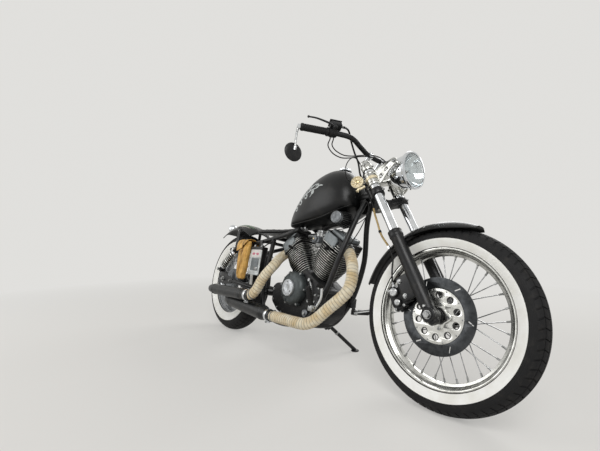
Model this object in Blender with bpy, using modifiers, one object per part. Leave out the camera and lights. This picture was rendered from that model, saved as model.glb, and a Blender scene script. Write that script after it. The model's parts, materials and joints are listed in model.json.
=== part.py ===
"""Custom motorcycle with a V-twin engine, spoked wheels and a side stand.

Every piece is modelled on the upright motorcycle: x runs forward from the rear axle, y to the left, z up
from the ground. The pieces hang on empties at the joint axes, and the root empty leans the whole machine
onto its side stand.
"""

from math import atan2, cos, pi, radians, sin, tan

import bmesh
import bpy
from mathutils import Matrix, Vector

# Clearances, in metres.
FIT = 0.0003            # between pieces that are fastened together
PIN_FIT = 0.0005        # between a pin or stem and the bore that it turns in
RUNNING_GAP = 0.006     # between a turning piece and its neighbours

# Chassis geometry.
WHEELBASE = 1.525
RAKE = radians(32)
FORK_OFFSET = 0.070     # fork legs ahead of the steering stem
LEAN = radians(11.17)

# Tyres and wheels.
FRONT_RIM_R, FRONT_RIM_HALF = 0.2545, 0.036
REAR_RIM_R, REAR_RIM_HALF = 0.2155, 0.048
FRONT_TYRE_R, FRONT_TYRE_HALF = FRONT_RIM_R + 0.0855, 0.050
REAR_TYRE_R, REAR_TYRE_HALF = REAR_RIM_R + 0.1165, 0.066
TYRE_STEPS = 36
RIM_LIP = 0.008
RIM_DEPTH = 0.020
RIM_WALL = 0.004
SPOKE_R = 0.0026
SPOKE_SIDES = 4
FRONT_SPOKES, REAR_SPOKES = 32, 32
HUB_R, HUB_FLANGE_R, FLANGE_T = 0.026, 0.046, 0.010
SPOKE_STAGGER = 0.003    # leading spokes lie this far outside the flange's middle, trailing ones inside
FRONT_FLANGE_Y = 0.030
REAR_FLANGE_Y = 0.036
AXLE_R = 0.0085
DISC_R, DISC_T, DISC_Y = 0.1415, 0.005, -0.050
DISC_INNER_R = 0.098
CARRIER_R = 0.100
CARRIER_T = 0.009
CARRIER_HOLES, CARRIER_HOLE_R, CARRIER_HOLE_PITCH_R = 10, 0.0125, 0.076

# Fork, measured up the legs from the front axle.
LEG_Y = 0.095
FORK_TUBE_R, SLIDER_R = 0.0205, 0.0265
SLIDER_TOP, SLIDER_BOTTOM = 0.367, -0.034
SLIDER_SOCKET = 0.200
SLIDER_BORE_R = FORK_TUBE_R + 2 * FIT
LOWER_YOKE, UPPER_YOKE, YOKE_T = 0.580, 0.724, 0.032
FORK_TUBE_TOP = 0.752
STEM_R = 0.013
HEAD_TUBE_R = 0.030
HEAD_GAP = 0.005
YOKE_EYE_R = 0.031
LEG_STEPS = 16
AXLE_BOSS_R = 0.026
AXLE_BOSS_OUT = 0.1225

# Frame tubes.
BACKBONE_R = 0.021
CRADLE_R, CRADLE_Y = 0.0135, 0.104
RAIL_R, RAIL_Y = 0.0125, 0.106
SHOCK_PIN_OUT = 0.165

# Engine: the two cylinders fan out from the crankshaft.
CRANK = (0.800, 0.345)
FRONT_TILT, REAR_TILT = radians(30), radians(-35)
FIN_R, FIN_CORE_R, FIN_COUNT, FIN_PITCH, FIN_T = 0.084, 0.056, 9, 0.0184, 0.0055
FIN_START = 0.112
BARREL_SIDES = 10
FIN_TAPER = 0.68
HEAD_LOW, HEAD_HIGH, HEAD_HALF = 0.276, 0.340, 0.074
PORT_ALONG, PORT_Y = 0.306, -0.030      # the exhaust port's middle, up the cylinder and sideways
CASE_HALF = 0.088
CARB_AT = (0.790, 0, 0.640)
COVER_R = 0.088

# Tank, seat and rear fender.
FENDER_T = 0.003
FRONT_FENDER_R, FRONT_FENDER_HALF = FRONT_TYRE_R + 0.022, 0.061
REAR_FENDER_R, REAR_FENDER_HALF = REAR_TYRE_R + 0.070, 0.085
REAR_FENDER_FROM, REAR_FENDER_TO, REAR_FENDER_STEPS = 60, 124, 9    # degrees above the horizon ahead
SEAT_T = 0.034

# Exhaust.
PIPE_R = 0.0275
PIPE_RESOLUTION = 2
UPPER_SILENCER_R, LOWER_SILENCER_R = 0.0325, 0.040

# Headlight.
LAMP_X, LAMP_Z, LAMP_R, LAMP_DEPTH = 1.333, 0.950, 0.086, 0.125
LAMP_TILT = radians(4)
LAMP_STEPS = 24
EAR_LOW, EAR_HIGH, EAR_Y, EAR_T = 0.615, 0.694, 0.0925, 0.006
EAR_CLAMP_R = FORK_TUBE_R + 0.006

# Handlebar.
BAR_R, GRIP_R, GRIP_LENGTH = 0.0125, 0.0165, 0.125
MIRROR_X, MIRROR_Z, MIRROR_FACING = 0.978, 0.955, (1, -0.15, 0.1)

MATERIALS = {   # name: (colour, roughness, metallic)
    "black_paint": ((0.010, 0.010, 0.011), 0.35, 0.0),
    "satin_black": ((0.015, 0.015, 0.016), 0.55, 0.0),
    "gloss_black": ((0.008, 0.010, 0.009), 0.12, 0.0),
    "engine_black": ((0.02, 0.02, 0.022), 0.6, 0.1),
    "chrome": ((0.75, 0.76, 0.78), 0.12, 1.0),
    "aluminium": ((0.55, 0.55, 0.54), 0.35, 1.0),
    "steel": ((0.32, 0.32, 0.33), 0.4, 1.0),
    "rubber": ((0.015, 0.015, 0.015), 0.75, 0.0),
    "tyre": ((0.02, 0.02, 0.02), 0.8, 0.0),
    "vinyl": ((0.02, 0.02, 0.02), 0.6, 0.0),
    "leather": ((0.62, 0.36, 0.07), 0.6, 0.0),
    "heat_wrap": ((0.60, 0.48, 0.28), 0.85, 0.0),
    "glass": ((0.8, 0.85, 0.85), 0.05, 0.0),
    "brass": ((0.6, 0.5, 0.3), 0.35, 1.0),
    "grey_plastic": ((0.22, 0.23, 0.24), 0.5, 0.0),
}

UP = Vector((-sin(RAKE), 0, cos(RAKE)))       # up the steering axis
AHEAD = Vector((cos(RAKE), 0, sin(RAKE)))     # square to it, forward
Y_AXIS = Vector((0, 1, 0))


def clear_scene():
    for obj in list(bpy.data.objects):
        bpy.data.objects.remove(obj)


def collection(name):
    made = bpy.data.collections.new(name)
    bpy.context.scene.collection.children.link(made)
    return made


clear_scene()
PARTS = collection("custom_motorcycle")
CUTTERS = collection("cutters")
BODIES = {}


def material(name):
    """The named finish, made once."""
    if name in bpy.data.materials:
        return bpy.data.materials[name]
    colour, roughness, metallic = MATERIALS[name]
    made = bpy.data.materials.new(name)
    made.use_nodes = True
    shader = made.node_tree.nodes["Principled BSDF"]
    shader.inputs["Base Color"].default_value = (*colour, 1)
    shader.inputs["Roughness"].default_value = roughness
    shader.inputs["Metallic"].default_value = metallic
    made.diffuse_color = (*colour, 1)
    return made


def linked(data, name="shape"):
    obj = bpy.data.objects.new(name, data)
    PARTS.objects.link(obj)
    return obj


def baked(obj, place=None):
    """The evaluated shape as a plain mesh object, moved by the matrix place."""
    bpy.context.view_layer.update()
    graph = bpy.context.evaluated_depsgraph_get()
    mesh = bpy.data.meshes.new_from_object(obj.evaluated_get(graph))
    shape = bmesh.new()
    shape.from_mesh(mesh)
    bmesh.ops.remove_doubles(shape, verts=shape.verts, dist=1e-6)
    shape.to_mesh(mesh)
    shape.free()
    if place is not None:
        mesh.transform(place)
    bpy.data.objects.remove(obj)
    mesh.shade_smooth()
    mesh.set_sharp_from_angle(angle=radians(38))
    return linked(mesh)


def frame_at(origin, z_axis, x_hint=(1, 0, 0)):
    """A placing matrix whose z axis points along z_axis."""
    z = Vector(z_axis).normalized()
    hint = Vector(x_hint)
    if abs(z.dot(hint)) > 0.99:
        hint = Vector((0, 0, 1))
    y = z.cross(hint).normalized()
    x = y.cross(z)
    turn = Matrix((x, y, z)).transposed().to_4x4()
    return Matrix.Translation(Vector(origin)) @ turn


def lathe(profile, origin, axis=Y_AXIS, steps=32, phase=0.0, closed=False):
    """Turns (radius, height) points round an axis. The outer side is listed from high to low."""
    mesh = bpy.data.meshes.new("profile")
    edges = [(i, i + 1) for i in range(len(profile) - 1)]
    if closed:
        edges.append((len(profile) - 1, 0))
    mesh.from_pydata([(r, 0, h) for r, h in profile], edges, [])
    obj = linked(mesh)
    turn = obj.modifiers.new("turn", "SCREW")
    turn.steps = turn.render_steps = steps
    turn.use_merge_vertices = True
    turn.merge_threshold = 1e-5
    return baked(obj, frame_at(origin, axis) @ Matrix.Rotation(phase, 4, "Z"))


def cylinder(radius, start, end, steps=16):
    """A straight round bar between two points."""
    start, end = Vector(start), Vector(end)
    shape = bmesh.new()
    bmesh.ops.create_cone(
        shape, cap_ends=True, segments=steps, radius1=radius, radius2=radius, depth=(end - start).length,
    )
    mesh = bpy.data.meshes.new("bar")
    shape.to_mesh(mesh)
    shape.free()
    mesh.transform(frame_at((start + end) / 2, end - start))
    mesh.shade_smooth()
    mesh.set_sharp_from_angle(angle=radians(38))
    return linked(mesh)


def box(size, centre, place=None, bevel=0.0):
    """A block with softened edges, its sides along the axes of place."""
    shape = bmesh.new()
    bmesh.ops.create_cube(shape, size=1)
    bmesh.ops.scale(shape, vec=size, verts=shape.verts)
    mesh = bpy.data.meshes.new("block")
    shape.to_mesh(mesh)
    shape.free()
    obj = linked(mesh)
    if bevel:
        edge = obj.modifiers.new("edges", "BEVEL")
        edge.width = bevel
        edge.segments = 1
        edge.limit_method = "ANGLE"
    where = Matrix.Translation(Vector(centre))
    return baked(obj, where @ place if place is not None else where)


def smooth_route(points, steps=4):
    """Points along a Catmull-Rom curve through the given points."""
    route = [Vector(p) for p in points]
    ends = [route[0] * 2 - route[1], *route, route[-1] * 2 - route[-2]]
    made = []
    for a, b, c, d in zip(ends, ends[1:], ends[2:], ends[3:]):
        for i in range(steps):
            t = i / steps
            made.append(
                0.5 * ((2 * b) + (c - a) * t + (2 * a - 5 * b + 4 * c - d) * t ** 2
                       + (3 * b - a - 3 * c + d) * t ** 3)
            )
    return [*made, route[-1]]


def tube(points, radius, resolution=2, steps=4):
    """A round tube along a smooth route, or along straight runs with steps=1."""
    data = bpy.data.curves.new("route", "CURVE")
    data.dimensions = "3D"
    data.bevel_depth = radius
    data.bevel_resolution = resolution
    data.use_fill_caps = True
    spline = data.splines.new("POLY")
    route = smooth_route(points, steps) if steps > 1 else [Vector(p) for p in points]
    spline.points.add(len(route) - 1)
    for point, where in zip(spline.points, route):
        point.co = (*where, 1)
    return baked(linked(data))


def plate(outline, thickness, place, bevel=0.0, holes=()):
    """A flat outline in the xy plane of place, thickened both ways. Holes are (x, y, radius)."""
    data = bpy.data.curves.new("outline", "CURVE")
    data.dimensions = "2D"
    data.fill_mode = "BOTH"
    data.extrude = thickness / 2 - bevel
    data.bevel_depth = bevel
    data.bevel_resolution = 1
    data.offset = -bevel
    rounds = [[(x + r * cos(a), y + r * sin(a)) for a in (2 * pi * i / 12 for i in range(12))]
              for x, y, r in holes]
    for ring in (outline, *rounds):
        spline = data.splines.new("POLY")
        spline.points.add(len(ring) - 1)
        for point, (x, y) in zip(spline.points, ring):
            point.co = (x, y, 0, 1)
        spline.use_cyclic_u = True
    return baked(linked(data), place)


def loft(rings):
    """A closed body through rings of equally many points."""
    mesh = bpy.data.meshes.new("loft")
    count = len(rings[0])
    verts = [p for ring in rings for p in ring]
    faces = [tuple(reversed(range(count))), tuple((len(rings) - 1) * count + i for i in range(count))]
    for k in range(len(rings) - 1):
        for i in range(count):
            j = (i + 1) % count
            faces.append((k * count + i, k * count + j, (k + 1) * count + j, (k + 1) * count + i))
    mesh.from_pydata(verts, [], faces)
    shape = bmesh.new()
    shape.from_mesh(mesh)
    bmesh.ops.recalc_face_normals(shape, faces=shape.faces)
    shape.to_mesh(mesh)
    shape.free()
    mesh.shade_smooth()
    mesh.set_sharp_from_angle(angle=radians(50))
    return linked(mesh)


def operand(obj):
    """Moves a shape that only cuts or joins others out of the parts."""
    PARTS.objects.unlink(obj)
    CUTTERS.objects.link(obj)
    obj.hide_render = True
    obj.display_type = "WIRE"
    return obj


def boolean(obj, other, operation):
    step = obj.modifiers.new(operation.lower(), "BOOLEAN")
    step.operation = operation
    step.solver = "EXACT"
    step.object = other
    return obj


def fuse(base, *others):
    for other in others:
        boolean(base, operand(other), "UNION")
    return base


def cut(base, *others):
    for other in others:
        boolean(base, operand(other), "DIFFERENCE")
    return base


def merged(*shapes):
    """Several shapes that don't touch, as one operand."""
    joined = bmesh.new()
    for shape in shapes:
        joined.from_mesh(shape.data)
        bpy.data.objects.remove(shape)
    mesh = bpy.data.meshes.new("set")
    joined.to_mesh(mesh)
    joined.free()
    return linked(mesh)


def hang(obj, pivot):
    """Makes a shape, and the shapes that cut or join it, follow a pivot."""
    obj.parent = pivot
    obj.matrix_parent_inverse = pivot.matrix_world.inverted()
    for step in obj.modifiers:
        if step.type == "BOOLEAN":
            hang(step.object, pivot)


def node(name, body, finish, obj):
    """Names a finished piece, gives it its finish and hangs it on its body's pivot."""
    obj.name = name
    obj.data.name = name
    obj.data.materials.clear()
    obj.data.materials.append(material(finish))
    hang(obj, BODIES[body])
    return obj


def leg_point(height, y=0.0):
    """A point on a fork leg's line, height measured up from the axle."""
    return FRONT_AXLE + UP * height + Y_AXIS * y


def stem_point(height, y=0.0):
    return leg_point(height, y) - AHEAD * FORK_OFFSET


def both(y):
    return (-y, y)


def tyre_profile(radius, half, rim_r, rim_half):
    """(radius, sideways) round a tyre's section: the crown from left to right, then the bead."""
    crown = [(radius - half * 0.92 * (1 - cos(a)), half * sin(a))
             for a in (radians(d) for d in (78, 56, 34, 12, -12, -34, -56, -78))]
    side = [(rim_r + (radius - rim_r) * 0.42, half), (rim_r + 0.010, half * 0.80)]
    bead = [(rim_r + FIT, rim_half - 0.001)]
    left = [*bead, *reversed(side)]
    right = [(r, -y) for r, y in reversed(left)]
    return [*left, *crown, *right]


def axle_height(profile):
    """How high the wheel's centre is when its flat facet rests on the ground as the machine leans."""
    facet = cos(pi / TYRE_STEPS)
    return max(r * facet + y * tan(LEAN) for r, y in profile)


FRONT_TYRE = tyre_profile(FRONT_TYRE_R, FRONT_TYRE_HALF, FRONT_RIM_R, FRONT_RIM_HALF)
REAR_TYRE = tyre_profile(REAR_TYRE_R, REAR_TYRE_HALF, REAR_RIM_R, REAR_RIM_HALF)
FRONT_AXLE = Vector((WHEELBASE, 0, axle_height(FRONT_TYRE)))
REAR_AXLE = Vector((0, 0, axle_height(REAR_TYRE)))
STEER_PIVOT = stem_point((LOWER_YOKE + UPPER_YOKE) / 2)
HEAD_LOW_END = LOWER_YOKE + YOKE_T / 2 + HEAD_GAP
HEAD_TOP_END = UPPER_YOKE - YOKE_T / 2 - HEAD_GAP
STAND_PIVOT = Vector((0.800, 0.138, 0.178))
STAND_DOWN = Vector((0.075, 0.150, -0.118)).normalized()    # along the leg where it is down
STAND_STOWED = Vector((-1.0, 0.12, 0.06)).normalized()      # along the leg where it is up
STAND_AXIS = STAND_DOWN.cross(STAND_STOWED).normalized()
STAND_LEG_R = 0.010
STAND_PIN_HALF = 0.012
STAND_FOOT = STAND_PIVOT + STAND_DOWN * (
    (STAND_PIVOT.z - STAND_PIVOT.y * tan(LEAN)) / (STAND_DOWN.y * tan(LEAN) - STAND_DOWN.z)
)
GROUND_UP = Vector((0, -sin(LEAN), cos(LEAN)))     # the ground's normal, seen from the upright machine
SWING_PIVOT = Vector((0.474, 0, 0.300))
SWING_SHAFT_R = 0.009
SWING_ARM_R = 0.014
AXLE_PLATE_Y, AXLE_PLATE_T = 0.127, 0.006
REAR_AXLE_END = AXLE_PLATE_Y + AXLE_PLATE_T / 2


def make_pivots():
    """The root empty and one empty at each joint's axis."""
    places = {
        "chassis": (Matrix(), None),
        "fork": (frame_at(STEER_PIVOT, UP), "chassis"),
        "front_wheel": (frame_at(FRONT_AXLE, Y_AXIS), "fork"),
        "rear_wheel": (frame_at(REAR_AXLE, Y_AXIS), "chassis"),
        "side_stand": (frame_at(STAND_PIVOT, STAND_AXIS), "chassis"),
    }
    for name, (place, parent) in places.items():
        pivot = bpy.data.objects.new(name + "_pivot", None)
        PARTS.objects.link(pivot)
        if parent:
            pivot.parent = BODIES[parent]
            pivot.matrix_parent_inverse = BODIES[parent].matrix_world.inverted()
        pivot.matrix_basis = place
        BODIES[name] = pivot
        bpy.context.view_layer.update()


def wheel_rim(axle, rim_r, half, steps=TYRE_STEPS):
    """A channel-section rim with two lips."""
    well = rim_r - RIM_DEPTH
    inner = well - RIM_WALL - 0.002
    shoulder = half - RIM_LIP
    profile = [
        (rim_r, half), (rim_r, shoulder + 0.004), (well, 0.012), (well, -0.012),
        (rim_r, -shoulder - 0.004), (rim_r, -half), (inner, -0.014), (inner, 0.014),
    ]
    return lathe(profile, axle, steps=steps, phase=pi / steps, closed=True)


def spokes(axle, rim_r, flange_y, count):
    """Tangent spokes, laced left and right, leading and trailing."""
    made = []
    reach = rim_r - RIM_DEPTH - RIM_WALL / 2
    root = HUB_FLANGE_R - 0.0056
    for i in range(count):
        side = 1 if i % 2 else -1
        lead = 1 if (i // 2) % 2 else -1
        rim_angle = 2 * pi * (i + 0.5) / count
        hub_angle = rim_angle + lead * radians(58)
        ends = [
            axle + Vector((r * cos(a), y, r * sin(a)))
            for r, a, y in ((root, hub_angle, side * (flange_y + lead * SPOKE_STAGGER)),
                            (reach, rim_angle, side * (0.005 + lead * SPOKE_STAGGER)))
        ]
        made.append(cylinder(SPOKE_R, *ends, steps=SPOKE_SIDES))
    return merged(*made)


def wheel_hub(axle, flange_y, left_end, right_end):
    """The barrel with two spoke flanges and a bore for the axle."""
    t = FLANGE_T / 2
    profile = [
        (0.0, left_end), (HUB_R, left_end), (HUB_R, flange_y + t), (HUB_FLANGE_R, flange_y + t),
        (HUB_FLANGE_R, flange_y - t), (HUB_R, flange_y - t - 0.006), (HUB_R, -flange_y + t + 0.006),
        (HUB_FLANGE_R, -flange_y + t), (HUB_FLANGE_R, -flange_y - t), (HUB_R, -flange_y - t),
        (HUB_R, right_end), (0.0, right_end),
    ]
    hub = lathe(profile, axle, steps=14)
    return hub, cylinder(AXLE_R + PIN_FIT, axle + Y_AXIS * (left_end + 0.02),
                         axle + Y_AXIS * (right_end - 0.02), 12)


def front_wheel_parts():
    tyre = lathe(FRONT_TYRE, FRONT_AXLE, steps=TYRE_STEPS, phase=pi / TYRE_STEPS, closed=True)
    node("front_tyre", "front_wheel", "tyre", tyre)
    hub, bore = wheel_hub(FRONT_AXLE, FRONT_FLANGE_Y, 0.052, DISC_Y + CARRIER_T / 2 + FIT)
    fuse(hub, wheel_rim(FRONT_AXLE, FRONT_RIM_R, FRONT_RIM_HALF))
    fuse(hub, spokes(FRONT_AXLE, FRONT_RIM_R, FRONT_FLANGE_Y, FRONT_SPOKES))
    node("front_wheel_rim", "front_wheel", "chrome", cut(hub, bore))

    y, t, c = DISC_Y, DISC_T / 2, CARRIER_T / 2
    profile = [
        (HUB_R - 0.006, y + c), (CARRIER_R, y + c), (CARRIER_R, y + t), (DISC_R, y + t), (DISC_R, y - t),
        (CARRIER_R, y - t), (CARRIER_R - 0.004, y - c), (HUB_R - 0.006, y - c),
    ]
    disc = lathe(profile, FRONT_AXLE, steps=30, closed=True)
    holes = []
    for i in range(CARRIER_HOLES):
        angle = 2 * pi * (i + 0.5) / CARRIER_HOLES
        at = FRONT_AXLE + Vector((cos(angle), 0, sin(angle))) * CARRIER_HOLE_PITCH_R
        holes.append(cylinder(CARRIER_HOLE_R, at + Y_AXIS * (y - 0.02), at + Y_AXIS * (y + 0.02), 8))
    node("brake_disc", "front_wheel", "aluminium", cut(disc, merged(*holes)))


def rear_wheel_parts():
    tyre = lathe(REAR_TYRE, REAR_AXLE, steps=TYRE_STEPS, phase=pi / TYRE_STEPS, closed=True)
    node("rear_tyre", "rear_wheel", "tyre", tyre)
    hub, bore = wheel_hub(REAR_AXLE, REAR_FLANGE_Y, 0.058, -0.062)
    drum = lathe([(0.0, -0.044), (0.080, -0.044), (0.080, -0.062), (0.070, -0.070), (0.0, -0.070)],
                 REAR_AXLE, steps=24)
    fuse(hub, wheel_rim(REAR_AXLE, REAR_RIM_R, REAR_RIM_HALF), drum)
    fuse(hub, spokes(REAR_AXLE, REAR_RIM_R, REAR_FLANGE_Y, REAR_SPOKES))
    node("rear_wheel_rim", "rear_wheel", "steel", cut(hub, bore))


def fork_parts():
    """Legs, yokes and the axle that carries the front wheel."""
    boss_in = -DISC_Y + CARRIER_T / 2 + 0.004 + RUNNING_GAP + 0.004
    for side, y in (("right", -LEG_Y), ("left", LEG_Y)):
        node("fork_tube_" + side, "fork", "chrome",
             cylinder(FORK_TUBE_R, leg_point(SLIDER_SOCKET, y), leg_point(FORK_TUBE_TOP, y), LEG_STEPS))
        profile = [
            (0.0, SLIDER_SOCKET - FIT), (SLIDER_BORE_R, SLIDER_SOCKET - FIT), (SLIDER_BORE_R, SLIDER_TOP),
            (SLIDER_R + 0.003, SLIDER_TOP), (SLIDER_R + 0.003, SLIDER_TOP - 0.022),
            (SLIDER_R, SLIDER_TOP - 0.026),
            (SLIDER_R, 0.060), (SLIDER_R - 0.006, SLIDER_BOTTOM), (0.0, SLIDER_BOTTOM),
        ]
        slider = lathe(profile, leg_point(0, y), UP, steps=LEG_STEPS)
        inner, outer = (boss_in, AXLE_BOSS_OUT) if y > 0 else (-boss_in, -AXLE_BOSS_OUT)
        fuse(slider, cylinder(AXLE_BOSS_R, FRONT_AXLE + Y_AXIS * inner, FRONT_AXLE + Y_AXIS * outer, 16))
        if y < 0:
            lug = box((0.075, LUG_T, 0.100), leg_point(0.135, y) - AHEAD * 0.040, frame_at((0, 0, 0), UP))
            fuse(slider, lug)
        axle_bore = cylinder(AXLE_R + FIT, FRONT_AXLE + Y_AXIS * inner * 0.8,
                             FRONT_AXLE + Y_AXIS * outer * 1.2, 12)
        node("slider_" + side, "fork", "satin_black", cut(slider, axle_bore))

    axle = cylinder(AXLE_R, FRONT_AXLE - Y_AXIS * (AXLE_BOSS_OUT + 0.01),
                    FRONT_AXLE + Y_AXIS * (AXLE_BOSS_OUT + 0.01), 12)
    nuts = [
        cylinder(0.013, FRONT_AXLE + Y_AXIS * s * (AXLE_BOSS_OUT + FIT),
                 FRONT_AXLE + Y_AXIS * s * (AXLE_BOSS_OUT + 0.012), 6)
        for s in (-1, 1)
    ]
    node("front_axle", "fork", "steel", fuse(axle, *nuts))

    stem = cylinder(STEM_R, stem_point(LOWER_YOKE - 0.02), stem_point(UPPER_YOKE + 0.02), 16)
    plates = []
    for height, scale in ((LOWER_YOKE, 1.0), (UPPER_YOKE, 0.95)):
        eye = YOKE_EYE_R * scale
        nose = 0.030 * scale
        outline = [
            (FORK_OFFSET - eye, LEG_Y - 0.010), (FORK_OFFSET - eye * 0.3, LEG_Y + eye * 0.9),
            (FORK_OFFSET + eye * 0.3, LEG_Y + eye * 0.95), (FORK_OFFSET + eye, LEG_Y),
            (FORK_OFFSET + eye * 0.7, LEG_Y - eye * 0.8), (nose + 0.016, 0.030),
        ]
        outline = [*outline, *[(x, -y) for x, y in reversed(outline)],
                   (-nose, -0.020), (-nose - 0.006, 0.0), (-nose, 0.020)]
        place = Matrix((AHEAD, Y_AXIS, UP)).transposed().to_4x4()
        place.translation = stem_point(height)
        plates.append(plate(outline, YOKE_T, place))
    fuse(stem, *plates)
    bores = [cylinder(FORK_TUBE_R + 2 * FIT, leg_point(LOWER_YOKE - 0.05, y),
                      leg_point(UPPER_YOKE + 0.05, y), LEG_STEPS)
             for y in both(LEG_Y)]
    node("yokes", "fork", "aluminium", cut(stem, *bores))


def arc_shell(axle, radius, half, start_deg, end_deg, drop, thickness, steps):
    """A mudguard: a rounded section swept round the axle between two angles above the horizon ahead."""
    section = [(radius - drop * (max(0.0, abs(sin(t)) - 0.3) / 0.7) ** 1.8, half * sin(t))
               for t in (radians(d) for d in (-90, -66, -44, -17, 17, 44, 66, 90))]
    rings_outer = []
    rings_inner = []
    for k in range(steps + 1):
        a = radians(start_deg + (end_deg - start_deg) * k / steps)
        out = Vector((cos(a), 0, sin(a)))
        rings_outer.append([axle + out * r + Y_AXIS * y for r, y in section])
        rings_inner.append([
            axle + out * (r - thickness) + Y_AXIS * (y * (half - thickness) / half) for r, y in section
        ])
    return loft([[*outer, *reversed(inner)] for outer, inner in zip(rings_outer, rings_inner)])


def front_fender_part():
    fender = arc_shell(FRONT_AXLE, FRONT_FENDER_R, FRONT_FENDER_HALF, 72, 166, 0.030, FENDER_T, 12)
    lug_height = FRONT_FENDER_R - 0.041
    inner = FRONT_FENDER_HALF - 0.004
    outer = LEG_Y - SLIDER_R - FIT - 0.0004
    for s in (-1, 1):
        centre = leg_point(lug_height, s * (inner + outer) / 2)
        fuse(fender, box((0.030, outer - inner, 0.032), centre, frame_at((0, 0, 0), UP)))
    node("front_fender", "fork", "satin_black", fender)


def bucket_profile(extra):
    """The lamp's outer form, or a slightly larger one to leave room for it."""
    profile = [
        (LAMP_R, 0.0), (LAMP_R + 0.001, -0.008), (LAMP_R - 0.003, -0.020), (LAMP_R - 0.009, -0.024),
        (LAMP_R - 0.012, -0.055), (LAMP_R - 0.028, -0.090), (0.030, 0.006 - LAMP_DEPTH),
    ]
    return [(0.0, extra), *[(r + extra, h) for r, h in profile], (0.0, -LAMP_DEPTH - extra)]


def headlight_parts():
    """Bucket, rim and lens, on two ears clamped round the fork tubes."""
    look = Vector((cos(LAMP_TILT), 0, sin(LAMP_TILT)))
    face = Vector((LAMP_X, 0, LAMP_Z))
    bucket = lathe(bucket_profile(0.0), face, look, steps=LAMP_STEPS)
    recess = lathe([(0.0, 0.01), (LAMP_R - 0.006, 0.01), (LAMP_R - 0.006, -0.010), (0.0, -0.010)],
                   face, look, steps=LAMP_STEPS)
    node("headlight", "fork", "chrome", cut(bucket, recess))
    lens = lathe([(0.0, 0.010), (0.030, 0.0085), (0.055, 0.005), (LAMP_R - 0.008, -0.001),
                  (LAMP_R - 0.0063, -0.004), (LAMP_R - 0.0063, -0.0097), (0.0, -0.0097)],
                 face, look, steps=LAMP_STEPS)
    node("headlight_lens", "fork", "glass", lens)

    bucket_clear = operand(lathe(bucket_profile(FIT), face, look, steps=LAMP_STEPS))
    to_ear = Matrix((AHEAD, UP, -Y_AXIS)).transposed().to_4x4()
    low, high = EAR_LOW, EAR_HIGH
    for side, s in (("right", -1), ("left", 1)):
        clamp = cylinder(EAR_CLAMP_R, leg_point(low, s * LEG_Y), leg_point(high, s * LEG_Y), LEG_STEPS)
        place = Matrix.Translation(leg_point(0, s * EAR_Y)) @ to_ear
        outline = [(0.010, low), (0.040, low - 0.004), (0.100, 0.640), (0.138, 0.648),
                   (0.148, 0.662), (0.140, 0.676), (0.060, high - 0.006), (0.010, high)]
        ear = plate(outline, EAR_T, place, holes=[(0.050, 0.642, 0.008), (0.086, 0.655, 0.0075)])
        at = leg_point(0.661) + AHEAD * 0.133
        bolt = cylinder(0.0085, at + Y_AXIS * s * 0.062, at + Y_AXIS * s * (EAR_Y + 0.008), 12)
        fuse(clamp, ear, bolt)
        boolean(clamp, bucket_clear, "DIFFERENCE")
        cut(clamp, cylinder(FORK_TUBE_R + 2 * FIT, leg_point(low - 0.03, s * LEG_Y),
                            leg_point(high + 0.03, s * LEG_Y),
                            LEG_STEPS))
        node("headlight_ear_" + side, "fork", "aluminium", clamp)


BAR_ROUTE = [
    (1.100, 0.000, 1.045), (1.101, 0.060, 1.047), (1.103, 0.120, 1.064), (1.102, 0.185, 1.084),
    (1.070, 0.245, 1.089), (1.035, 0.310, 1.086), (0.990, 0.400, 1.080),
]


CUP_LONG = 0.058


def bar_end(s):
    """The bar's end, its way out there, the control clamp's middle and the way its lever points."""
    end, before = (Vector((x, s * y, z)) for x, y, z in (BAR_ROUTE[-1], BAR_ROUTE[-2]))
    along = (end - before).normalized()
    ahead = (AHEAD - along * AHEAD.dot(along)).normalized()
    return end, along, end - along * (GRIP_LENGTH + 0.022), ahead


def brake_cup():
    """The middle of the right clamp's fluid cup, and the way in along the bar."""
    _, along, clamp_at, ahead = bar_end(-1)
    return clamp_at - along * 0.014 + ahead * 0.024 + UP * 0.022, -along


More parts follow.
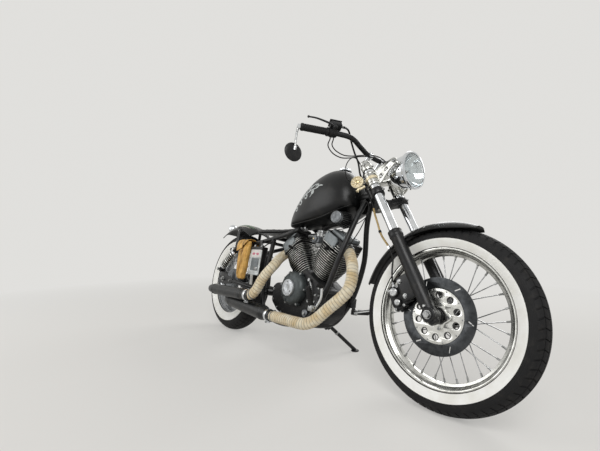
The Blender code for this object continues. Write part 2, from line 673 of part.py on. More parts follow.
def bar_parts():
    """Handlebar on two risers, grips, hand controls and the bar-end mirror."""
    right = [Vector((x, -y, z)) for x, y, z in reversed(BAR_ROUTE)]
    left = [Vector(p) for p in BAR_ROUTE[1:]]
    bar = tube([*right, *left], BAR_R, steps=1)
    risers = []
    for y in both(0.045):
        foot = stem_point(UPPER_YOKE + YOKE_T / 2 + FIT, y) + AHEAD * 0.030
        risers.append(cylinder(0.015, foot, foot + UP * 0.014, 12))
        risers.append(tube([foot + UP * 0.006, foot + UP * 0.050, Vector((1.1, y, 1.045))], 0.012, steps=2))
    bar_clear = operand(tube([*right, *left], BAR_R + 2 * FIT, steps=1))
    fuse(bar, *risers)
    for side, s in (("right", -1), ("left", 1)):
        end, along, clamp_at, ahead = bar_end(s)
        grip = lathe([(0.0, 0.008), (GRIP_R, 0.008), (GRIP_R + 0.0015, 0.004), (GRIP_R + 0.0015, -0.004),
                      (GRIP_R, -0.008), (GRIP_R, -GRIP_LENGTH + 0.012),
                      (GRIP_R + 0.004, -GRIP_LENGTH + 0.008),
                      (GRIP_R + 0.004, -GRIP_LENGTH), (0.0, -GRIP_LENGTH)], end, along, steps=12)
        node("grip_" + side, "fork", "rubber", boolean(grip, bar_clear, "DIFFERENCE"))
        clamp = cylinder(BAR_R + 0.008, clamp_at - along * 0.018, clamp_at + along * 0.018, 12)
        lever_root = clamp_at + ahead * 0.034
        lever = tube([lever_root, lever_root + along * 0.03 + ahead * 0.012,
                      end - along * 0.055 + ahead * 0.058, end - along * 0.015 + ahead * 0.058],
                     0.0055, resolution=1, steps=2)
        perch = box((0.030, 0.020, 0.020), (0, 0, 0))
        perch.data.transform(Matrix.Translation(clamp_at + ahead * 0.024) @ frame_at((0, 0, 0), along, ahead))
        pieces = [perch, lever]
        if s < 0:
            middle, inward = brake_cup()
            cup = box((0.040, 0.032, CUP_LONG), (0, 0, 0), bevel=0.004)
            cup.data.transform(Matrix.Translation(middle) @ frame_at((0, 0, 0), -inward, ahead))
            pieces.append(cup)
        fuse(clamp, *pieces)
        node("controls_" + side, "fork", "satin_black", boolean(clamp, bar_clear, "DIFFERENCE"))
        if s < 0:
            hook = end + along * 0.018
            plug = cylinder(0.012, end + along * (0.008 + FIT), hook + along * 0.004, 10)
            stem = fuse(plug, tube([hook, hook + Vector((0, -0.002, -0.050)),
                                    Vector((0.985, hook.y - 0.002, 0.975))], 0.0055, resolution=1, steps=2))
            glass = lathe([(0.0, 0.008), (0.030, 0.007), (0.043, 0.002), (0.0445, -0.004), (0.0, -0.004)],
                          Vector((MIRROR_X, hook.y - 0.002, MIRROR_Z)), Vector(MIRROR_FACING), steps=20)
            node("mirror", "fork", "chrome", fuse(stem, glass))
    node("handlebar", "fork", "chrome", bar)


CALIPER_AT = leg_point(0.120) - AHEAD * 0.112
CALIPER_IN, CALIPER_OUT = -0.033, -0.083       # its inner and outer faces, sideways
CALIPER_LONG, CALIPER_HALF = 0.062, 0.048
LUG_T = 0.014


def caliper_part():
    """A two-pot caliper astride the disc, on the slider's rear lug."""
    place = frame_at((0, 0, 0), UP)
    centre = CALIPER_AT + Y_AXIS * (CALIPER_IN + CALIPER_OUT) / 2
    body = box((CALIPER_LONG, CALIPER_IN - CALIPER_OUT, 2 * CALIPER_HALF), centre, place, bevel=0.006)
    pot = cylinder(0.021, centre, CALIPER_AT + Y_AXIS * (CALIPER_OUT - 0.015), 20)
    ear_y = -LEG_Y + LUG_T / 2 + FIT + 0.006
    ear = box((0.040, 0.012, 0.080), leg_point(0.120, ear_y) - AHEAD * 0.068, place)
    slot = cylinder(DISC_R + RUNNING_GAP, FRONT_AXLE + Y_AXIS * (DISC_Y - DISC_T / 2 - 0.005),
                    FRONT_AXLE + Y_AXIS * (DISC_Y + DISC_T / 2 + 0.005), 48)
    fuse(body, ear, pot)
    node("brake_caliper", "fork", "satin_black", cut(body, slot))


HOSE_R = 0.0045
HOSE_LOWER = [  # from the lower yoke to the caliper
    (1.194, -0.070, 0.745), (1.221, -0.074, 0.696), (1.251, -0.076, 0.640), (1.301, -0.079, 0.585),
    (1.326, -0.080, 0.539), (1.327, -0.078, 0.491),
]
HOSE_UPPER = [  # from the upper yoke to the brake cup
    (1.066, -0.082, 1.005), (1.058, -0.110, 1.050), (1.062, -0.150, 1.098), (1.080, -0.190, 1.124),
]
HOSE_AHEAD, HOSE_Y = 0.0091, -0.0638     # where it passes the yokes, from the steering axis


def brake_hose_part():
    """From the cup on the bar, behind the two yokes, down to the caliper."""
    beside = [stem_point(height, HOSE_Y) + AHEAD * HOSE_AHEAD
              for height in (0.760, 0.724, 0.650, 0.596, 0.560)]
    inlet = CALIPER_AT + Y_AXIS * -0.070 + UP * (CALIPER_HALF + 0.0006)
    cup_end, inward = brake_cup()
    cup_end += inward * (CUP_LONG / 2 + 0.0008)
    hose = tube([cup_end, cup_end + inward * 0.006, cup_end + inward * 0.014, *reversed(HOSE_UPPER), *beside,
                 *HOSE_LOWER, inlet + UP * 0.022, inlet + UP * 0.010, inlet], HOSE_R, resolution=1, steps=2)
    node("brake_hose", "fork", "rubber", hose)


DOWN_TUBE = [   # right side: x, y, z from the neck to the seat rail
    (1.092, -0.020, 0.822), (1.060, -0.048, 0.705), (1.034, -0.091, 0.533), (0.985, -0.102, 0.362),
    (0.932, -CRADLE_Y, 0.270), (0.865, -CRADLE_Y, 0.198), (0.760, -CRADLE_Y, 0.166),
    (0.640, -CRADLE_Y, 0.160),
    (0.530, -CRADLE_Y, 0.185), (0.478, -CRADLE_Y, 0.250), (0.466, -CRADLE_Y, 0.380),
    (0.492, -CRADLE_Y, 0.612),
]
BACKBONE = [(1.118, 0.848), (1.000, 0.838), (0.850, 0.812), (0.720, 0.763), (0.620, 0.711), (0.500, 0.632)]
SEAT_RAIL = [   # right side: from the backbone to the shock's top
    (0.655, -0.012, 0.718), (0.676, -0.055, 0.694), (0.672, -0.096, 0.664), (0.610, -RAIL_Y, 0.641),
    (0.492, -RAIL_Y, 0.618), (0.240, -RAIL_Y, 0.574), (0.110, -RAIL_Y, 0.552), (0.000, -RAIL_Y, 0.540),
]
FRAME_TIES = [  # x, z of the tubes that join the two sides, and their radius
    (0.984, 0.362, 0.011), (0.560, 0.174, 0.011), (0.505, 0.622, 0.011), (0.400, 0.600, 0.010),
    (SWING_PIVOT.x, SWING_PIVOT.z, SWING_SHAFT_R),
]
SHOCK_TOP = Vector((0.124, 0.140, 0.535))
SHOCK_BOTTOM = Vector((-0.034, 0.140, 0.395))
SHOCK_BOLT_R = 0.007
GUSSET_Y, GUSSET_T = 0.014, 0.005


def side_of(points, side):
    """The route for the right side (-1) as listed, or mirrored to the left side (1)."""
    return [Vector((x, -y * side, z)) for x, y, z in points]


def backbone(extra):
    """The tube from the neck to under the seat, or a thicker one to leave room for it."""
    return tube([(x, 0, z) for x, z in BACKBONE], BACKBONE_R + extra, steps=1)


def frame_part():
    """Head tube, backbone, two cradle loops with seat rails, cross tubes and brackets."""
    head = cylinder(HEAD_TUBE_R, stem_point(HEAD_LOW_END), stem_point(HEAD_TOP_END), 20)
    pieces = [backbone(0.0)]
    for s in (-1, 1):
        pieces.append(tube(side_of(DOWN_TUBE, s), CRADLE_R, steps=1))
        pieces.append(tube(side_of(SEAT_RAIL, s), RAIL_R, steps=1))
        place = SIDE_PLACE.copy()
        place.translation = (0, s * GUSSET_Y, 0)
        gusset = plate([(1.088, 0.840), (1.083, 0.770), (1.060, 0.760), (0.985, 0.800), (0.960, 0.825)],
                       GUSSET_T, place)
        pieces.append(gusset)
        fender_tab = box((0.034, 0.005, 0.165), (0.030, s * (REAR_FENDER_HALF + FIT + 0.0025), 0.624))
        tab_foot = box((0.034, 0.020, 0.018), (0.030, s * 0.097, 0.547))
        pieces += [fender_tab, tab_foot]
        pieces.append(cylinder(SHOCK_BOLT_R, (SHOCK_TOP.x, s * 0.098, SHOCK_TOP.z + 0.010),
                               (SHOCK_TOP.x, s * SHOCK_PIN_OUT, SHOCK_TOP.z), 10))
    for x, z, radius in FRAME_TIES:
        pieces.append(cylinder(radius, (x, -CRADLE_Y, z), (x, CRADLE_Y, z), 10))
    hanger_back = CASE_FRONT_X + FIT
    hanger_front = FRAME_TIES[0][0]
    pieces.append(box((hanger_front - hanger_back, 0.090, 0.016),
                      ((hanger_front + hanger_back) / 2, 0, FRAME_TIES[0][1])))
    lug_top = STAND_PIVOT - STAND_AXIS * (STAND_PIN_HALF + FIT)
    lug = cylinder(0.017, lug_top - STAND_AXIS * 0.008, lug_top, 20)
    pieces += [lug, cylinder(0.010, lug_top - STAND_AXIS * 0.010, (STAND_PIVOT.x, CRADLE_Y, 0.173), 12)]
    fuse(head, *pieces)
    bore = cylinder(STEM_R + PIN_FIT, stem_point(HEAD_LOW_END - 0.02), stem_point(HEAD_TOP_END + 0.02), 16)
    return cut(head, bore)


def engine_point(tilt, along, across=0.0, y=0.0):
    """A point on a cylinder's own axes, measured from the crankshaft."""
    return Vector((CRANK[0] + along * sin(tilt) + across * cos(tilt), y,
                   CRANK[1] + along * cos(tilt) - across * sin(tilt)))


def exhaust_port(tilt):
    """Where a pipe meets the head's outer face, and the way it leaves."""
    outward = 1 if tilt > 0 else -1
    start = engine_point(tilt, PORT_ALONG, outward * HEAD_HALF, PORT_Y)
    out = (engine_point(tilt, 0, outward) - engine_point(tilt, 0, 0)).normalized()
    return start, out


def cylinder_part(name, tilt):
    """A finned barrel with its head, rocker box and side plates."""
    up = engine_point(tilt, 1) - engine_point(tilt, 0)
    profile = [(0.0, HEAD_LOW)]
    for i in reversed(range(FIN_COUNT)):
        at = FIN_START + i * FIN_PITCH
        r = FIN_R * min(1.0, FIN_TAPER + (1 - FIN_TAPER) * i / (FIN_COUNT * 0.5))
        low = at - FIN_T
        profile += [(FIN_CORE_R * 0.92 if i == FIN_COUNT - 1 else FIN_CORE_R, at), (r, at), (r, low),
                    (FIN_CORE_R, low)]
    profile += [(FIN_CORE_R - 0.006, BARREL_FOOT), (0.0, BARREL_FOOT)]
    profile[0:1] = [(0.0, HEAD_LOW), (FIN_CORE_R, HEAD_LOW)]
    barrel = lathe(profile, engine_point(tilt, 0), up, steps=BARREL_SIDES, phase=pi / BARREL_SIDES)
    place = frame_at((0, 0, 0), up)
    head = box((2 * HEAD_HALF, 2 * HEAD_HALF, HEAD_HIGH - HEAD_LOW),
               engine_point(tilt, (HEAD_LOW + HEAD_HIGH) / 2), place, bevel=0.006)
    rocker = box((0.100, 0.126, 0.030), engine_point(tilt, HEAD_HIGH + 0.008), place, bevel=0.008)
    fins = [box((2 * HEAD_HALF + 0.014, 2 * HEAD_HALF + 0.012, 0.004), engine_point(tilt, h), place)
            for h in (HEAD_LOW + 0.006, HEAD_LOW + 0.018)]
    plates = [box((0.096, 0.012, 0.052), engine_point(tilt, 0.312, -0.010, s * (HEAD_HALF + 0.004)), place,
                  bevel=0.003) for s in (-1, 1)]
    fuse(barrel, head, rocker, *fins, *plates)
    start, out = exhaust_port(tilt)
    port = cylinder(PIPE_R + 0.002, start, start + out * 0.04, 16)
    node(name, "chassis", "engine_black", cut(barrel, port))


CASE_FRONT_X = 0.968
SUMP_X, SUMP_LOW = 0.780, 0.175
BARREL_FOOT = FIN_START - FIN_T - 0.0085      # where a barrel stands on the case, from the crankshaft


def case_outline():
    """x, z round the crankcase seen from the right; its top follows the feet of the two barrels."""
    deck = BARREL_FOOT - FIT
    front = [engine_point(FRONT_TILT, deck, across) for across in (0.085, -0.058)]
    rear = [engine_point(REAR_TILT, deck, across) for across in (0.058, -0.085)]
    return [
        (0.655, 0.200), (0.700, 0.190), (0.880, 0.190), (0.945, 0.245), (CASE_FRONT_X, 0.330),
        (CASE_FRONT_X, 0.372),
        *[(p.x, p.z) for p in (*front, *rear)],
        (0.560, 0.366), (0.530, 0.340), (0.540, 0.260), (0.600, 0.215),
    ]


# Stands an outline in x and z upright, as seen from the right.
SIDE_PLACE = Matrix(((1, 0, 0, 0), (0, 0, -1, 0), (0, 1, 0, 0), (0, 0, 0, 1)))
COVER_AT = Vector((0.742, 0, 0.350))


def engine_case_part():
    """The crankcase with its sump."""
    sump = box((0.200, 0.120, 0.030), (SUMP_X, 0, SUMP_LOW + 0.015), bevel=0.006)
    case = plate(case_outline(), 2 * CASE_HALF, SIDE_PLACE)
    node("engine_case", "chassis", "engine_black", fuse(case, sump))


def case_cover_parts():
    """Round side covers: on the right with a bright raised disc, on the left a plain one."""
    for side, s, at_x in (("right", -1, COVER_AT.x), ("left", 1, COVER_AT.x + 0.02)):
        axis = Y_AXIS * s
        start = Vector((at_x, s * (CASE_HALF + FIT), COVER_AT.z))
        profile = [
            (0.0, 0.062), (0.042, 0.062), (0.046, 0.048), (COVER_R - 0.018, 0.044), (COVER_R - 0.005, 0.035),
            (COVER_R, 0.022), (COVER_R, 0.0), (0.0, 0.0),
        ]
        cover = lathe(profile, start, axis, steps=22)
        ears = [cylinder(0.009, start + Vector((r * cos(a), 0, r * sin(a))),
                         start + Vector((r * cos(a), s * 0.020, r * sin(a))), 6)
                for r in (COVER_R + 0.002,) for a in (radians(d) for d in (-60, 0, 60, 120, 180, 240))]
        node("case_cover_" + side, "chassis", "grey_plastic", fuse(cover, merged(*ears)))


FILTER_BASE = Vector((1.0055, -0.053, 0.7215))
FILTER_CAP = Vector((1.026, -0.146, 0.7165))
FILTER_CAP_R, FILTER_BASE_R, FILTER_GAP = 0.030, 0.042, 0.0008


def intake_parts():
    """Carburettor between the cylinders, and the cone filter on its elbow."""
    carb_at = Vector(CARB_AT)
    body = cylinder(0.033, carb_at - Vector((0, 0, 0.052)), carb_at + Vector((0, 0, 0.044)), 16)
    bowl = box((0.058, 0.094, 0.040), carb_at - Vector((0, 0, 0.014)), bevel=0.006)
    axis = (FILTER_CAP - FILTER_BASE).normalized()
    elbow = tube([carb_at, (0.808, 0, 0.694), (0.868, -0.002, 0.7165), (0.950, -0.008, 0.7235),
                  FILTER_BASE - axis * 0.026, FILTER_BASE], 0.0165, steps=2)
    port = 0.320
    manifold = cylinder(0.016, engine_point(REAR_TILT, port, HEAD_HALF + FIT),
                        engine_point(FRONT_TILT, port, -HEAD_HALF - FIT), 12)
    carb = fuse(body, bowl, elbow, manifold)
    place = [frame_at((0, 0, 0), engine_point(t, 1) - engine_point(t, 0)) for t in (FRONT_TILT, REAR_TILT)]
    heads = [box((2 * (HEAD_HALF + FIT), 2 * HEAD_HALF, HEAD_HIGH - HEAD_LOW),
                 engine_point(t, (HEAD_LOW + HEAD_HIGH) / 2), p)
             for t, p in zip((FRONT_TILT, REAR_TILT), place)]
    cut(carb, *heads, filter_cone(FIT))
    node("carburettor", "chassis", "steel", carb)
    node("air_filter", "chassis", "grey_plastic", filter_cone(0.0))


def filter_cone(extra):
    """The cone filter, or a larger one to leave room for it."""
    axis = (FILTER_CAP - FILTER_BASE).normalized()
    length = (FILTER_CAP - FILTER_BASE).length
    small, large = FILTER_CAP_R + extra, FILTER_BASE_R + extra
    return lathe([(0.0, length + extra), (small - 0.004, length + extra), (small, length - 0.004),
                  (small, length - 0.020), (large, 0.010), (large, FILTER_GAP - extra),
                  (0.0, FILTER_GAP - extra)],
                 FILTER_BASE, axis, steps=20)


TANK_SECTIONS = [   # x, z of the bottom, z of the top, half width
    (0.528, 0.705, 0.738, 0.022), (0.560, 0.698, 0.778, 0.050), (0.610, 0.694, 0.842, 0.080),
    (0.680, 0.693, 0.920, 0.106), (0.760, 0.697, 0.978, 0.124), (0.840, 0.706, 1.006, 0.132),
    (0.910, 0.722, 1.008, 0.130), (0.970, 0.745, 0.985, 0.121), (1.015, 0.765, 0.940, 0.102),
    (1.042, 0.782, 0.892, 0.074), (1.054, 0.800, 0.850, 0.040),
]
TANK_POINTS = 16
TUNNEL_HALF = 0.036


def tank_ring(x, low, high, half):
    """A section that is flat below, widest a third of the way up and domed on top."""
    ring = []
    waist = low + (high - low) * 0.36
    for i in range(TANK_POINTS):
        a = 2 * pi * (i + 0.5) / TANK_POINTS
        c, s = cos(a), sin(a)
        y = half * (abs(c) ** 0.85) * (1 if c > 0 else -1)
        z = waist + (high - waist) * s ** 0.95 if s > 0 else waist - (waist - low) * abs(s) ** 0.55
        ring.append(Vector((x, y, z)))
    return ring


def tank_parts():
    sections = smooth_route([Vector((x, low, high)) for x, low, high, _ in TANK_SECTIONS], 2)
    halves = smooth_route([Vector((x, half, 0)) for x, _, _, half in TANK_SECTIONS], 2)
    rings = [tank_ring(p.x, p.y, p.z, h.y) for p, h in zip(sections, halves)]
    tank = loft(rings)
    cap_at = Vector((0.905, 0, TANK_SECTIONS[6][2] + 0.0005))
    node("tank_cap", "chassis", "chrome", lathe(
        [(0.0, 0.018), (0.022, 0.017), (0.030, 0.012), (0.030, 0.0), (0.016, -0.0005), (0.016, -0.012),
         (0.0, -0.012)],
        cap_at, (0, 0, 1), steps=20))
    filler = lathe([(0.0, 0.020), (0.032, 0.020), (0.032, -0.0009), (0.0167, -0.0009), (0.0167, -0.0125),
                    (0.0, -0.0125)],
                   cap_at, (0, 0, 1), steps=20)
    lift = BACKBONE_R * 0.9
    ceiling = [(x, z + lift) for x, z in BACKBONE]
    tunnel = plate([(BACKBONE[0][0], 0.60), *ceiling, (BACKBONE[-1][0], 0.60)], 2 * TUNNEL_HALF, SIDE_PLACE)
    rails = [tube(side_of(SEAT_RAIL, s), RAIL_R + 2 * FIT, steps=1) for s in (-1, 1)]
    cut(tank, filler, tunnel, backbone(2 * FIT), filter_cone(0.004), *rails)
    node("tank", "chassis", "black_paint", tank)


SEAT_SECTIONS = [   # x, z of the underside, half width
    (0.250, 0.668, 0.060), (0.285, 0.660, 0.100), (0.350, 0.651, 0.122), (0.430, 0.648, 0.124),
    (0.510, 0.6505, 0.108),
    (0.580, 0.660, 0.082), (0.640, 0.6785, 0.058),
]


def seat_part():
    """A thin solo seat on the rails."""
    rings = []
    for x, low, half in SEAT_SECTIONS:
        end = x in (SEAT_SECTIONS[0][0], SEAT_SECTIONS[-1][0])
        t = SEAT_T * (0.45 if end else 1.0)
        rings.append([
            Vector((x, half * cy, low + t * cz)) for cy, cz in
            ((-0.97, 0.0), (0.97, 0.0), (1.0, 0.35), (0.94, 0.75), (0.60, 0.97), (0.0, 1.0), (-0.60, 0.97),
             (-0.94, 0.75), (-1.0, 0.35))
        ])
    seat = loft(rings)
    tank = loft([tank_ring(x - 0.001, low - 0.001, high + 0.0015, half + 0.0015)
                 for x, low, high, half in TANK_SECTIONS])
    clear = [tank]
    for s in (-1, 1):
        clear.append(tube(side_of(SEAT_RAIL, s), RAIL_R + 2 * FIT, steps=1))
    clear.append(backbone(2 * FIT))
    node("seat", "chassis", "vinyl", cut(seat, *clear))


def rear_fender_parts():
    fender = arc_shell(REAR_AXLE, REAR_FENDER_R, REAR_FENDER_HALF, REAR_FENDER_FROM, REAR_FENDER_TO, 0.045,
                       FENDER_T, REAR_FENDER_STEPS)
    node("rear_fender", "chassis", "gloss_black", fender)
    facet = radians(REAR_FENDER_TO - REAR_FENDER_FROM) / REAR_FENDER_STEPS
    a = radians(REAR_FENDER_TO) - facet / 2
    out = Vector((cos(a), 0, sin(a)))
    back = Vector((-sin(a), 0, cos(a)))
    foot = REAR_AXLE + out * (REAR_FENDER_R * cos(facet / 2) + FIT)
    look = Vector((-1, 0, 0.05)).normalized()
    centre = foot + out * 0.044 + back * 0.006
    lamp = lathe([(0.0, 0.026), (0.020, 0.022), (0.031, 0.012), (0.034, 0.004), (0.034, -0.006),
                  (0.030, -0.020),
                  (0.016, -0.034), (0.0, -0.036)], centre, look, steps=20)
    post = cylinder(0.008, foot + out * 0.0012, centre, 12)
    shoe = box((0.030, 0.022, 0.004), foot + out * 0.002, frame_at((0, 0, 0), out))
    node("tail_lamp", "chassis", "chrome", fuse(lamp, post, shoe))


ARM_ROUTE = [(0.474, 0.072, 0.300), (0.430, 0.074, 0.303), (0.370, 0.092, 0.308), (0.260, 0.106, 0.317),
             (0.140, 0.115, 0.326), (0.045, 0.116, 0.332)]
AXLE_PLATE = [(0.120, 0.310), (0.125, 0.342), (0.050, 0.362), (-0.010, 0.405), (-0.026, 0.413),
              (-0.046, 0.410),
              (-0.054, 0.392), (-0.040, 0.330), (-0.028, 0.306), (0.0, 0.296), (0.040, 0.302)]
DRIVE_R, DRIVE_IN, DRIVE_OUT = 0.074, 0.072, 0.1225


def swingarm_part():
    """Two arms from the pivot tube to the axle plates, with the lower shock bolts."""
    tube_y = CASE_HALF - 0.004
    arm = cylinder(0.018, SWING_PIVOT - Y_AXIS * tube_y, SWING_PIVOT + Y_AXIS * tube_y, 16)
    pieces = []
    for s in (-1, 1):
        pieces.append(tube([(x, s * y, z) for x, y, z in ARM_ROUTE], SWING_ARM_R, steps=1))
        place = SIDE_PLACE.copy()
        place.translation = (0, s * AXLE_PLATE_Y, 0)
        pieces.append(plate(AXLE_PLATE, AXLE_PLATE_T, place, holes=[(0, REAR_AXLE.z, AXLE_R + 2 * FIT)]))
        pieces.append(cylinder(SHOCK_BOLT_R, (SHOCK_BOTTOM.x, s * AXLE_PLATE_Y, SHOCK_BOTTOM.z),
                               (SHOCK_BOTTOM.x, s * SHOCK_PIN_OUT, SHOCK_BOTTOM.z), 10))
    fuse(arm, *pieces)
    bore = cylinder(SWING_SHAFT_R + 2 * FIT, SWING_PIVOT - Y_AXIS * 0.12, SWING_PIVOT + Y_AXIS * 0.12, 12)
    drive = cylinder(DRIVE_R + FIT, REAR_AXLE + Y_AXIS * (DRIVE_IN - FIT),
                     REAR_AXLE + Y_AXIS * (DRIVE_OUT + FIT), 24)
    node("swingarm", "chassis", "satin_black", cut(arm, bore, drive))
    housing = lathe([(0.0, DRIVE_OUT), (DRIVE_R - 0.016, DRIVE_OUT), (DRIVE_R - 0.004, DRIVE_OUT - 0.014),
                     (DRIVE_R, DRIVE_OUT - 0.024), (DRIVE_R, DRIVE_IN + 0.006), (DRIVE_R - 0.006, DRIVE_IN),
                     (0.0, DRIVE_IN)], REAR_AXLE, steps=24)
    hole = cylinder(AXLE_R + FIT, REAR_AXLE, REAR_AXLE + Y_AXIS * 0.2, 12)
    node("final_drive", "chassis", "engine_black", cut(housing, hole))
    axle = cylinder(AXLE_R, REAR_AXLE - Y_AXIS * (REAR_AXLE_END + 0.016),
                    REAR_AXLE + Y_AXIS * (REAR_AXLE_END + 0.016), 12)
    inner = AXLE_PLATE_Y - AXLE_PLATE_T / 2 - FIT
    collars = [
        cylinder(0.016, REAR_AXLE - Y_AXIS * inner, REAR_AXLE - Y_AXIS * 0.071, 12),
        cylinder(0.016, REAR_AXLE + Y_AXIS * 0.059, REAR_AXLE + Y_AXIS * (DRIVE_IN - FIT), 12),
    ]
    nuts = [cylinder(0.013, REAR_AXLE + Y_AXIS * s * (REAR_AXLE_END + FIT),
                     REAR_AXLE + Y_AXIS * s * (REAR_AXLE_END + 0.012), 6)
            for s in (-1, 1)]
    node("rear_axle", "chassis", "steel", fuse(axle, *collars, *nuts))


def shock_parts():
    """A coil-over shock on each side, its spring drawn as stacked rings on the damper."""
    for side, s in (("right", -1), ("left", 1)):
        top = Vector((SHOCK_TOP.x, s * SHOCK_TOP.y, SHOCK_TOP.z))
        low = Vector((SHOCK_BOTTOM.x, s * SHOCK_BOTTOM.y, SHOCK_BOTTOM.z))
        up = (top - low).normalized()
        length = (top - low).length
        coils = 5
        start, stop = 0.046, length - 0.024
        pitch = (stop - start) / coils
        profile = [(0.0, stop + 0.010), (0.027, stop + 0.010), (0.027, stop)]
        for i in reversed(range(coils)):
            middle = start + (i + 0.5) * pitch
            profile += [(0.026, middle + pitch * 0.25), (0.019, middle - pitch * 0.25)]
        profile += [(0.027, start), (0.027, start - 0.006), (0.0, start - 0.008)]
        shock = lathe(profile, low, up, steps=10)
        eyes = [cylinder(0.016, at - Y_AXIS * 0.009, at + Y_AXIS * 0.009, 12) for at in (low, top)]
        neck = cylinder(0.009, low + up * 0.011, top - up * 0.011, 10)
        fuse(shock, neck, *eyes)
        bolts = [cylinder(SHOCK_BOLT_R + 2 * FIT, (low.x, s * 0.098, low.z), (low.x, s * 0.18, low.z), 10),
                 cylinder(SHOCK_BOLT_R + 2 * FIT, (top.x, s * 0.098, top.z + 0.010),
                          (top.x, s * 0.180, top.z - 0.0022), 10)]
        node("shock_" + side, "chassis", "steel", cut(shock, *bolts))


FRONT_PIPE = [  # after the port
    (1.066, -0.042, 0.524), (1.094, -0.058, 0.484), (1.110, -0.074, 0.425),
    (1.106, -0.096, 0.367), (1.035, -0.130, 0.280), (0.985, -0.146, 0.226), (0.940, -0.156, 0.200),
    (0.890, -0.162, 0.193), (0.780, -0.165, 0.192), (0.650, -0.161, 0.190),
]
REAR_PIPE = [   # after the port
    (0.534, -0.050, 0.524), (0.552, -0.092, 0.496), (0.588, -0.134, 0.470), (0.596, -0.166, 0.437),
    (0.563, -0.189, 0.375), (0.545, -0.200, 0.320), (0.518, -0.205, 0.286), (0.478, -0.206, 0.271),
]


def pipe_route(route, tilt):
    """From square on the head's port along the listed points."""
    start, out = exhaust_port(tilt)
    return [start + out * (0.0006 + step) for step in (0.0, 0.009, 0.018)] + [Vector(p) for p in route]


def exhaust_parts():
    """Two wrapped pipes, each into its own straight silencer."""
    for name, route, tilt in (("front_pipe", FRONT_PIPE, FRONT_TILT), ("rear_pipe", REAR_PIPE, REAR_TILT)):
        pipe = tube(pipe_route(route, tilt), PIPE_R, resolution=PIPE_RESOLUTION, steps=2)
        node(name, "chassis", "heat_wrap", pipe)
    for name, start, end, radius in (
        ("lower_silencer", Vector(FRONT_PIPE[-1]), Vector((0.165, -0.152, 0.216)), LOWER_SILENCER_R),
        ("upper_silencer", Vector(REAR_PIPE[-1]), Vector((0.020, -0.212, 0.262)), UPPER_SILENCER_R),
    ):
        along = (end - start).normalized()
        length = (end - start).length
        neck = PIPE_R + 0.003
        profile = [
            (0.0, length), (radius * 0.72, length), (radius, length - 0.050), (radius, 0.060),
            (neck, 0.030), (neck, -0.020), (0.0, -0.020),
        ]
        body = lathe(profile, start, along, steps=18)
        outlet = cylinder(radius * 0.55, end - along * 0.030, end + along * 0.01, 16)
        route, tilt = (FRONT_PIPE, FRONT_TILT) if name == "lower_silencer" else (REAR_PIPE, REAR_TILT)
        socket = tube(pipe_route(route, tilt), PIPE_R + 2 * FIT, resolution=PIPE_RESOLUTION, steps=2)
        stop = cylinder(PIPE_R, start - along * 0.005, start + along * 0.0025, 20)
        node(name, "chassis", "satin_black", cut(body, outlet, socket, stop))


def side_box_parts():
    """The grey electrics box on the right rail, and the leather pouch behind it."""
    rail_y = SEAT_RAIL[4][1]
    case = box((0.120, 0.040, 0.165), (0.386, -0.126, 0.470), bevel=0.006)
    cap = box((0.124, 0.044, 0.022), (0.386, -0.126, 0.550), bevel=0.004)
    hook = box((0.030, 0.006, 0.060), (0.386, rail_y - 0.015, 0.575))
    fuse(case, cap, hook)
    rail = tube(side_of(SEAT_RAIL, -1), RAIL_R + FIT, steps=1)
    node("battery_box", "chassis", "grey_plastic", cut(case, rail))
    rings = []
    for z, x, wide, deep in ((0.350, 0.256, 0.028, 0.012), (0.362, 0.256, 0.042, 0.020),
                             (0.470, 0.254, 0.053, 0.025),
                             (0.560, 0.254, 0.056, 0.025), (0.592, 0.256, 0.054, 0.018)):
        rings.append([Vector((x + wide * cos(a), -0.1460 + deep * sin(a), z))
                      for a in (2 * pi * (i + 0.5) / 12 for i in range(12))])
    pouch = fuse(loft(rings), box((0.034, 0.044, 0.014), (0.256, rail_y - 0.016, 0.588)))
    clear = tube(side_of(SEAT_RAIL, -1), RAIL_R + 2 * FIT, steps=1)
    node("pouch", "chassis", "leather", cut(pouch, clear))


def foot_control_parts():
    """Forward pegs: the left one down, the right one folded up, each on its bracket."""
    for side, s in (("right", -1), ("left", 1)):
        at = Vector((0.960, s * CRADLE_Y, 0.320))
        tube_clear = tube(side_of(DOWN_TUBE, s), CRADLE_R + FIT, steps=1)
        clamp = box((0.046, 0.040, 0.050), at + Vector((0, s * 0.008, 0)), bevel=0.004)
        arm = tube([at + Vector((0, s * 0.020, 0)), at + Vector((0.0, s * 0.036, -0.030)),
                    at + Vector((-0.004, s * 0.048, -0.046))], 0.009, steps=1)
        hinge = at + Vector((-0.004, s * 0.050, -0.046))
        if s > 0:
            tip = hinge + Vector((0.0, s * 0.115, 0.004))
            peg = cylinder(0.0135, hinge, tip, 12)
            pedal = tube([hinge + Vector((0.01, -0.012, 0.0)), hinge + Vector((0.085, 0.004, 0.022)),
                          hinge + Vector((0.130, 0.010, 0.034)), hinge + Vector((0.132, 0.060, 0.034))],
                          0.006, resolution=1, steps=1)
        else:
            tip = hinge + Vector((-0.012, s * 0.030, 0.100))
            peg = cylinder(0.0135, hinge, tip, 12)
            pedal = tube([hinge + Vector((0.01, 0.012, 0.0)), hinge + Vector((0.036, 0.016, 0.050)),
                          hinge + Vector((0.040, 0.010, 0.105)), hinge + Vector((0.040, -0.030, 0.110))],
                          0.006, resolution=1, steps=1)
        knuckle = box((0.030, 0.026, 0.030), hinge, bevel=0.004)
        fuse(clamp, arm, knuckle, peg, pedal)
        node("foot_control_" + side, "chassis", "satin_black", cut(clamp, tube_clear))


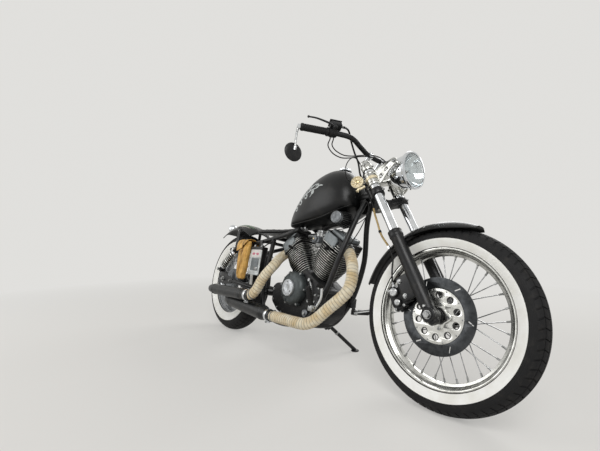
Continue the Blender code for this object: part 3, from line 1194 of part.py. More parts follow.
def horn_part():
    """A small round horn on an arm from the clamp round the right fork tube."""
    centre = Vector((1.131, -0.140, 0.876))
    shell = lathe([(0.0, 0.010), (0.014, 0.010), (0.026, 0.004), (0.030, -0.002), (0.028, -0.010),
                   (0.018, -0.018),
                   (0.0, -0.020)], centre, Vector((0.35, -0.9, 0.1)), steps=20)
    clamp = leg_point((EAR_LOW + EAR_HIGH) / 2, -LEG_Y)
    arm = tube([centre + Vector((-0.002, 0.010, -0.002)), centre.lerp(clamp, 0.5) + Vector((0, 0.008, 0)),
                clamp],
               0.007, resolution=1, steps=2)
    clear = cylinder(EAR_CLAMP_R + 0.0005, leg_point(EAR_LOW, -LEG_Y), leg_point(EAR_HIGH, -LEG_Y), LEG_STEPS)
    node("horn", "fork", "brass", cut(fuse(shell, arm), clear))


def side_stand_part():
    pin = cylinder(0.015, STAND_PIVOT - STAND_AXIS * STAND_PIN_HALF,
                   STAND_PIVOT + STAND_AXIS * STAND_PIN_HALF, 20)
    leg = tube([STAND_PIVOT, STAND_PIVOT.lerp(STAND_FOOT, 0.5), STAND_FOOT + GROUND_UP * 0.006],
               STAND_LEG_R, steps=1)
    pad = cylinder(0.022, STAND_FOOT, STAND_FOOT + GROUND_UP * 0.006, 20)
    tang_root = STAND_PIVOT.lerp(STAND_FOOT, 0.72)
    tang = tube([tang_root, tang_root + Vector((-0.015, 0.018, 0.004)), tang_root + Vector((-0.045, 0.030,
                                                                                            0.008))],
                0.005, resolution=1, steps=1)
    trim = box((0.10, 0.10, 0.04), STAND_FOOT - GROUND_UP * 0.02, frame_at((0, 0, 0), GROUND_UP))
    node("side_stand", "side_stand", "satin_black", cut(fuse(pin, leg, pad, tang), trim))


def bounding_box():
    bpy.context.view_layer.update()
    graph = bpy.context.evaluated_depsgraph_get()
    corners = []
    for obj in PARTS.objects:
        if obj.type != "MESH":
            continue
        shape = obj.evaluated_get(graph)
        mesh = shape.to_mesh()
        corners += [shape.matrix_world @ v.co for v in mesh.vertices]
        shape.to_mesh_clear()
    return ([min(c[i] for c in corners) for i in range(3)], [max(c[i] for c in corners) for i in range(3)])


def park():
    """Leans the machine onto its stand, with the middle of its outline over the origin."""
    root = BODIES["chassis"]
    root.rotation_euler = (-LEAN, 0, 0)
    low, high = bounding_box()
    root.location = (-(low[0] + high[0]) / 2, -(low[1] + high[1]) / 2, 0)
    bpy.context.view_layer.update()
    place = root.matrix_world
    turn = place.to_3x3()
    for name, point, axis in (
        ("steering", STEER_PIVOT, UP), ("front_wheel_spin", FRONT_AXLE, Y_AXIS),
        ("rear_wheel_spin", REAR_AXLE, Y_AXIS), ("stand_swing", STAND_PIVOT, STAND_AXIS),
    ):
        print("JOINT", name, [round(c, 6) for c in place @ point], [round(c, 6) for c in turn @ axis])
    for name, point, axis in (
        ("stand_foot", STAND_FOOT, GROUND_UP), ("lift_pad", Vector((SUMP_X, 0, SUMP_LOW)),
                                                Vector((0, 0, -1))),
    ):
        print("POINT", name, [round(c, 6) for c in place @ point], [round(c, 6) for c in turn @ axis])
    print("BOX", [[round(c, 5) for c in corner] for corner in bounding_box()])
    for obj in PARTS.objects:
        if obj.type == "MESH":
            print("NODE", obj.name, obj.parent.name.removesuffix("_pivot"), obj.data.materials[0].name)


def build():
    make_pivots()
    front_wheel_parts()
    rear_wheel_parts()
    fork_parts()
    front_fender_part()
    headlight_parts()
    bar_parts()
    caliper_part()
    brake_hose_part()
    node("frame", "chassis", "satin_black", frame_part())
    engine_case_part()
    case_cover_parts()
    cylinder_part("front_cylinder", FRONT_TILT)
    cylinder_part("rear_cylinder", REAR_TILT)
    intake_parts()
    tank_parts()
    seat_part()
    rear_fender_parts()
    swingarm_part()
    shock_parts()
    exhaust_parts()
    side_box_parts()
    foot_control_parts()
    horn_part()
    side_stand_part()
    park()


build()
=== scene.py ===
"""Looks of the parked custom motorcycle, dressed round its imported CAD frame.

Every piece is laid out on the upright motorcycle, as the CAD is: x runs forward from the rear axle, y to the
left, z up from the ground, in metres. STANCE then leans the finished mesh onto the side stand.
"""

import json
import logging
from dataclasses import dataclass, field
from enum import Enum
from math import atan2, cos, pi, radians, sin, sqrt, tan
from typing import Any, Callable, Iterable, Sequence

import bmesh
import bpy
from mathutils import Matrix, Vector, noise
from mathutils.bvhtree import BVHTree


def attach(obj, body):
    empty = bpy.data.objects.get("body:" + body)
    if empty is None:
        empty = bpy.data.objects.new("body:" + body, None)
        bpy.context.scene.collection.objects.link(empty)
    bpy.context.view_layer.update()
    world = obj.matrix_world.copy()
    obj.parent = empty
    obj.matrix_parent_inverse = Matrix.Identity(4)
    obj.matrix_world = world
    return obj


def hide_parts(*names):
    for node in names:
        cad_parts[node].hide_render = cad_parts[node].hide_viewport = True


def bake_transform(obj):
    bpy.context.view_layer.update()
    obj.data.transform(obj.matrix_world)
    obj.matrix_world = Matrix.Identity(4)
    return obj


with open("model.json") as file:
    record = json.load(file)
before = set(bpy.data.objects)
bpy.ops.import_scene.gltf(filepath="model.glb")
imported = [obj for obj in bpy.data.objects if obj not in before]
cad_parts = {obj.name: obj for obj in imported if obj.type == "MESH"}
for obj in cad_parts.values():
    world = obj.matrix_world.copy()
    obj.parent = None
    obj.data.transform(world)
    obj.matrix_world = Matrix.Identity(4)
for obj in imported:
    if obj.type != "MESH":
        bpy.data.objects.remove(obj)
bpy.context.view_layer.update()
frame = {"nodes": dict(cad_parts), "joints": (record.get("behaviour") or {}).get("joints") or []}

LOG = logging.getLogger("motorcycle")
Point = Sequence[float]
Y_AXIS = Vector((0, 1, 0))
BELL_BASE = 2.718   # the base of natural logarithms, as far as a fold needs it


class Body(Enum):
    """The CAD bodies that a piece can ride on."""

    CHASSIS = "chassis"
    FORK = "fork"
    FRONT_WHEEL = "front_wheel"
    REAR_WHEEL = "rear_wheel"
    STAND = "side_stand"


class Grain(Enum):
    """How a surface was made, which sets its fine relief."""

    SMOOTH = "polished or painted, with hairline marks only"
    CAST = "sand or die cast, with a pebbled skin"
    TURNED = "turned, with rings that follow the piece's own UV"
    BRUSHED = "drawn or brushed along one direction"
    LEATHER = "hide, with creased cells"
    WOVEN = "plain weave that follows the piece's own UV"
    MOULDED = "moulded rubber or plastic"


def bell(off: float) -> float:
    """The height of a rounded fold or dent, which is 1 at its middle and dies away on both sides.

    Args:
        off: the distance from the middle, over the fold's own width.

    Returns:
        The share of the full height that is left there.
    """
    return BELL_BASE ** -(off ** 2)


def joint_place(name: str) -> tuple[Vector, Vector]:
    """A joint's point and axis in the row frame.

    Args:
        name: the joint's name in the record.

    Returns:
        Its origin and its unit axis.
    """
    joint = next(j for j in frame["joints"] if j["name"] == name)
    return Vector(joint["pos_m"]), Vector(joint["axis"]).normalized()


def stance_matrix() -> tuple[Matrix, float]:
    """The upright motorcycle's axes in the row frame, and its lean in radians."""
    rear, axle = joint_place("rear_wheel_spin")
    lean = atan2(-axle.z, axle.y)
    turn = Matrix.Rotation(-lean, 4, "X")
    axle_up = rear.z / cos(lean)
    return Matrix.Translation((rear.x, rear.y - axle_up * sin(lean), 0)) @ turn, lean


STANCE, LEAN = stance_matrix()
UPRIGHT = STANCE.inverted()
REAR_AXLE = UPRIGHT @ joint_place("rear_wheel_spin")[0]
FRONT_AXLE = UPRIGHT @ joint_place("front_wheel_spin")[0]
RAKE = radians(32)
UP = Vector((-sin(RAKE), 0, cos(RAKE)))       # up the steering axis
AHEAD = Vector((cos(RAKE), 0, sin(RAKE)))     # square to it, forward
FORK_OFFSET = 0.070                           # fork legs ahead of the steering stem
LEG_Y = 0.095


def leg_point(height: float, y: float = 0.0, ahead: float = 0.0) -> Vector:
    """A point measured up a fork leg from the front axle, sideways and ahead of it."""
    return FRONT_AXLE + UP * height + Y_AXIS * y + AHEAD * ahead


def stem_point(height: float, y: float = 0.0) -> Vector:
    """A point on the steering stem's line."""
    return leg_point(height, y, -FORK_OFFSET)


def frame_at(origin: Point, z_axis: Point, x_hint: Point = (1, 0, 0)) -> Matrix:
    """A placing matrix.

    Args:
        origin: where its own origin goes.
        z_axis: where its z axis points.
        x_hint: which way its x axis leans.

    Returns:
        The 4 by 4 matrix.
    """
    z = Vector(z_axis).normalized()
    hint = Vector(x_hint)
    if abs(z.dot(hint)) > 0.99:
        hint = Vector((0, 0, 1))
    y = z.cross(hint).normalized()
    x = y.cross(z)
    return Matrix.Translation(Vector(origin)) @ Matrix((x, y, z)).transposed().to_4x4()


def smooth_route(points: Iterable[Point], steps: int = 6) -> list[Vector]:
    """Points along a Catmull-Rom curve.

    Args:
        points: the points that it passes through.
        steps: how many pieces each stretch is cut into.

    Returns:
        The points of the finer route.
    """
    route = [Vector(p) for p in points]
    ends = [route[0] * 2 - route[1], *route, route[-1] * 2 - route[-2]]
    made = []
    for a, b, c, d in zip(ends, ends[1:], ends[2:], ends[3:]):
        for i in range(steps):
            t = i / steps
            made.append(0.5 * ((2 * b) + (c - a) * t + (2 * a - 5 * b + 4 * c - d) * t ** 2
                               + (3 * b - a - 3 * c + d) * t ** 3))
    return [*made, route[-1]]


def even_route(points: Iterable[Point], spacing: float) -> list[Vector]:
    """The same route with points an even distance apart.

    Args:
        points: the route.
        spacing: the distance wanted between points, in metres.

    Returns:
        The evenly spaced points, ends kept.
    """
    route = [Vector(p) for p in points]
    lengths = [0.0]
    for a, b in zip(route, route[1:]):
        lengths.append(lengths[-1] + (b - a).length)
    count = max(2, round(lengths[-1] / spacing))
    made, k = [], 0
    for i in range(count + 1):
        target = lengths[-1] * i / count
        while k < len(route) - 2 and lengths[k + 1] < target:
            k += 1
        share = (target - lengths[k]) / max(lengths[k + 1] - lengths[k], 1e-9)
        made.append(route[k].lerp(route[k + 1], min(max(share, 0.0), 1.0)))
    return made


def mirrored(points: Iterable[Point], side: int) -> list[Vector]:
    """A route listed for the right side, as it is (-1) or moved to the left (1)."""
    return [Vector((x, -y * side, z)) for x, y, z in points]


def linear(hex_colour: str) -> tuple[float, float, float, float]:
    """An sRGB hex colour as linear RGBA.

    Args:
        hex_colour: six hex digits.

    Returns:
        The four linear channels.
    """
    channels = [int(hex_colour[i:i + 2], 16) / 255 for i in (0, 2, 4)]
    return (*[c / 12.92 if c <= 0.04045 else ((c + 0.055) / 1.055) ** 2.4 for c in channels], 1.0)


@dataclass(frozen=True)
class Finish:
    """One real material: its two colours, its gloss and its fine relief.

    The grain's size and the size of the mottling are in millimetres.
    """

    name: str
    colour: str
    shade: str
    rough: tuple[float, float] = (0.3, 0.45)
    metal: float = 0.0
    grain: Grain = Grain.SMOOTH
    grain_mm: float = 1.0
    relief: float = 0.10
    mottle_mm: float = 60.0
    dust: float = 0.0
    dust_colour: str = "8C8478"
    coat: float = 0.0
    sheen: float = 0.0
    glass: float = 0.0
    specular: float = 0.5
    turned: float = 0.0
    # Colour of painted shade, laid by the 'crease' point attribute into creases and grooves.
    creased: str = ""


# Satin black enamel, sprayed: a soft broad highlight and faint dust.
TANK_BLACK = Finish("satin_enamel", "0F1011", "0B0C0D", (0.30, 0.40), grain_mm=1.2, relief=0.03, mottle_mm=140,
                    dust=0.03, specular=0.30)
# Powder-coated steel tube: black, a little pebbled, greyer where hands and boots rub it.
FRAME_BLACK = Finish("powder_coat", "0D0E10", "131416", (0.30, 0.46), grain=Grain.CAST, grain_mm=0.9, relief=0.08,
                     dust=0.06, specular=0.35)
# Gloss enamel under clear lacquer, for the rear fender.
FENDER_GLOSS = Finish("gloss_enamel", "080909", "060707", (0.20, 0.32), relief=0.02, mottle_mm=90, coat=0.12,
                      dust=0.02, specular=0.22)
# The front fender is the same enamel flatted down to satin.
FENDER_SATIN = Finish("flatted_enamel", "0D0F10", "0A0B0C", (0.26, 0.38), relief=0.03, mottle_mm=90, dust=0.03,
                      specular=0.32)
# Cast crankcase and barrels under black heat-proof paint.
ENGINE_BLACK = Finish("heatproof_black", "0E0F10", "17181A", (0.42, 0.62), 0.0, Grain.CAST, 1.1, 0.22, 25, 0.10,
                      specular=0.30)
# Fin edges where the paint was faced off the cast alloy.
FIN_EDGE = Finish("faced_alloy", "C2C2BE", "85857F", (0.28, 0.42), 1.0, Grain.BRUSHED, 0.5, 0.10, 12)
# Grey cast alloy of the covers: dull, clouded by oil and heat.
COVER_GREY = Finish("cast_alloy", "7F8285", "5A5D60", (0.42, 0.60), 0.85, Grain.CAST, 0.8, 0.14, 18, 0.12)
# Flat grey painted sheet of the head covers.
COVER_PAINT = Finish("grey_paint", "7E8486", "6E7477", (0.36, 0.50), 0.2, Grain.CAST, 0.7, 0.08, 22, 0.05)
# Polished alloy of rims, yokes and ears.
POLISHED = Finish("polished_alloy", "CFCFCB", "A8A8A3", (0.14, 0.26), 1.0, Grain.BRUSHED, 0.6, 0.03, 30)
# Machined alloy of the disc carrier.
CARRIER_ALLOY = Finish("machined_alloy", "E6E6E2", "CBCBC6", (0.20, 0.30), 1.0, Grain.TURNED, 0.5, 0.08, 20,
                       turned=0.4)
# Ground stainless steel of the brake disc, ringed by the pads.
DISC_STEEL = Finish("ground_stainless", "4C4E50", "393B3D", (0.26, 0.36), 1.0, Grain.TURNED, 0.7, 0.10, 25,
                    turned=0.85)
# Chrome plate.
CHROME = Finish("chrome_plate", "E4E6E8", "C9CCCF", (0.035, 0.10), 1.0, mottle_mm=50, relief=0.01)
# Older, clouded chrome of the rear rim.
DULL_CHROME = Finish("clouded_chrome", "9A9C9E", "6C6E70", (0.20, 0.36), 1.0, Grain.BRUSHED, 0.8, 0.05, 16, 0.10)
# Bare zinc-plated steel of bolts, nuts and spokes.
ZINC = Finish("zinc_plated_steel", "A5A6A4", "77787A", (0.26, 0.42), 1.0, Grain.BRUSHED, 0.4, 0.08, 8)
SPOKE_STEEL = Finish("stainless_wire", "B8B9BA", "8B8C8E", (0.18, 0.30), 1.0, Grain.BRUSHED, 0.3, 0.04, 10)
# Tyre rubber: dull black, greyed by road dust.
TYRE_RUBBER = Finish("tyre_rubber", "111112", "161617", (0.60, 0.80), grain=Grain.MOULDED, grain_mm=0.8, relief=0.12,
                     mottle_mm=70, dust=0.04, specular=0.28)
# White rubber band, creamed with age.
WHITEWALL = Finish("white_rubber", "EFEFEC", "E6E5DF", (0.40, 0.56), grain=Grain.MOULDED, grain_mm=0.6, relief=0.05,
                   mottle_mm=55, dust=0.02)
# Moulded grips, boots and leads.
RUBBER = Finish("moulded_rubber", "0C0C0D", "141415", (0.50, 0.70), grain=Grain.MOULDED, grain_mm=0.7, relief=0.14,
                mottle_mm=20, dust=0.06, specular=0.3)
# Glass-fibre exhaust wrap: cream weave scorched and oiled brown in patches, with painted shade in the grooves under
# the tape's lips.
HEAT_WRAP = Finish("glass_fibre_wrap", "F3E9D0", "DCC496", (0.80, 0.95), grain=Grain.WOVEN, grain_mm=2.2, relief=0.40,
                   mottle_mm=46, dust=0.14, dust_colour="8A6A38", sheen=0.2, creased="3E2C12")
# High-temperature satin black of the silencers.
SILENCER_BLACK = Finish("stove_enamel", "0F1112", "191C1D", (0.30, 0.46), 0.0, Grain.CAST, 1.4, 0.06, 60, 0.10,
                        specular=0.4)
# Vegetable-tanned hide of the pouch, yellow-tan, with painted shade in its creases.
TAN_LEATHER = Finish("tanned_hide", "E2B35E", "C4913F", (0.44, 0.64), grain=Grain.LEATHER, grain_mm=2.4, relief=0.26,
                     mottle_mm=32, dust=0.14, dust_colour="5A3A14", coat=0.1, creased="4A2C0C")
# Vinyl seat cover, black with a leather grain.
SEAT_VINYL = Finish("seat_vinyl", "0E0E0F", "161617", (0.38, 0.54), grain=Grain.LEATHER, grain_mm=2.0, relief=0.22,
                    mottle_mm=50, dust=0.06, specular=0.35)
THREAD = Finish("waxed_thread", "C9A35A", "9C7432", (0.7, 0.85), grain=Grain.MOULDED, grain_mm=0.5, relief=0.2,
                mottle_mm=6)
# Clear and red moulded lenses, and the lamp's silvered bowl.
LENS = Finish("clear_glass", "F4F8F8", "F4F8F8", (0.02, 0.05), relief=0.0, glass=1.0)
RED_LENS = Finish("red_acrylic", "8E0F12", "6E0A0D", (0.08, 0.16), relief=0.02, coat=0.6)
MIRROR = Finish("silvered_glass", "F2F4F4", "E4E6E6", (0.01, 0.03), 1.0, relief=0.0)
# Cream lacquer over the horn's brass diaphragm and the small fittings by it.
BRASS = Finish("lacquered_brass", "E2D6B4", "BFA874", (0.22, 0.38), 0.9, Grain.BRUSHED, 0.6, 0.08, 10)
HOSE_TAN = Finish("braided_hose", "B9A06F", "8F7746", (0.50, 0.68), grain=Grain.WOVEN, grain_mm=1.6, relief=0.25,
                  mottle_mm=30)
PAPER = Finish("pleated_gauze", "0E0F10", "191A1B", (0.60, 0.80), grain=Grain.MOULDED, grain_mm=0.8, relief=0.2,
               mottle_mm=10, specular=0.3)
BOX_GREY = Finish("moulded_grey", "6C7376", "565C5F", (0.40, 0.55), grain=Grain.MOULDED, grain_mm=1.0, relief=0.12,
                  mottle_mm=40, dust=0.16)
LABEL_PALE = Finish("bare_label", "DAD6D2", "CEC9C4", (0.45, 0.60), relief=0.03, mottle_mm=18, dust=0.06)
PIN_GREEN = Finish("green_enamel", "1F7A2E", "12551D", (0.14, 0.24), relief=0.02, mottle_mm=20, coat=0.5)
PIN_CREAM = Finish("cream_enamel", "E7E3D4", "D6D0BC", (0.16, 0.26), relief=0.02, mottle_mm=20, coat=0.5)
# The dark surround of the right case cover, and the bright pitted disc in its middle.
COVER_SHADE = Finish("oiled_alloy", "464C4D", "383D3E", (0.40, 0.58), 0.4, Grain.CAST, 0.8, 0.12, 18, 0.10)
COVER_BRIGHT = Finish("pitted_alloy", "C2C5C8", "9DA0A3", (0.34, 0.52), 0.8, Grain.CAST, 1.4, 0.34, 9, 0.10)
BLACK_THREAD = Finish("black_thread", "242425", "1A1A1B", (0.6, 0.8), grain=Grain.MOULDED, grain_mm=0.5, relief=0.2,
                      mottle_mm=6)
# Cream lacquer of the horn, its clamp and the fittings by it.
CREAM_LACQUER = Finish("cream_lacquer", "E6DCC2", "CDBD94", (0.26, 0.42), 0.35, Grain.CAST, 0.6, 0.10, 8, 0.10,
                       "6A5836", coat=0.3)
# Pale frame of the electrics box, and the two plain rose spots on its label.
BOX_PALE = Finish("brushed_plate", "BDC1C1", "A2A6A6", (0.34, 0.50), 0.3, Grain.BRUSHED, 0.8, 0.08, 24, 0.14)
LABEL_ROSE = Finish("rose_ink", "C8788A", "B5606F", (0.40, 0.55), relief=0.02, mottle_mm=6)
SCROLL_GREY = Finish("grey_scrollwork", "C6CBCA", "A2A7A6", (0.34, 0.46), relief=0.03, mottle_mm=12)


def put(tree: bpy.types.NodeTree, kind: str, links: dict[Any, Any] | None = None, **settings: Any) -> bpy.types.Node:
    """Adds a node.

    Args:
        tree: the tree that it goes in.
        kind: Blender's name of the node type.
        links: values or sockets for its inputs, by name or number.
        settings: its own properties.

    Returns:
        The new node.
    """
    node = tree.nodes.new(kind)
    for name, value in settings.items():
        setattr(node, name, value)
    for name, value in (links or {}).items():
        if isinstance(value, bpy.types.NodeSocket):
            tree.links.new(value, node.inputs[name])
        else:
            node.inputs[name].default_value = value
    return node


class Paintshop:
    """Turns a Finish into a node material, once each."""

    def __init__(self) -> None:
        """Starts with no material made."""
        self.made: dict[str, bpy.types.Material] = {}

    def material(self, finish: Finish) -> bpy.types.Material:
        """The finish's material.

        Args:
            finish: the real material wanted.

        Returns:
            The node material.
        """
        if finish.name not in self.made:
            self.made[finish.name] = self._mix(finish)
        return self.made[finish.name]

    def _mix(self, finish: Finish) -> bpy.types.Material:
        """Builds colour, gloss and relief from procedural noise, with painted shade from the 'crease' attribute where
        the finish has a crease shade.

        Args:
            finish: the real material wanted.

        Returns:
            The node material.
        """
        made = bpy.data.materials.new(finish.name)
        made.use_nodes = True
        tree = made.node_tree
        tree.nodes.clear()
        place = put(tree, "ShaderNodeTexCoord")
        solid = place.outputs["Object"]
        mottle = put(tree, "ShaderNodeTexNoise", {"Vector": solid, "Scale": 1000 / finish.mottle_mm, "Detail": 4.0,
                                                  "Roughness": 0.6})
        spread = put(tree, "ShaderNodeMapRange", {"Value": mottle.outputs["Fac"], "From Min": 0.38, "From Max": 0.66})
        colour = put(tree, "ShaderNodeMix", {"Factor": spread.outputs["Result"], 6: linear(finish.colour),
                                             7: linear(finish.shade)}, data_type="RGBA").outputs[2]
        if finish.dust:
            grit = put(tree, "ShaderNodeTexNoise", {"Vector": solid, "Scale": 2600 / finish.mottle_mm, "Detail": 8.0,
                                                    "Roughness": 0.72})
            where = put(tree, "ShaderNodeMapRange", {"Value": grit.outputs["Fac"], "From Min": 0.52, "From Max": 0.74,
                                                     "To Max": min(1.0, finish.dust * 1.6)})
            colour = put(tree, "ShaderNodeMix", {"Factor": where.outputs["Result"], 6: colour,
                                                 7: linear(finish.dust_colour)}, data_type="RGBA").outputs[2]
        # Painted shade: the 'crease' attribute darkens the colour in creases and grooves.
        if finish.creased:
            crease = put(tree, "ShaderNodeAttribute", attribute_name="crease")
            colour = put(tree, "ShaderNodeMix", {"Factor": crease.outputs["Fac"], 6: colour,
                                                 7: linear(finish.creased)},
                         data_type="RGBA").outputs[2]
        gloss = put(tree, "ShaderNodeMapRange", {"Value": mottle.outputs["Fac"], "From Min": 0.3, "From Max": 0.7,
                                                 "To Min": finish.rough[0], "To Max": finish.rough[1]})
        shader = put(tree, "ShaderNodeBsdfPrincipled", {"Base Color": colour, "Roughness": gloss.outputs["Result"],
                                                        "Metallic": finish.metal, "Coat Weight": finish.coat,
                                                        "Coat Roughness": 0.06, "Sheen Weight": finish.sheen,
                                                        "Transmission Weight": finish.glass,
                                                        "Specular IOR Level": finish.specular})
        if finish.turned:
            shader.inputs["Anisotropic"].default_value = finish.turned
            ring = put(tree, "ShaderNodeTangent", direction_type="UV_MAP")
            tree.links.new(ring.outputs[0], shader.inputs["Tangent"])
        if finish.glass:
            shader.inputs["IOR"].default_value = 1.45
        height = self._relief(tree, finish, place)
        if height is not None:
            bump = put(tree, "ShaderNodeBump", {"Height": height, "Strength": min(1.0, finish.relief * 2),
                                                "Distance": finish.grain_mm * 0.0005})
            tree.links.new(bump.outputs["Normal"], shader.inputs["Normal"])
        out = put(tree, "ShaderNodeOutputMaterial")
        tree.links.new(shader.outputs[0], out.inputs["Surface"])
        return made

    def _relief(self, tree: bpy.types.NodeTree, finish: Finish, place: bpy.types.Node) -> bpy.types.NodeSocket | None:
        """The height pattern of the finish's grain.

        Args:
            tree: the material's tree.
            finish: the real material wanted.
            place: the tree's texture coordinates.

        Returns:
            The socket that holds the height, or None for a surface with no relief.
        """
        if not finish.relief:
            return None
        per_metre = 1000 / finish.grain_mm
        solid, own = place.outputs["Object"], place.outputs["UV"]
        if finish.grain is Grain.LEATHER:
            cells = put(tree, "ShaderNodeTexVoronoi", {"Vector": solid, "Scale": per_metre * 0.6},
                        feature="DISTANCE_TO_EDGE")
            return put(tree, "ShaderNodeMapRange", {"Value": cells.outputs["Distance"], "From Max": 0.25}).outputs[0]
        if finish.grain is Grain.WOVEN:
            across = put(tree, "ShaderNodeTexWave", {"Vector": own, "Scale": per_metre / 6.3, "Distortion": 0.5,
                                                     "Detail": 1.0}, bands_direction="X")
            along = put(tree, "ShaderNodeTexWave", {"Vector": own, "Scale": per_metre / 6.3, "Distortion": 0.5,
                                                    "Detail": 1.0}, bands_direction="Y")
            return put(tree, "ShaderNodeMath", {0: across.outputs["Fac"], 1: along.outputs["Fac"]},
                       operation="MULTIPLY").outputs[0]
        stretch = {Grain.TURNED: (6.0, per_metre, 1.0), Grain.BRUSHED: (per_metre * 0.05, per_metre, per_metre)}
        if finish.grain in stretch:
            source = own if finish.grain is Grain.TURNED else solid
            drawn = put(tree, "ShaderNodeMapping", {"Vector": source, "Scale": stretch[finish.grain]})
            return put(tree, "ShaderNodeTexNoise", {"Vector": drawn.outputs[0], "Scale": 1.0,
                                                    "Detail": 2.0}).outputs[0]
        return put(tree, "ShaderNodeTexNoise", {"Vector": solid, "Scale": per_metre, "Detail": 3.0}).outputs[0]


PAINTSHOP = Paintshop()


@dataclass
class Mesh:
    """Points and faces in a piece's own axes, before they are placed."""

    points: list[Vector] = field(default_factory=list)
    faces: list[tuple[int, ...]] = field(default_factory=list)
    corners: list[tuple[float, float]] = field(default_factory=list)

    def add(self, other: "Mesh", place: Matrix | None = None) -> "Mesh":
        """Takes in another mesh, moved by a matrix, and returns itself."""
        start = len(self.points)
        self.points += [place @ p for p in other.points] if place is not None else other.points
        self.faces += [tuple(i + start for i in f) for f in other.faces]
        self.corners += other.corners or [(0.0, 0.0)] * sum(len(f) for f in other.faces)
        return self

    def data(self) -> bpy.types.Mesh:
        """The same as a Blender mesh."""
        made = bpy.data.meshes.new("mesh")
        made.from_pydata(self.points, [], self.faces)
        return made


def taken(data: bpy.types.Mesh) -> Mesh:
    """A Blender mesh as points and faces; the Blender one is removed."""
    made = Mesh([v.co.copy() for v in data.vertices], [tuple(f.vertices) for f in data.polygons])
    bpy.data.meshes.remove(data)
    return made


def skin(rows: Sequence[Sequence[Vector]], loop: bool = False, closed: bool = True,
         lengths: Sequence[float] = ()) -> Mesh:
    """A surface through rings of equally many points.

    Args:
        rows: the rings.
        loop: whether the last ring joins the first.
        closed: whether each ring closes on itself.
        lengths: how far along each ring lies, for the UV map; measured between rings if left out.

    Returns:
        The mesh, capped at both ends where it doesn't loop.
    """
    count = len(rows[0])
    if not lengths:
        walk = [0.0]
        for a, b in zip(rows, rows[1:]):
            walk.append(walk[-1] + (b[0] - a[0]).length)
        lengths = walk
    made = Mesh([p for row in rows for p in row])
    turns = len(rows) if loop else len(rows) - 1
    for k in range(turns):
        nxt = (k + 1) % len(rows)
        low, high = lengths[k], lengths[nxt] if nxt else lengths[-1] + 0.01
        for i in range(count if closed else count - 1):
            j = (i + 1) % count
            made.faces.append((k * count + i, k * count + j, nxt * count + j, nxt * count + i))
            made.corners += [(i / count, low), ((i + 1) / count, low), ((i + 1) / count, high), (i / count, high)]
    if not loop and closed:
        for k, turn in ((0, -1), (len(rows) - 1, 1)):
            ring = tuple(k * count + i for i in range(count))[::turn]
            made.faces.append(ring)
            made.corners += [(i / count, lengths[k]) for i in range(count)]
    return made


def lathe(profile: Sequence[tuple[float, float]], steps: int = 48, loop: bool = False) -> Mesh:
    """Turns (radius, height) points round the z axis.

    Args:
        profile: the section; a radius of 0 at an end makes a pole.
        steps: how many sides it has.
        loop: whether the section closes on itself.

    Returns:
        The turned mesh.
    """
    tiny = 1e-5
    rows = [[Vector((max(r, tiny) * cos(a), max(r, tiny) * sin(a), h))
             for a in (2 * pi * i / steps for i in range(steps))]
            for r, h in profile]
    walk = [0.0]
    for (r, h), (s, g) in zip(profile, profile[1:]):
        walk.append(walk[-1] + sqrt((s - r) ** 2 + (g - h) ** 2))
    return skin(rows, loop, True, walk)


def rod(radius: float, length: float, edge: float = 0.0008, steps: int = 24) -> Mesh:
    """A round bar along z from the origin, its ends chamfered."""
    return lathe([(0, 0), (radius - edge, 0), (radius, edge), (radius, length - edge), (radius - edge, length),
                  (0, length)], steps)


def bar(radius: float, start: Point, end: Point, edge: float = 0.0008, steps: int = 24) -> Mesh:
    """A round bar between two points."""
    a, b = Vector(start), Vector(end)
    return Mesh().add(rod(radius, (b - a).length, edge, steps), frame_at(a, b - a))


def pipe(route: Sequence[Vector], radius: float | Callable[[float, float], float], steps: int = 16) -> Mesh:
    """A tube along a route, with no twist.

    Args:
        route: the points along its middle.
        radius: one radius, or a function of (distance along, angle round).
        steps: how many sides it has.

    Returns:
        The capped tube.
    """
    side = None
    rows, walk, gone = [], [], 0.0
    for k, at in enumerate(route):
        if k:
            gone += (at - route[k - 1]).length
        along = (route[min(k + 1, len(route) - 1)] - route[max(k - 1, 0)]).normalized()
        if side is None:
            side = along.orthogonal().normalized()
        side = (side - along * side.dot(along)).normalized()
        other = along.cross(side)
        row = []
        for i in range(steps):
            a = 2 * pi * i / steps
            r = radius(gone, a) if callable(radius) else radius
            row.append(at + side * (r * cos(a)) + other * (r * sin(a)))
        rows.append(row)
        walk.append(gone)
    return skin(rows, False, True, walk)


def block(size: Point, edge: float = 0.003, segments: int = 3) -> Mesh:
    """A block with rounded edges, its middle at the origin."""
    shape = bmesh.new()
    bmesh.ops.create_cube(shape, size=1)
    bmesh.ops.scale(shape, vec=size, verts=shape.verts)
    bmesh.ops.bevel(shape, geom=shape.edges, offset=min(edge, min(size) * 0.45), segments=segments, profile=0.5,
                    affect="EDGES")
    data = bpy.data.meshes.new("block")
    shape.to_mesh(data)
    shape.free()
    return taken(data)


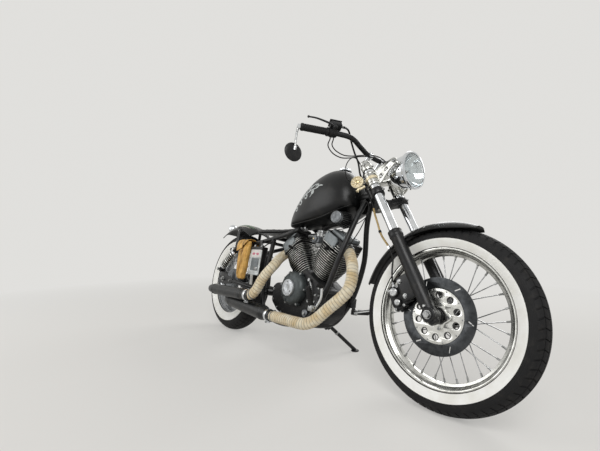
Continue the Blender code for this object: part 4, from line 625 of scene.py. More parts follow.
def plate(outline: Sequence[tuple[float, float]], thickness: float, edge: float = 0.0008,
          holes: Sequence[Sequence[tuple[float, float]]] = ()) -> Mesh:
    """A flat outline in the xy plane, thickened both ways, with chamfered edges.

    Args:
        outline: its corners.
        thickness: the whole thickness.
        edge: how far its edges are broken.
        holes: the outline of each hole.

    Returns:
        The closed plate.
    """
    data = bpy.data.curves.new("outline", "CURVE")
    data.dimensions = "2D"
    data.fill_mode = "BOTH"
    data.extrude = thickness / 2 - edge
    data.bevel_depth = edge
    data.bevel_resolution = 1
    data.offset = -edge
    for ring in (outline, *holes):
        spline = data.splines.new("POLY")
        spline.points.add(len(ring) - 1)
        for point, (x, y) in zip(spline.points, ring):
            point.co = (x, y, 0, 1)
        spline.use_cyclic_u = True
    obj = bpy.data.objects.new("outline", data)
    bpy.context.scene.collection.objects.link(obj)
    bpy.context.view_layer.update()
    mesh = bpy.data.meshes.new_from_object(obj.evaluated_get(bpy.context.evaluated_depsgraph_get()))
    bpy.data.objects.remove(obj)
    welded = bmesh.new()
    welded.from_mesh(mesh)
    bmesh.ops.remove_doubles(welded, verts=welded.verts, dist=1e-6)
    welded.to_mesh(mesh)
    welded.free()
    return taken(mesh)


def circle(radius: float, steps: int = 40, x: float = 0.0, y: float = 0.0) -> list[tuple[float, float]]:
    """The points of a circle."""
    return [(x + radius * cos(a), y + radius * sin(a)) for a in (2 * pi * i / steps for i in range(steps))]


def rounded(points: Sequence[tuple[float, float]], radius: float, steps: int = 4) -> list[tuple[float, float]]:
    """An outline with its corners rounded.

    Args:
        points: the corners.
        radius: how far each corner is cut back, at most 45% of its shorter side.
        steps: the pieces of each round.

    Returns:
        The finer outline.
    """
    made = []
    for i, point in enumerate(points):
        at, before, after = Vector(point), Vector(points[i - 1]), Vector(points[(i + 1) % len(points)])
        back, on = before - at, after - at
        cut = min(radius, back.length * 0.45, on.length * 0.45)
        start, end = at + back.normalized() * cut, at + on.normalized() * cut
        for k in range(steps + 1):
            t = k / steps
            p = start * (1 - t) ** 2 + at * (2 * t * (1 - t)) + end * t ** 2
            made.append((p.x, p.y))
    return made


class Repeats:
    """Geometry Nodes trees for what repeats: round an axis, along it, on points, or along wires."""

    def __init__(self) -> None:
        """Starts with no tree built."""
        self.trees: dict[str, bpy.types.NodeTree] = {}

    def _tree(self, name: str, inputs: Sequence[tuple[str, str, Any]]) -> tuple[bpy.types.NodeTree, bpy.types.Node]:
        """A new tree with its named inputs.

        Args:
            name: the tree's name.
            inputs: (name, socket type, default) of each input after the geometry.

        Returns:
            The tree and its input node.
        """
        tree = bpy.data.node_groups.new(name, "GeometryNodeTree")
        face = tree.interface
        face.new_socket("Geometry", in_out="INPUT", socket_type="NodeSocketGeometry")
        for title, kind, default in inputs:
            made = face.new_socket(title, in_out="INPUT", socket_type=kind)
            if default is not None:
                made.default_value = default
        face.new_socket("Geometry", in_out="OUTPUT", socket_type="NodeSocketGeometry")
        self.trees[name] = tree
        return tree, put(tree, "NodeGroupInput")

    def _close(self, tree: bpy.types.NodeTree, geometry: bpy.types.NodeSocket, given: bpy.types.Node) -> None:
        """Ends a tree in Realize Instances and Set Material."""
        real = put(tree, "GeometryNodeRealizeInstances", {0: geometry})
        painted = put(tree, "GeometryNodeSetMaterial",
                      {"Geometry": real.outputs[0], "Material": given.outputs["Finish"]})
        put(tree, "NodeGroupOutput", {0: painted.outputs[0]})

    def _round(self) -> None:
        """Copies the geometry round its own z axis."""
        tree, given = self._tree("round_axis", [("Count", "NodeSocketInt", 12), ("Turn", "NodeSocketFloat", 2 * pi),
                                                ("Finish", "NodeSocketMaterial", None)])
        spots = put(tree, "GeometryNodeMeshLine", {"Count": given.outputs["Count"], "Offset": (0, 0, 0)})
        index = put(tree, "GeometryNodeInputIndex")
        step = put(tree, "ShaderNodeMath", {0: given.outputs["Turn"], 1: given.outputs["Count"]}, operation="DIVIDE")
        angle = put(tree, "ShaderNodeMath", {0: index.outputs[0], 1: step.outputs[0]}, operation="MULTIPLY")
        turn = put(tree, "ShaderNodeCombineXYZ", {"Z": angle.outputs[0]})
        copies = put(tree, "GeometryNodeInstanceOnPoints", {"Points": spots.outputs[0], "Instance": given.outputs[0],
                                                            "Rotation": turn.outputs[0]})
        self._close(tree, copies.outputs[0], given)

    def _along(self) -> None:
        """Copies the geometry up its own z axis, narrower at the foot."""
        tree, given = self._tree("up_axis", [("Count", "NodeSocketInt", 12), ("Pitch", "NodeSocketFloat", 0.01),
                                             ("Foot Scale", "NodeSocketFloat", 1.0),
                                             ("Full From", "NodeSocketFloat", 1.0),
                                             ("Finish", "NodeSocketMaterial", None)])
        offset = put(tree, "ShaderNodeCombineXYZ", {"Z": given.outputs["Pitch"]})
        spots = put(tree, "GeometryNodeMeshLine", {"Count": given.outputs["Count"], "Offset": offset.outputs[0]})
        index = put(tree, "GeometryNodeInputIndex")
        wide = put(tree, "ShaderNodeMapRange", {"Value": index.outputs[0], "From Max": given.outputs["Full From"],
                                                "To Min": given.outputs["Foot Scale"]})
        scale = put(tree, "ShaderNodeCombineXYZ", {"X": wide.outputs[0], "Y": wide.outputs[0], "Z": 1.0})
        copies = put(tree, "GeometryNodeInstanceOnPoints", {"Points": spots.outputs[0], "Instance": given.outputs[0],
                                                            "Scale": scale.outputs[0]})
        self._close(tree, copies.outputs[0], given)

    def _studs(self) -> None:
        """Puts a bolt on each point, along the point's own aim."""
        tree, given = self._tree("bolts",
                                 [("Bolt", "NodeSocketObject", None), ("Finish", "NodeSocketMaterial", None)])
        aim = put(tree, "GeometryNodeInputNamedAttribute", {"Name": "aim"}, data_type="FLOAT_VECTOR")
        turn = put(tree, "FunctionNodeAlignRotationToVector", {"Vector": aim.outputs[0]}, axis="Z")
        bolt = put(tree, "GeometryNodeObjectInfo", {"Object": given.outputs["Bolt"]})
        copies = put(tree, "GeometryNodeInstanceOnPoints",
                     {"Points": given.outputs[0], "Instance": bolt.outputs["Geometry"],
                                                            "Rotation": turn.outputs[0]})
        self._close(tree, copies.outputs[0], given)

    def _wires(self) -> None:
        """Makes each chain of edges a round wire."""
        tree, given = self._tree("wires", [("Radius", "NodeSocketFloat", 0.002), ("Sides", "NodeSocketInt", 8),
                                           ("Finish", "NodeSocketMaterial", None)])
        lines = put(tree, "GeometryNodeMeshToCurve", {"Mesh": given.outputs[0]})
        ring = put(tree, "GeometryNodeCurvePrimitiveCircle", {"Radius": given.outputs["Radius"],
                                                              "Resolution": given.outputs["Sides"]})
        body = put(tree, "GeometryNodeCurveToMesh", {"Curve": lines.outputs[0], "Profile Curve": ring.outputs[0],
                                                     "Fill Caps": True})
        self._close(tree, body.outputs[0], given)

    def _coil(self) -> None:
        """A wire wound up the z axis; the geometry given isn't used."""
        tree, given = self._tree("coil", [("Turns", "NodeSocketFloat", 6.0), ("Radius", "NodeSocketFloat", 0.02),
                                          ("Height", "NodeSocketFloat", 0.1), ("Wire", "NodeSocketFloat", 0.003),
                                          ("Finish", "NodeSocketMaterial", None)])
        spiral = put(tree, "GeometryNodeCurveSpiral", {"Resolution": 20, "Rotations": given.outputs["Turns"],
                                                       "Start Radius": given.outputs["Radius"],
                                                       "End Radius": given.outputs["Radius"],
                                                       "Height": given.outputs["Height"]})
        ring = put(tree, "GeometryNodeCurvePrimitiveCircle", {"Radius": given.outputs["Wire"], "Resolution": 10})
        body = put(tree, "GeometryNodeCurveToMesh", {"Curve": spiral.outputs[0], "Profile Curve": ring.outputs[0],
                                                     "Fill Caps": True})
        self._close(tree, body.outputs[0], given)

    def _stitches(self) -> None:
        """Cuts each chain of edges into short round stitches."""
        tree, given = self._tree("stitches",
                                 [("Pitch", "NodeSocketFloat", 0.005), ("Stitch", "NodeSocketObject", None),
                                              ("Finish", "NodeSocketMaterial", None)])
        lines = put(tree, "GeometryNodeMeshToCurve", {"Mesh": given.outputs[0]})
        spots = put(tree, "GeometryNodeCurveToPoints", {"Curve": lines.outputs[0], "Length": given.outputs["Pitch"]},
                    mode="LENGTH")
        turn = put(tree, "FunctionNodeAlignRotationToVector", {"Vector": spots.outputs["Tangent"]}, axis="Z")
        stitch = put(tree, "GeometryNodeObjectInfo", {"Object": given.outputs["Stitch"]})
        copies = put(tree, "GeometryNodeInstanceOnPoints",
                     {"Points": spots.outputs[0], "Instance": stitch.outputs["Geometry"],
                                                            "Rotation": turn.outputs[0]})
        self._close(tree, copies.outputs[0], given)

    def run(self, kind: str, base: bpy.types.Mesh, finish: Finish, **values: Any) -> Mesh:
        """Runs a tree on a mesh.

        Args:
            kind: the tree's name.
            base: the mesh it starts from.
            finish: the material it sets.
            values: its inputs, with spaces written as underscores.

        Returns:
            The plain mesh it makes.
        """
        if kind not in self.trees:
            {"round_axis": self._round, "up_axis": self._along, "bolts": self._studs, "wires": self._wires,
             "coil": self._coil, "stitches": self._stitches}[kind]()
        tree = self.trees[kind]
        obj = bpy.data.objects.new("repeat", base)
        bpy.context.scene.collection.objects.link(obj)
        step = obj.modifiers.new("repeat", "NODES")
        step.node_group = tree
        values["Finish"] = PAINTSHOP.material(finish)
        for item in tree.interface.items_tree:
            if item.in_out == "INPUT" and item.name.replace(" ", "_") in values:
                step[item.identifier] = values[item.name.replace(" ", "_")]
        bpy.context.view_layer.update()
        made = bpy.data.meshes.new_from_object(obj.evaluated_get(bpy.context.evaluated_depsgraph_get()))
        bpy.data.objects.remove(obj)
        return taken(made)


REPEATS = Repeats()


def round_axis(base: Mesh, count: int, finish: Finish, turn: float = 2 * pi) -> Mesh:
    """Copies a mesh round its z axis, count times over the turn."""
    return REPEATS.run("round_axis", base.data(), finish, Count=count, Turn=turn)


def edges(chains: Iterable[Sequence[Vector]]) -> bpy.types.Mesh:
    """A mesh of loose edges, one chain for each route."""
    points: list[Vector] = []
    lines: list[tuple[int, int]] = []
    for chain in chains:
        lines += [(len(points) + i, len(points) + i + 1) for i in range(len(chain) - 1)]
        points += chain
    made = bpy.data.meshes.new("lines")
    made.from_pydata(points, lines, [])
    return made


def wires(chains: Iterable[Sequence[Vector]], radius: float, finish: Finish, sides: int = 8) -> Mesh:
    """Round wires along several routes."""
    return REPEATS.run("wires", edges(chains), finish, Radius=radius, Sides=sides)


def stitched(chains: Iterable[Sequence[Vector]], pitch: float, thick: float, finish: Finish) -> Mesh:
    """Rows of stitches along several routes, each stitch two thirds of the pitch long."""
    half = pitch * 0.34
    data = lathe([(0, -half), (thick * 0.8, -half * 0.7), (thick, 0), (thick * 0.8, half * 0.7), (0, half)], 6).data()
    stitch = bpy.data.objects.new("stitch", data)
    made = REPEATS.run("stitches", edges(chains), finish, Pitch=pitch, Stitch=stitch)
    bpy.data.objects.remove(stitch)
    return made


class Head(Enum):
    """Kinds of bolt head."""

    HEX = "hexagon"
    CAP = "socket cap"
    DOME = "domed rivet"
    NIPPLE = "spoke nipple"


def bolt_mesh(head: Head, radius: float, height: float) -> Mesh:
    """One bolt head that stands up its z axis from the origin.

    Args:
        head: its kind.
        radius: its outer radius.
        height: how far it stands proud.

    Returns:
        The closed mesh, sunk a little below the origin.
    """
    sunk = -0.0012
    if head is Head.HEX:
        washer = lathe([(0, sunk), (radius * 1.28, sunk), (radius * 1.28, 0.0010), (0, 0.0010)], 20)
        cap = lathe([(0, 0.0008), (radius, 0.0008), (radius, height * 0.9), (radius * 0.86, height), (0, height)], 6)
        return washer.add(cap)
    if head is Head.CAP:
        hole = radius * 0.5
        return lathe([(0, sunk), (radius, sunk), (radius, height * 0.9), (radius * 0.9, height), (hole, height),
                      (hole, height * 0.45), (0, height * 0.45)], 18)
    if head is Head.DOME:
        return lathe([(0, sunk), (radius, sunk), (radius, height * 0.2), (radius * 0.8, height * 0.7),
                      (radius * 0.4, height),
                      (0, height)], 14)
    return lathe([(0, sunk), (radius * 1.4, sunk), (radius * 1.4, height * 0.2), (radius, height * 0.25),
                  (radius, height),
                  (0, height)], 8)


def studs(spots: Sequence[tuple[Vector, Vector]], head: Head, radius: float, height: float, finish: Finish) -> Mesh:
    """Bolt heads on points.

    Args:
        spots: (point, outward direction) of each.
        head: their kind.
        radius: their outer radius.
        height: how far they stand proud.
        finish: their material.

    Returns:
        All of them as one mesh.
    """
    base = bpy.data.meshes.new("spots")
    base.from_pydata([p for p, _ in spots], [], [])
    aims = base.attributes.new("aim", "FLOAT_VECTOR", "POINT")
    aims.data.foreach_set("vector", [c for _, aim in spots for c in Vector(aim).normalized()])
    bolt = bpy.data.objects.new("bolt", bolt_mesh(head, radius, height).data())
    made = REPEATS.run("bolts", base, finish, Bolt=bolt)
    bpy.data.objects.remove(bolt)
    return made


class Piece:
    """One finished piece: meshes in the upright motorcycle's axes, each with its finish."""

    def __init__(self, name: str, body: Body) -> None:
        """Starts empty.

        Args:
            name: the piece's name.
            body: the CAD body that it rides on.
        """
        self.name, self.body = name, body
        self.mesh = Mesh()
        self.finishes: list[Finish] = []
        self.paint: list[int] = []
        self.shade_shares: list[float] = []

    def add(self, mesh: Mesh, finish: Finish, place: Matrix | None = None, shade_share: Sequence[float] = ()) -> "Piece":
        """Takes in a mesh.

        Args:
            mesh: points and faces.
            finish: what it is made of.
            place: the matrix that puts it on the upright motorcycle.
            shade_share: how much painted shade each point takes, from 0 to 1, deepest in creases and grooves.

        Returns:
            The piece itself.
        """
        if finish not in self.finishes:
            self.finishes.append(finish)
        self.paint += [self.finishes.index(finish)] * len(mesh.faces)
        self.shade_shares += [0.0] * (len(self.mesh.points) - len(self.shade_shares)) + list(shade_share)
        self.mesh.add(mesh, place)
        return self

    def add_bands(self, mesh: Mesh, bands: Sequence[Finish], steps: int, place: Matrix | None = None) -> "Piece":
        """Takes in a turned mesh whose bands have their own finishes.

        Args:
            mesh: the turned mesh.
            bands: the finish of each band, in the profile's order.
            steps: how many faces each band has.
            place: the matrix that puts it on the upright motorcycle.

        Returns:
            The piece itself.
        """
        for finish in bands:
            if finish not in self.finishes:
                self.finishes.append(finish)
        self.paint += [self.finishes.index(bands[i // steps]) for i in range(len(mesh.faces))]
        self.mesh.add(mesh, place)
        return self

    def done(self, replaces: Sequence[str] = (), smooth: float = 34,
             ride: bool = True) -> bpy.types.Object:
        """Makes the object and hands it to the frame.

        Args:
            replaces: the CAD nodes that it stands for.
            smooth: edges sharper than this many degrees stay sharp.
            ride: whether it rides on its body; a piece that doesn't is left unparented.

        Returns:
            The finished object.
        """
        data = bpy.data.meshes.new(self.name)
        data.from_pydata(self.mesh.points, [], self.mesh.faces)
        for finish in self.finishes:
            data.materials.append(PAINTSHOP.material(finish))
        data.polygons.foreach_set("material_index", self.paint)
        layer = data.uv_layers.new(name="UVMap")
        layer.data.foreach_set("uv", [c for corner in self.mesh.corners for c in corner])
        # The 'crease' attribute carries each point's share of painted shade.
        if self.shade_shares:
            crease = data.attributes.new("crease", "FLOAT", "POINT")
            crease.data.foreach_set("value", self.shade_shares + [0.0] * (len(data.vertices) - len(self.shade_shares)))
        data.transform(STANCE)
        shape = bmesh.new()
        shape.from_mesh(data)
        bmesh.ops.recalc_face_normals(shape, faces=shape.faces)
        shape.to_mesh(data)
        shape.free()
        data.shade_smooth()
        data.set_sharp_from_angle(angle=radians(smooth))
        obj = bpy.data.objects.new(self.name, data)
        bpy.context.scene.collection.objects.link(obj)
        if ride:
            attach(obj, self.body.value)
        if replaces:
            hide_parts(*replaces)
        LOG.info("%s: %d faces on %s", self.name, len(data.polygons), self.body.value)
        return obj


def superellipse(half_x: float, half_y: float, power: float, steps: int = 48) -> list[tuple[float, float]]:
    """A rounded-square outline; a higher power is squarer."""
    made = []
    for i in range(steps):
        c, s = cos(2 * pi * i / steps), sin(2 * pi * i / steps)
        made.append((half_x * abs(c) ** (2 / power) * (1 if c > 0 else -1),
                     half_y * abs(s) ** (2 / power) * (1 if s > 0 else -1)))
    return made


def polar(mesh: Mesh) -> Mesh:
    """Gives a flat round mesh a UV map of (turn, radius), for ringed finishes."""
    mesh.corners = []
    for face in mesh.faces:
        for i in face:
            p = mesh.points[i]
            mesh.corners.append((atan2(p.y, p.x) / (2 * pi), sqrt(p.x ** 2 + p.y ** 2)))
    return mesh


@dataclass
class WireWheel:
    """A spoked wheel with a whitewall tyre, laid out with its axle along z and its left side up."""

    name: str
    body: Body
    axle: Vector
    rim_r: float
    rim_half: float
    tyre_r: float
    tyre_half: float
    white_r: float
    flange_y: float
    rim_finish: Finish
    hub_finish: Finish
    pitches: int = 66
    spoke_count: int = 32
    spoke_r: float = 0.0019
    tread_depth: float = 0.0042
    rim_depth: float = 0.020
    flange_r: float = 0.046
    steps: int = 160

    @property
    def place(self) -> Matrix:
        """The matrix that puts the wheel on its axle."""
        return frame_at(self.axle, Y_AXIS)

    def crown(self, y: float) -> float:
        """The tyre's radius at a distance from its middle line."""
        share = min(abs(y) / self.tyre_half, 0.999)
        return self.tyre_r - self.tyre_half * 0.92 * (1 - sqrt(1 - share * share))

    def tyre_section(self) -> tuple[list[tuple[float, float]], list[Finish]]:
        """The tyre's closed section and the finish of each stretch of it.

        Returns:
            (radius, sideways) points from the left bead round to the right one, and one finish for each.
        """
        depth = self.tyre_r - self.rim_r
        side = [(self.rim_r + 0.0005, self.rim_half - 0.002), (self.rim_r + 0.010, self.tyre_half * 0.82),
                (self.rim_r + depth * 0.42, self.tyre_half * 0.995)]
        side += [(self.crown(self.tyre_half * sin(radians(d))), self.tyre_half * sin(radians(d))) for d in (74, 62)]
        fine = [(p.x, p.y) for p in smooth_route([(r, y, 0) for r, y in side], 9)]
        left: list[tuple[float, float]] = []
        paint: list[Finish] = []
        raised = 0.0009
        for r, y in fine:
            white = self.rim_r + 0.006 < r < self.white_r
            if left and white != (paint[-1] is WHITEWALL):
                left.append((left[-1][0], y + (raised if white else 0.0)))
                paint.append(WHITEWALL if white else TYRE_RUBBER)
            ring = 0.0006 if not white and r > self.white_r and int((r - self.white_r) * 420) % 2 else 0.0
            left.append((r, y + (raised if white else ring)))
            paint.append(WHITEWALL if white else TYRE_RUBBER)
        crown = []
        for d in range(56, -1, -7):
            y = self.tyre_half * sin(radians(d))
            crown.append((self.crown(y) - self.tread_depth * min(1.0, (60 - d) / 8), y))
        half = [*left, *crown]
        full = [*half, *[(r, -y) for r, y in reversed(half[:-1])]]
        cover = [*paint, *[TYRE_RUBBER] * (2 * len(crown) - 2), *reversed(paint), TYRE_RUBBER]
        return full, cover[:len(full)]

    def tread(self) -> Mesh:
        """One pitch of the tread: a centre rib, two slanted side ribs and two rows of shoulder blocks."""
        pitch = 2 * pi / self.pitches
        made = Mesh()
        for low, high, slant, share in ((-0.86, -0.56, -0.30, 0.80), (-0.50, -0.18, 0.22, 0.88),
                                        (-0.12, 0.12, 0.0, 0.95),
                                        (0.18, 0.50, -0.22, 0.88), (0.56, 0.86, 0.30, 0.80)):
            rows = []
            for k in range(6):
                y = self.tyre_half * (low + (high - low) * k / 5)
                top = self.crown(y) - (0.0004 if k in (0, 5) else 0.0)
                floor = self.crown(y) - self.tread_depth * 1.25
                lean = slant * pitch * (k / 5 - 0.5)
                angles = [lean + pitch * share * (j / 3 - 0.5) for j in range(4)]
                row = [Vector((top * cos(a), top * sin(a), y)) for a in angles]
                rows.append([*row, *[Vector((floor * cos(a), floor * sin(a), y)) for a in reversed(angles)]])
            made.add(skin(rows))
        return round_axis(made, self.pitches, TYRE_RUBBER)

    def build_tyre(self) -> None:
        """The tyre with its white bands, sidewall rings and tread."""
        section, cover = self.tyre_section()
        piece = Piece(self.name + "_tyre_cover", self.body)
        piece.add_bands(lathe(section, self.steps, loop=True), cover, self.steps, self.place)
        piece.add(self.tread(), TYRE_RUBBER, self.place)
        piece.done([self.name + "_tyre"])

    def rim(self) -> Mesh:
        """The rolled rim: two round lips, two shoulders and the well between them."""
        r, h, d = self.rim_r, self.rim_half, self.rim_depth
        return lathe([
            (r + 0.0035, h - 0.0010), (r + 0.0030, h + 0.0006), (r + 0.0005, h + 0.0012), (r - 0.003, h + 0.0002),
            (r - 0.0045, h - 0.003), (r - 0.0055, h - 0.010), (r - 0.009, h - 0.013), (r - 0.012, h - 0.018),
            (r - d - 0.003, 0.013), (r - d - 0.005, 0.007), (r - d - 0.0055, 0.0), (r - d - 0.005, -0.007),
            (r - d - 0.003, -0.013), (r - 0.012, 0.018 - h), (r - 0.009, 0.013 - h), (r - 0.0055, 0.010 - h),
            (r - 0.0045, 0.003 - h), (r - 0.003, -h - 0.0002), (r + 0.0005, -h - 0.0012), (r + 0.0030, -h - 0.0006),
            (r + 0.0035, 0.0010 - h), (r - 0.0005, 0.006 - h), (r - d, -0.012), (r - d, 0.012),
            (r - 0.0005, h - 0.006),
        ], self.steps, loop=True)

    def spoke_ends(self) -> list[tuple[Vector, Vector]]:
        """(hub end, rim end) of each laced spoke."""
        ends = []
        root, reach, stagger = self.flange_r - 0.0056, self.rim_r - self.rim_depth - 0.004, 0.003
        for i in range(self.spoke_count):
            side = 1 if i % 2 else -1
            lead = 1 if (i // 2) % 2 else -1
            at_rim = 2 * pi * (i + 0.5) / self.spoke_count
            at_hub = at_rim + lead * radians(58)
            ends.append(tuple(
                Vector((r * cos(a), -r * sin(a), y))
                for r, a, y in ((root, at_hub, side * (self.flange_y + lead * stagger)),
                                (reach, at_rim, side * (0.005 + lead * stagger)))
            ))
        return ends

    def build_rim(self, replaces: str, more: Sequence[tuple[Mesh, Finish]]) -> None:
        """Rim, hub and laced spokes as one piece.

        Args:
            replaces: the CAD node that it stands for.
            more: (mesh, finish) of what else turns with the hub.
        """
        piece = Piece(self.name + "_wheel_laced", self.body)
        piece.add(self.rim(), self.rim_finish, self.place)
        ends = self.spoke_ends()
        piece.add(wires(ends, self.spoke_r, SPOKE_STEEL), SPOKE_STEEL, self.place)
        piece.add(studs([(b, a - b) for a, b in ends], Head.NIPPLE, 0.0034, 0.016, ZINC), ZINC, self.place)
        piece.add(studs([(a + Vector((0, 0, (0.006 if a.z > 0 else -0.006))), Vector((0, 0, a.z))) for a, _ in ends],
                        Head.DOME, 0.0036, 0.0022, SPOKE_STEEL), SPOKE_STEEL, self.place)
        y, t, r = self.flange_y, 0.005, 0.026
        hub = [(0.010, y + 0.021), (r - 0.003, y + 0.021), (r, y + 0.018), (r + 0.001, y + t),
               (self.flange_r - 0.002, y + t),
               (self.flange_r, y + t - 0.002), (self.flange_r, y - t + 0.002), (self.flange_r - 0.002, y - t),
               (r + 0.004, y - t), (r, y - t - 0.008)]
        half = [*hub, (r - 0.002, 0.0), *[(a, -b) for a, b in reversed(hub)]]
        piece.add(lathe(half, 48, loop=True), self.hub_finish, self.place)
        for mesh, finish in more:
            piece.add(mesh, finish, self.place)
        piece.done([replaces])


@dataclass
class FrontDisc:
    """The slotted brake disc on its ten-hole alloy carrier, axle along z, left side up."""

    y: float = -0.050
    disc_r: float = 0.1415
    disc_t: float = 0.005
    carrier_r: float = 0.1000
    carrier_t: float = 0.009
    holes: int = 10
    hole_r: float = 0.0125
    hole_pitch_r: float = 0.076
    slots: int = 6

    def slot(self, turn: float) -> list[tuple[float, float]]:
        """One slanted slot through the disc ring."""
        a, b = 0.112, 0.132
        width = 0.0021
        start = Vector((a * cos(turn), a * sin(turn)))
        end = Vector((b * cos(turn + 0.10), b * sin(turn + 0.10)))
        along = (end - start).normalized()
        across = Vector((-along.y, along.x)) * width
        return [tuple(p) for p in (start + across, start - across, end - across, end + across)]

    def build(self, wheel: WireWheel) -> None:
        """Disc ring, carrier, lobed centre and bolts."""
        shift = Matrix.Translation((0, 0, self.y))
        piece = Piece("front_brake_rotor", Body.FRONT_WHEEL)
        ring = plate(circle(self.disc_r, 120), self.disc_t, 0.0006,
                     [circle(self.carrier_r - 0.004, 90),
                      *[self.slot(2 * pi * i / self.slots) for i in range(self.slots)]])
        piece.add(polar(ring), DISC_STEEL, wheel.place @ shift)
        spots = [(self.hole_pitch_r * cos(a), -self.hole_pitch_r * sin(a))
                 for a in (2 * pi * (i + 0.5) / self.holes for i in range(self.holes))]
        carrier = plate(circle(self.carrier_r, 120), self.carrier_t, 0.0012,
                        [circle(0.021, 40), *[circle(self.hole_r, 28, x, y) for x, y in spots]])
        piece.add(polar(carrier), CARRIER_ALLOY, wheel.place @ shift)
        for x, y in spots:
            sleeve = lathe([(self.hole_r + 0.0002, -0.0046), (self.hole_r - 0.0020, -0.0052),
                            (self.hole_r - 0.0020, 0.0046),
                            (self.hole_r + 0.0002, 0.0046)], 28, loop=True)
            piece.add(sleeve, FRAME_BLACK, wheel.place @ Matrix.Translation((x, y, self.y)))
        face = -self.carrier_t / 2
        lobes = plate([((0.046 + 0.007 * cos(5 * a)) * cos(a), (0.046 + 0.007 * cos(5 * a)) * sin(a))
                       for a in (2 * pi * i / 90 for i in range(90))], 0.004, 0.0012, [circle(0.0275, 40)])
        piece.add(polar(lobes), CARRIER_ALLOY, wheel.place @ Matrix.Translation((0, 0, self.y + face - 0.0012)))
        bolts = [(Vector((0.045 * cos(a), 0.045 * sin(a), self.y + face - 0.003)), Vector((0, 0, -1)))
                 for a in (2 * pi * i / 5 for i in range(5))]
        piece.add(studs(bolts, Head.CAP, 0.0062, 0.0052, ZINC), ZINC, wheel.place)
        rivets = [(Vector((0.0945 * cos(a), 0.0945 * sin(a), self.y + face)), Vector((0, 0, -1)))
                  for a in (2 * pi * i / 10 for i in range(10))]
        piece.add(studs(rivets, Head.DOME, 0.0032, 0.0016, ZINC), ZINC, wheel.place)
        boss = lathe([(0.0100, 0.004), (0.0265, 0.004), (0.0265, -0.0075), (0.0245, -0.0095), (0.0100, -0.0095)], 40,
                     loop=True)
        piece.add(boss, ENGINE_BLACK, wheel.place @ shift)
        piece.done(["brake_disc"])


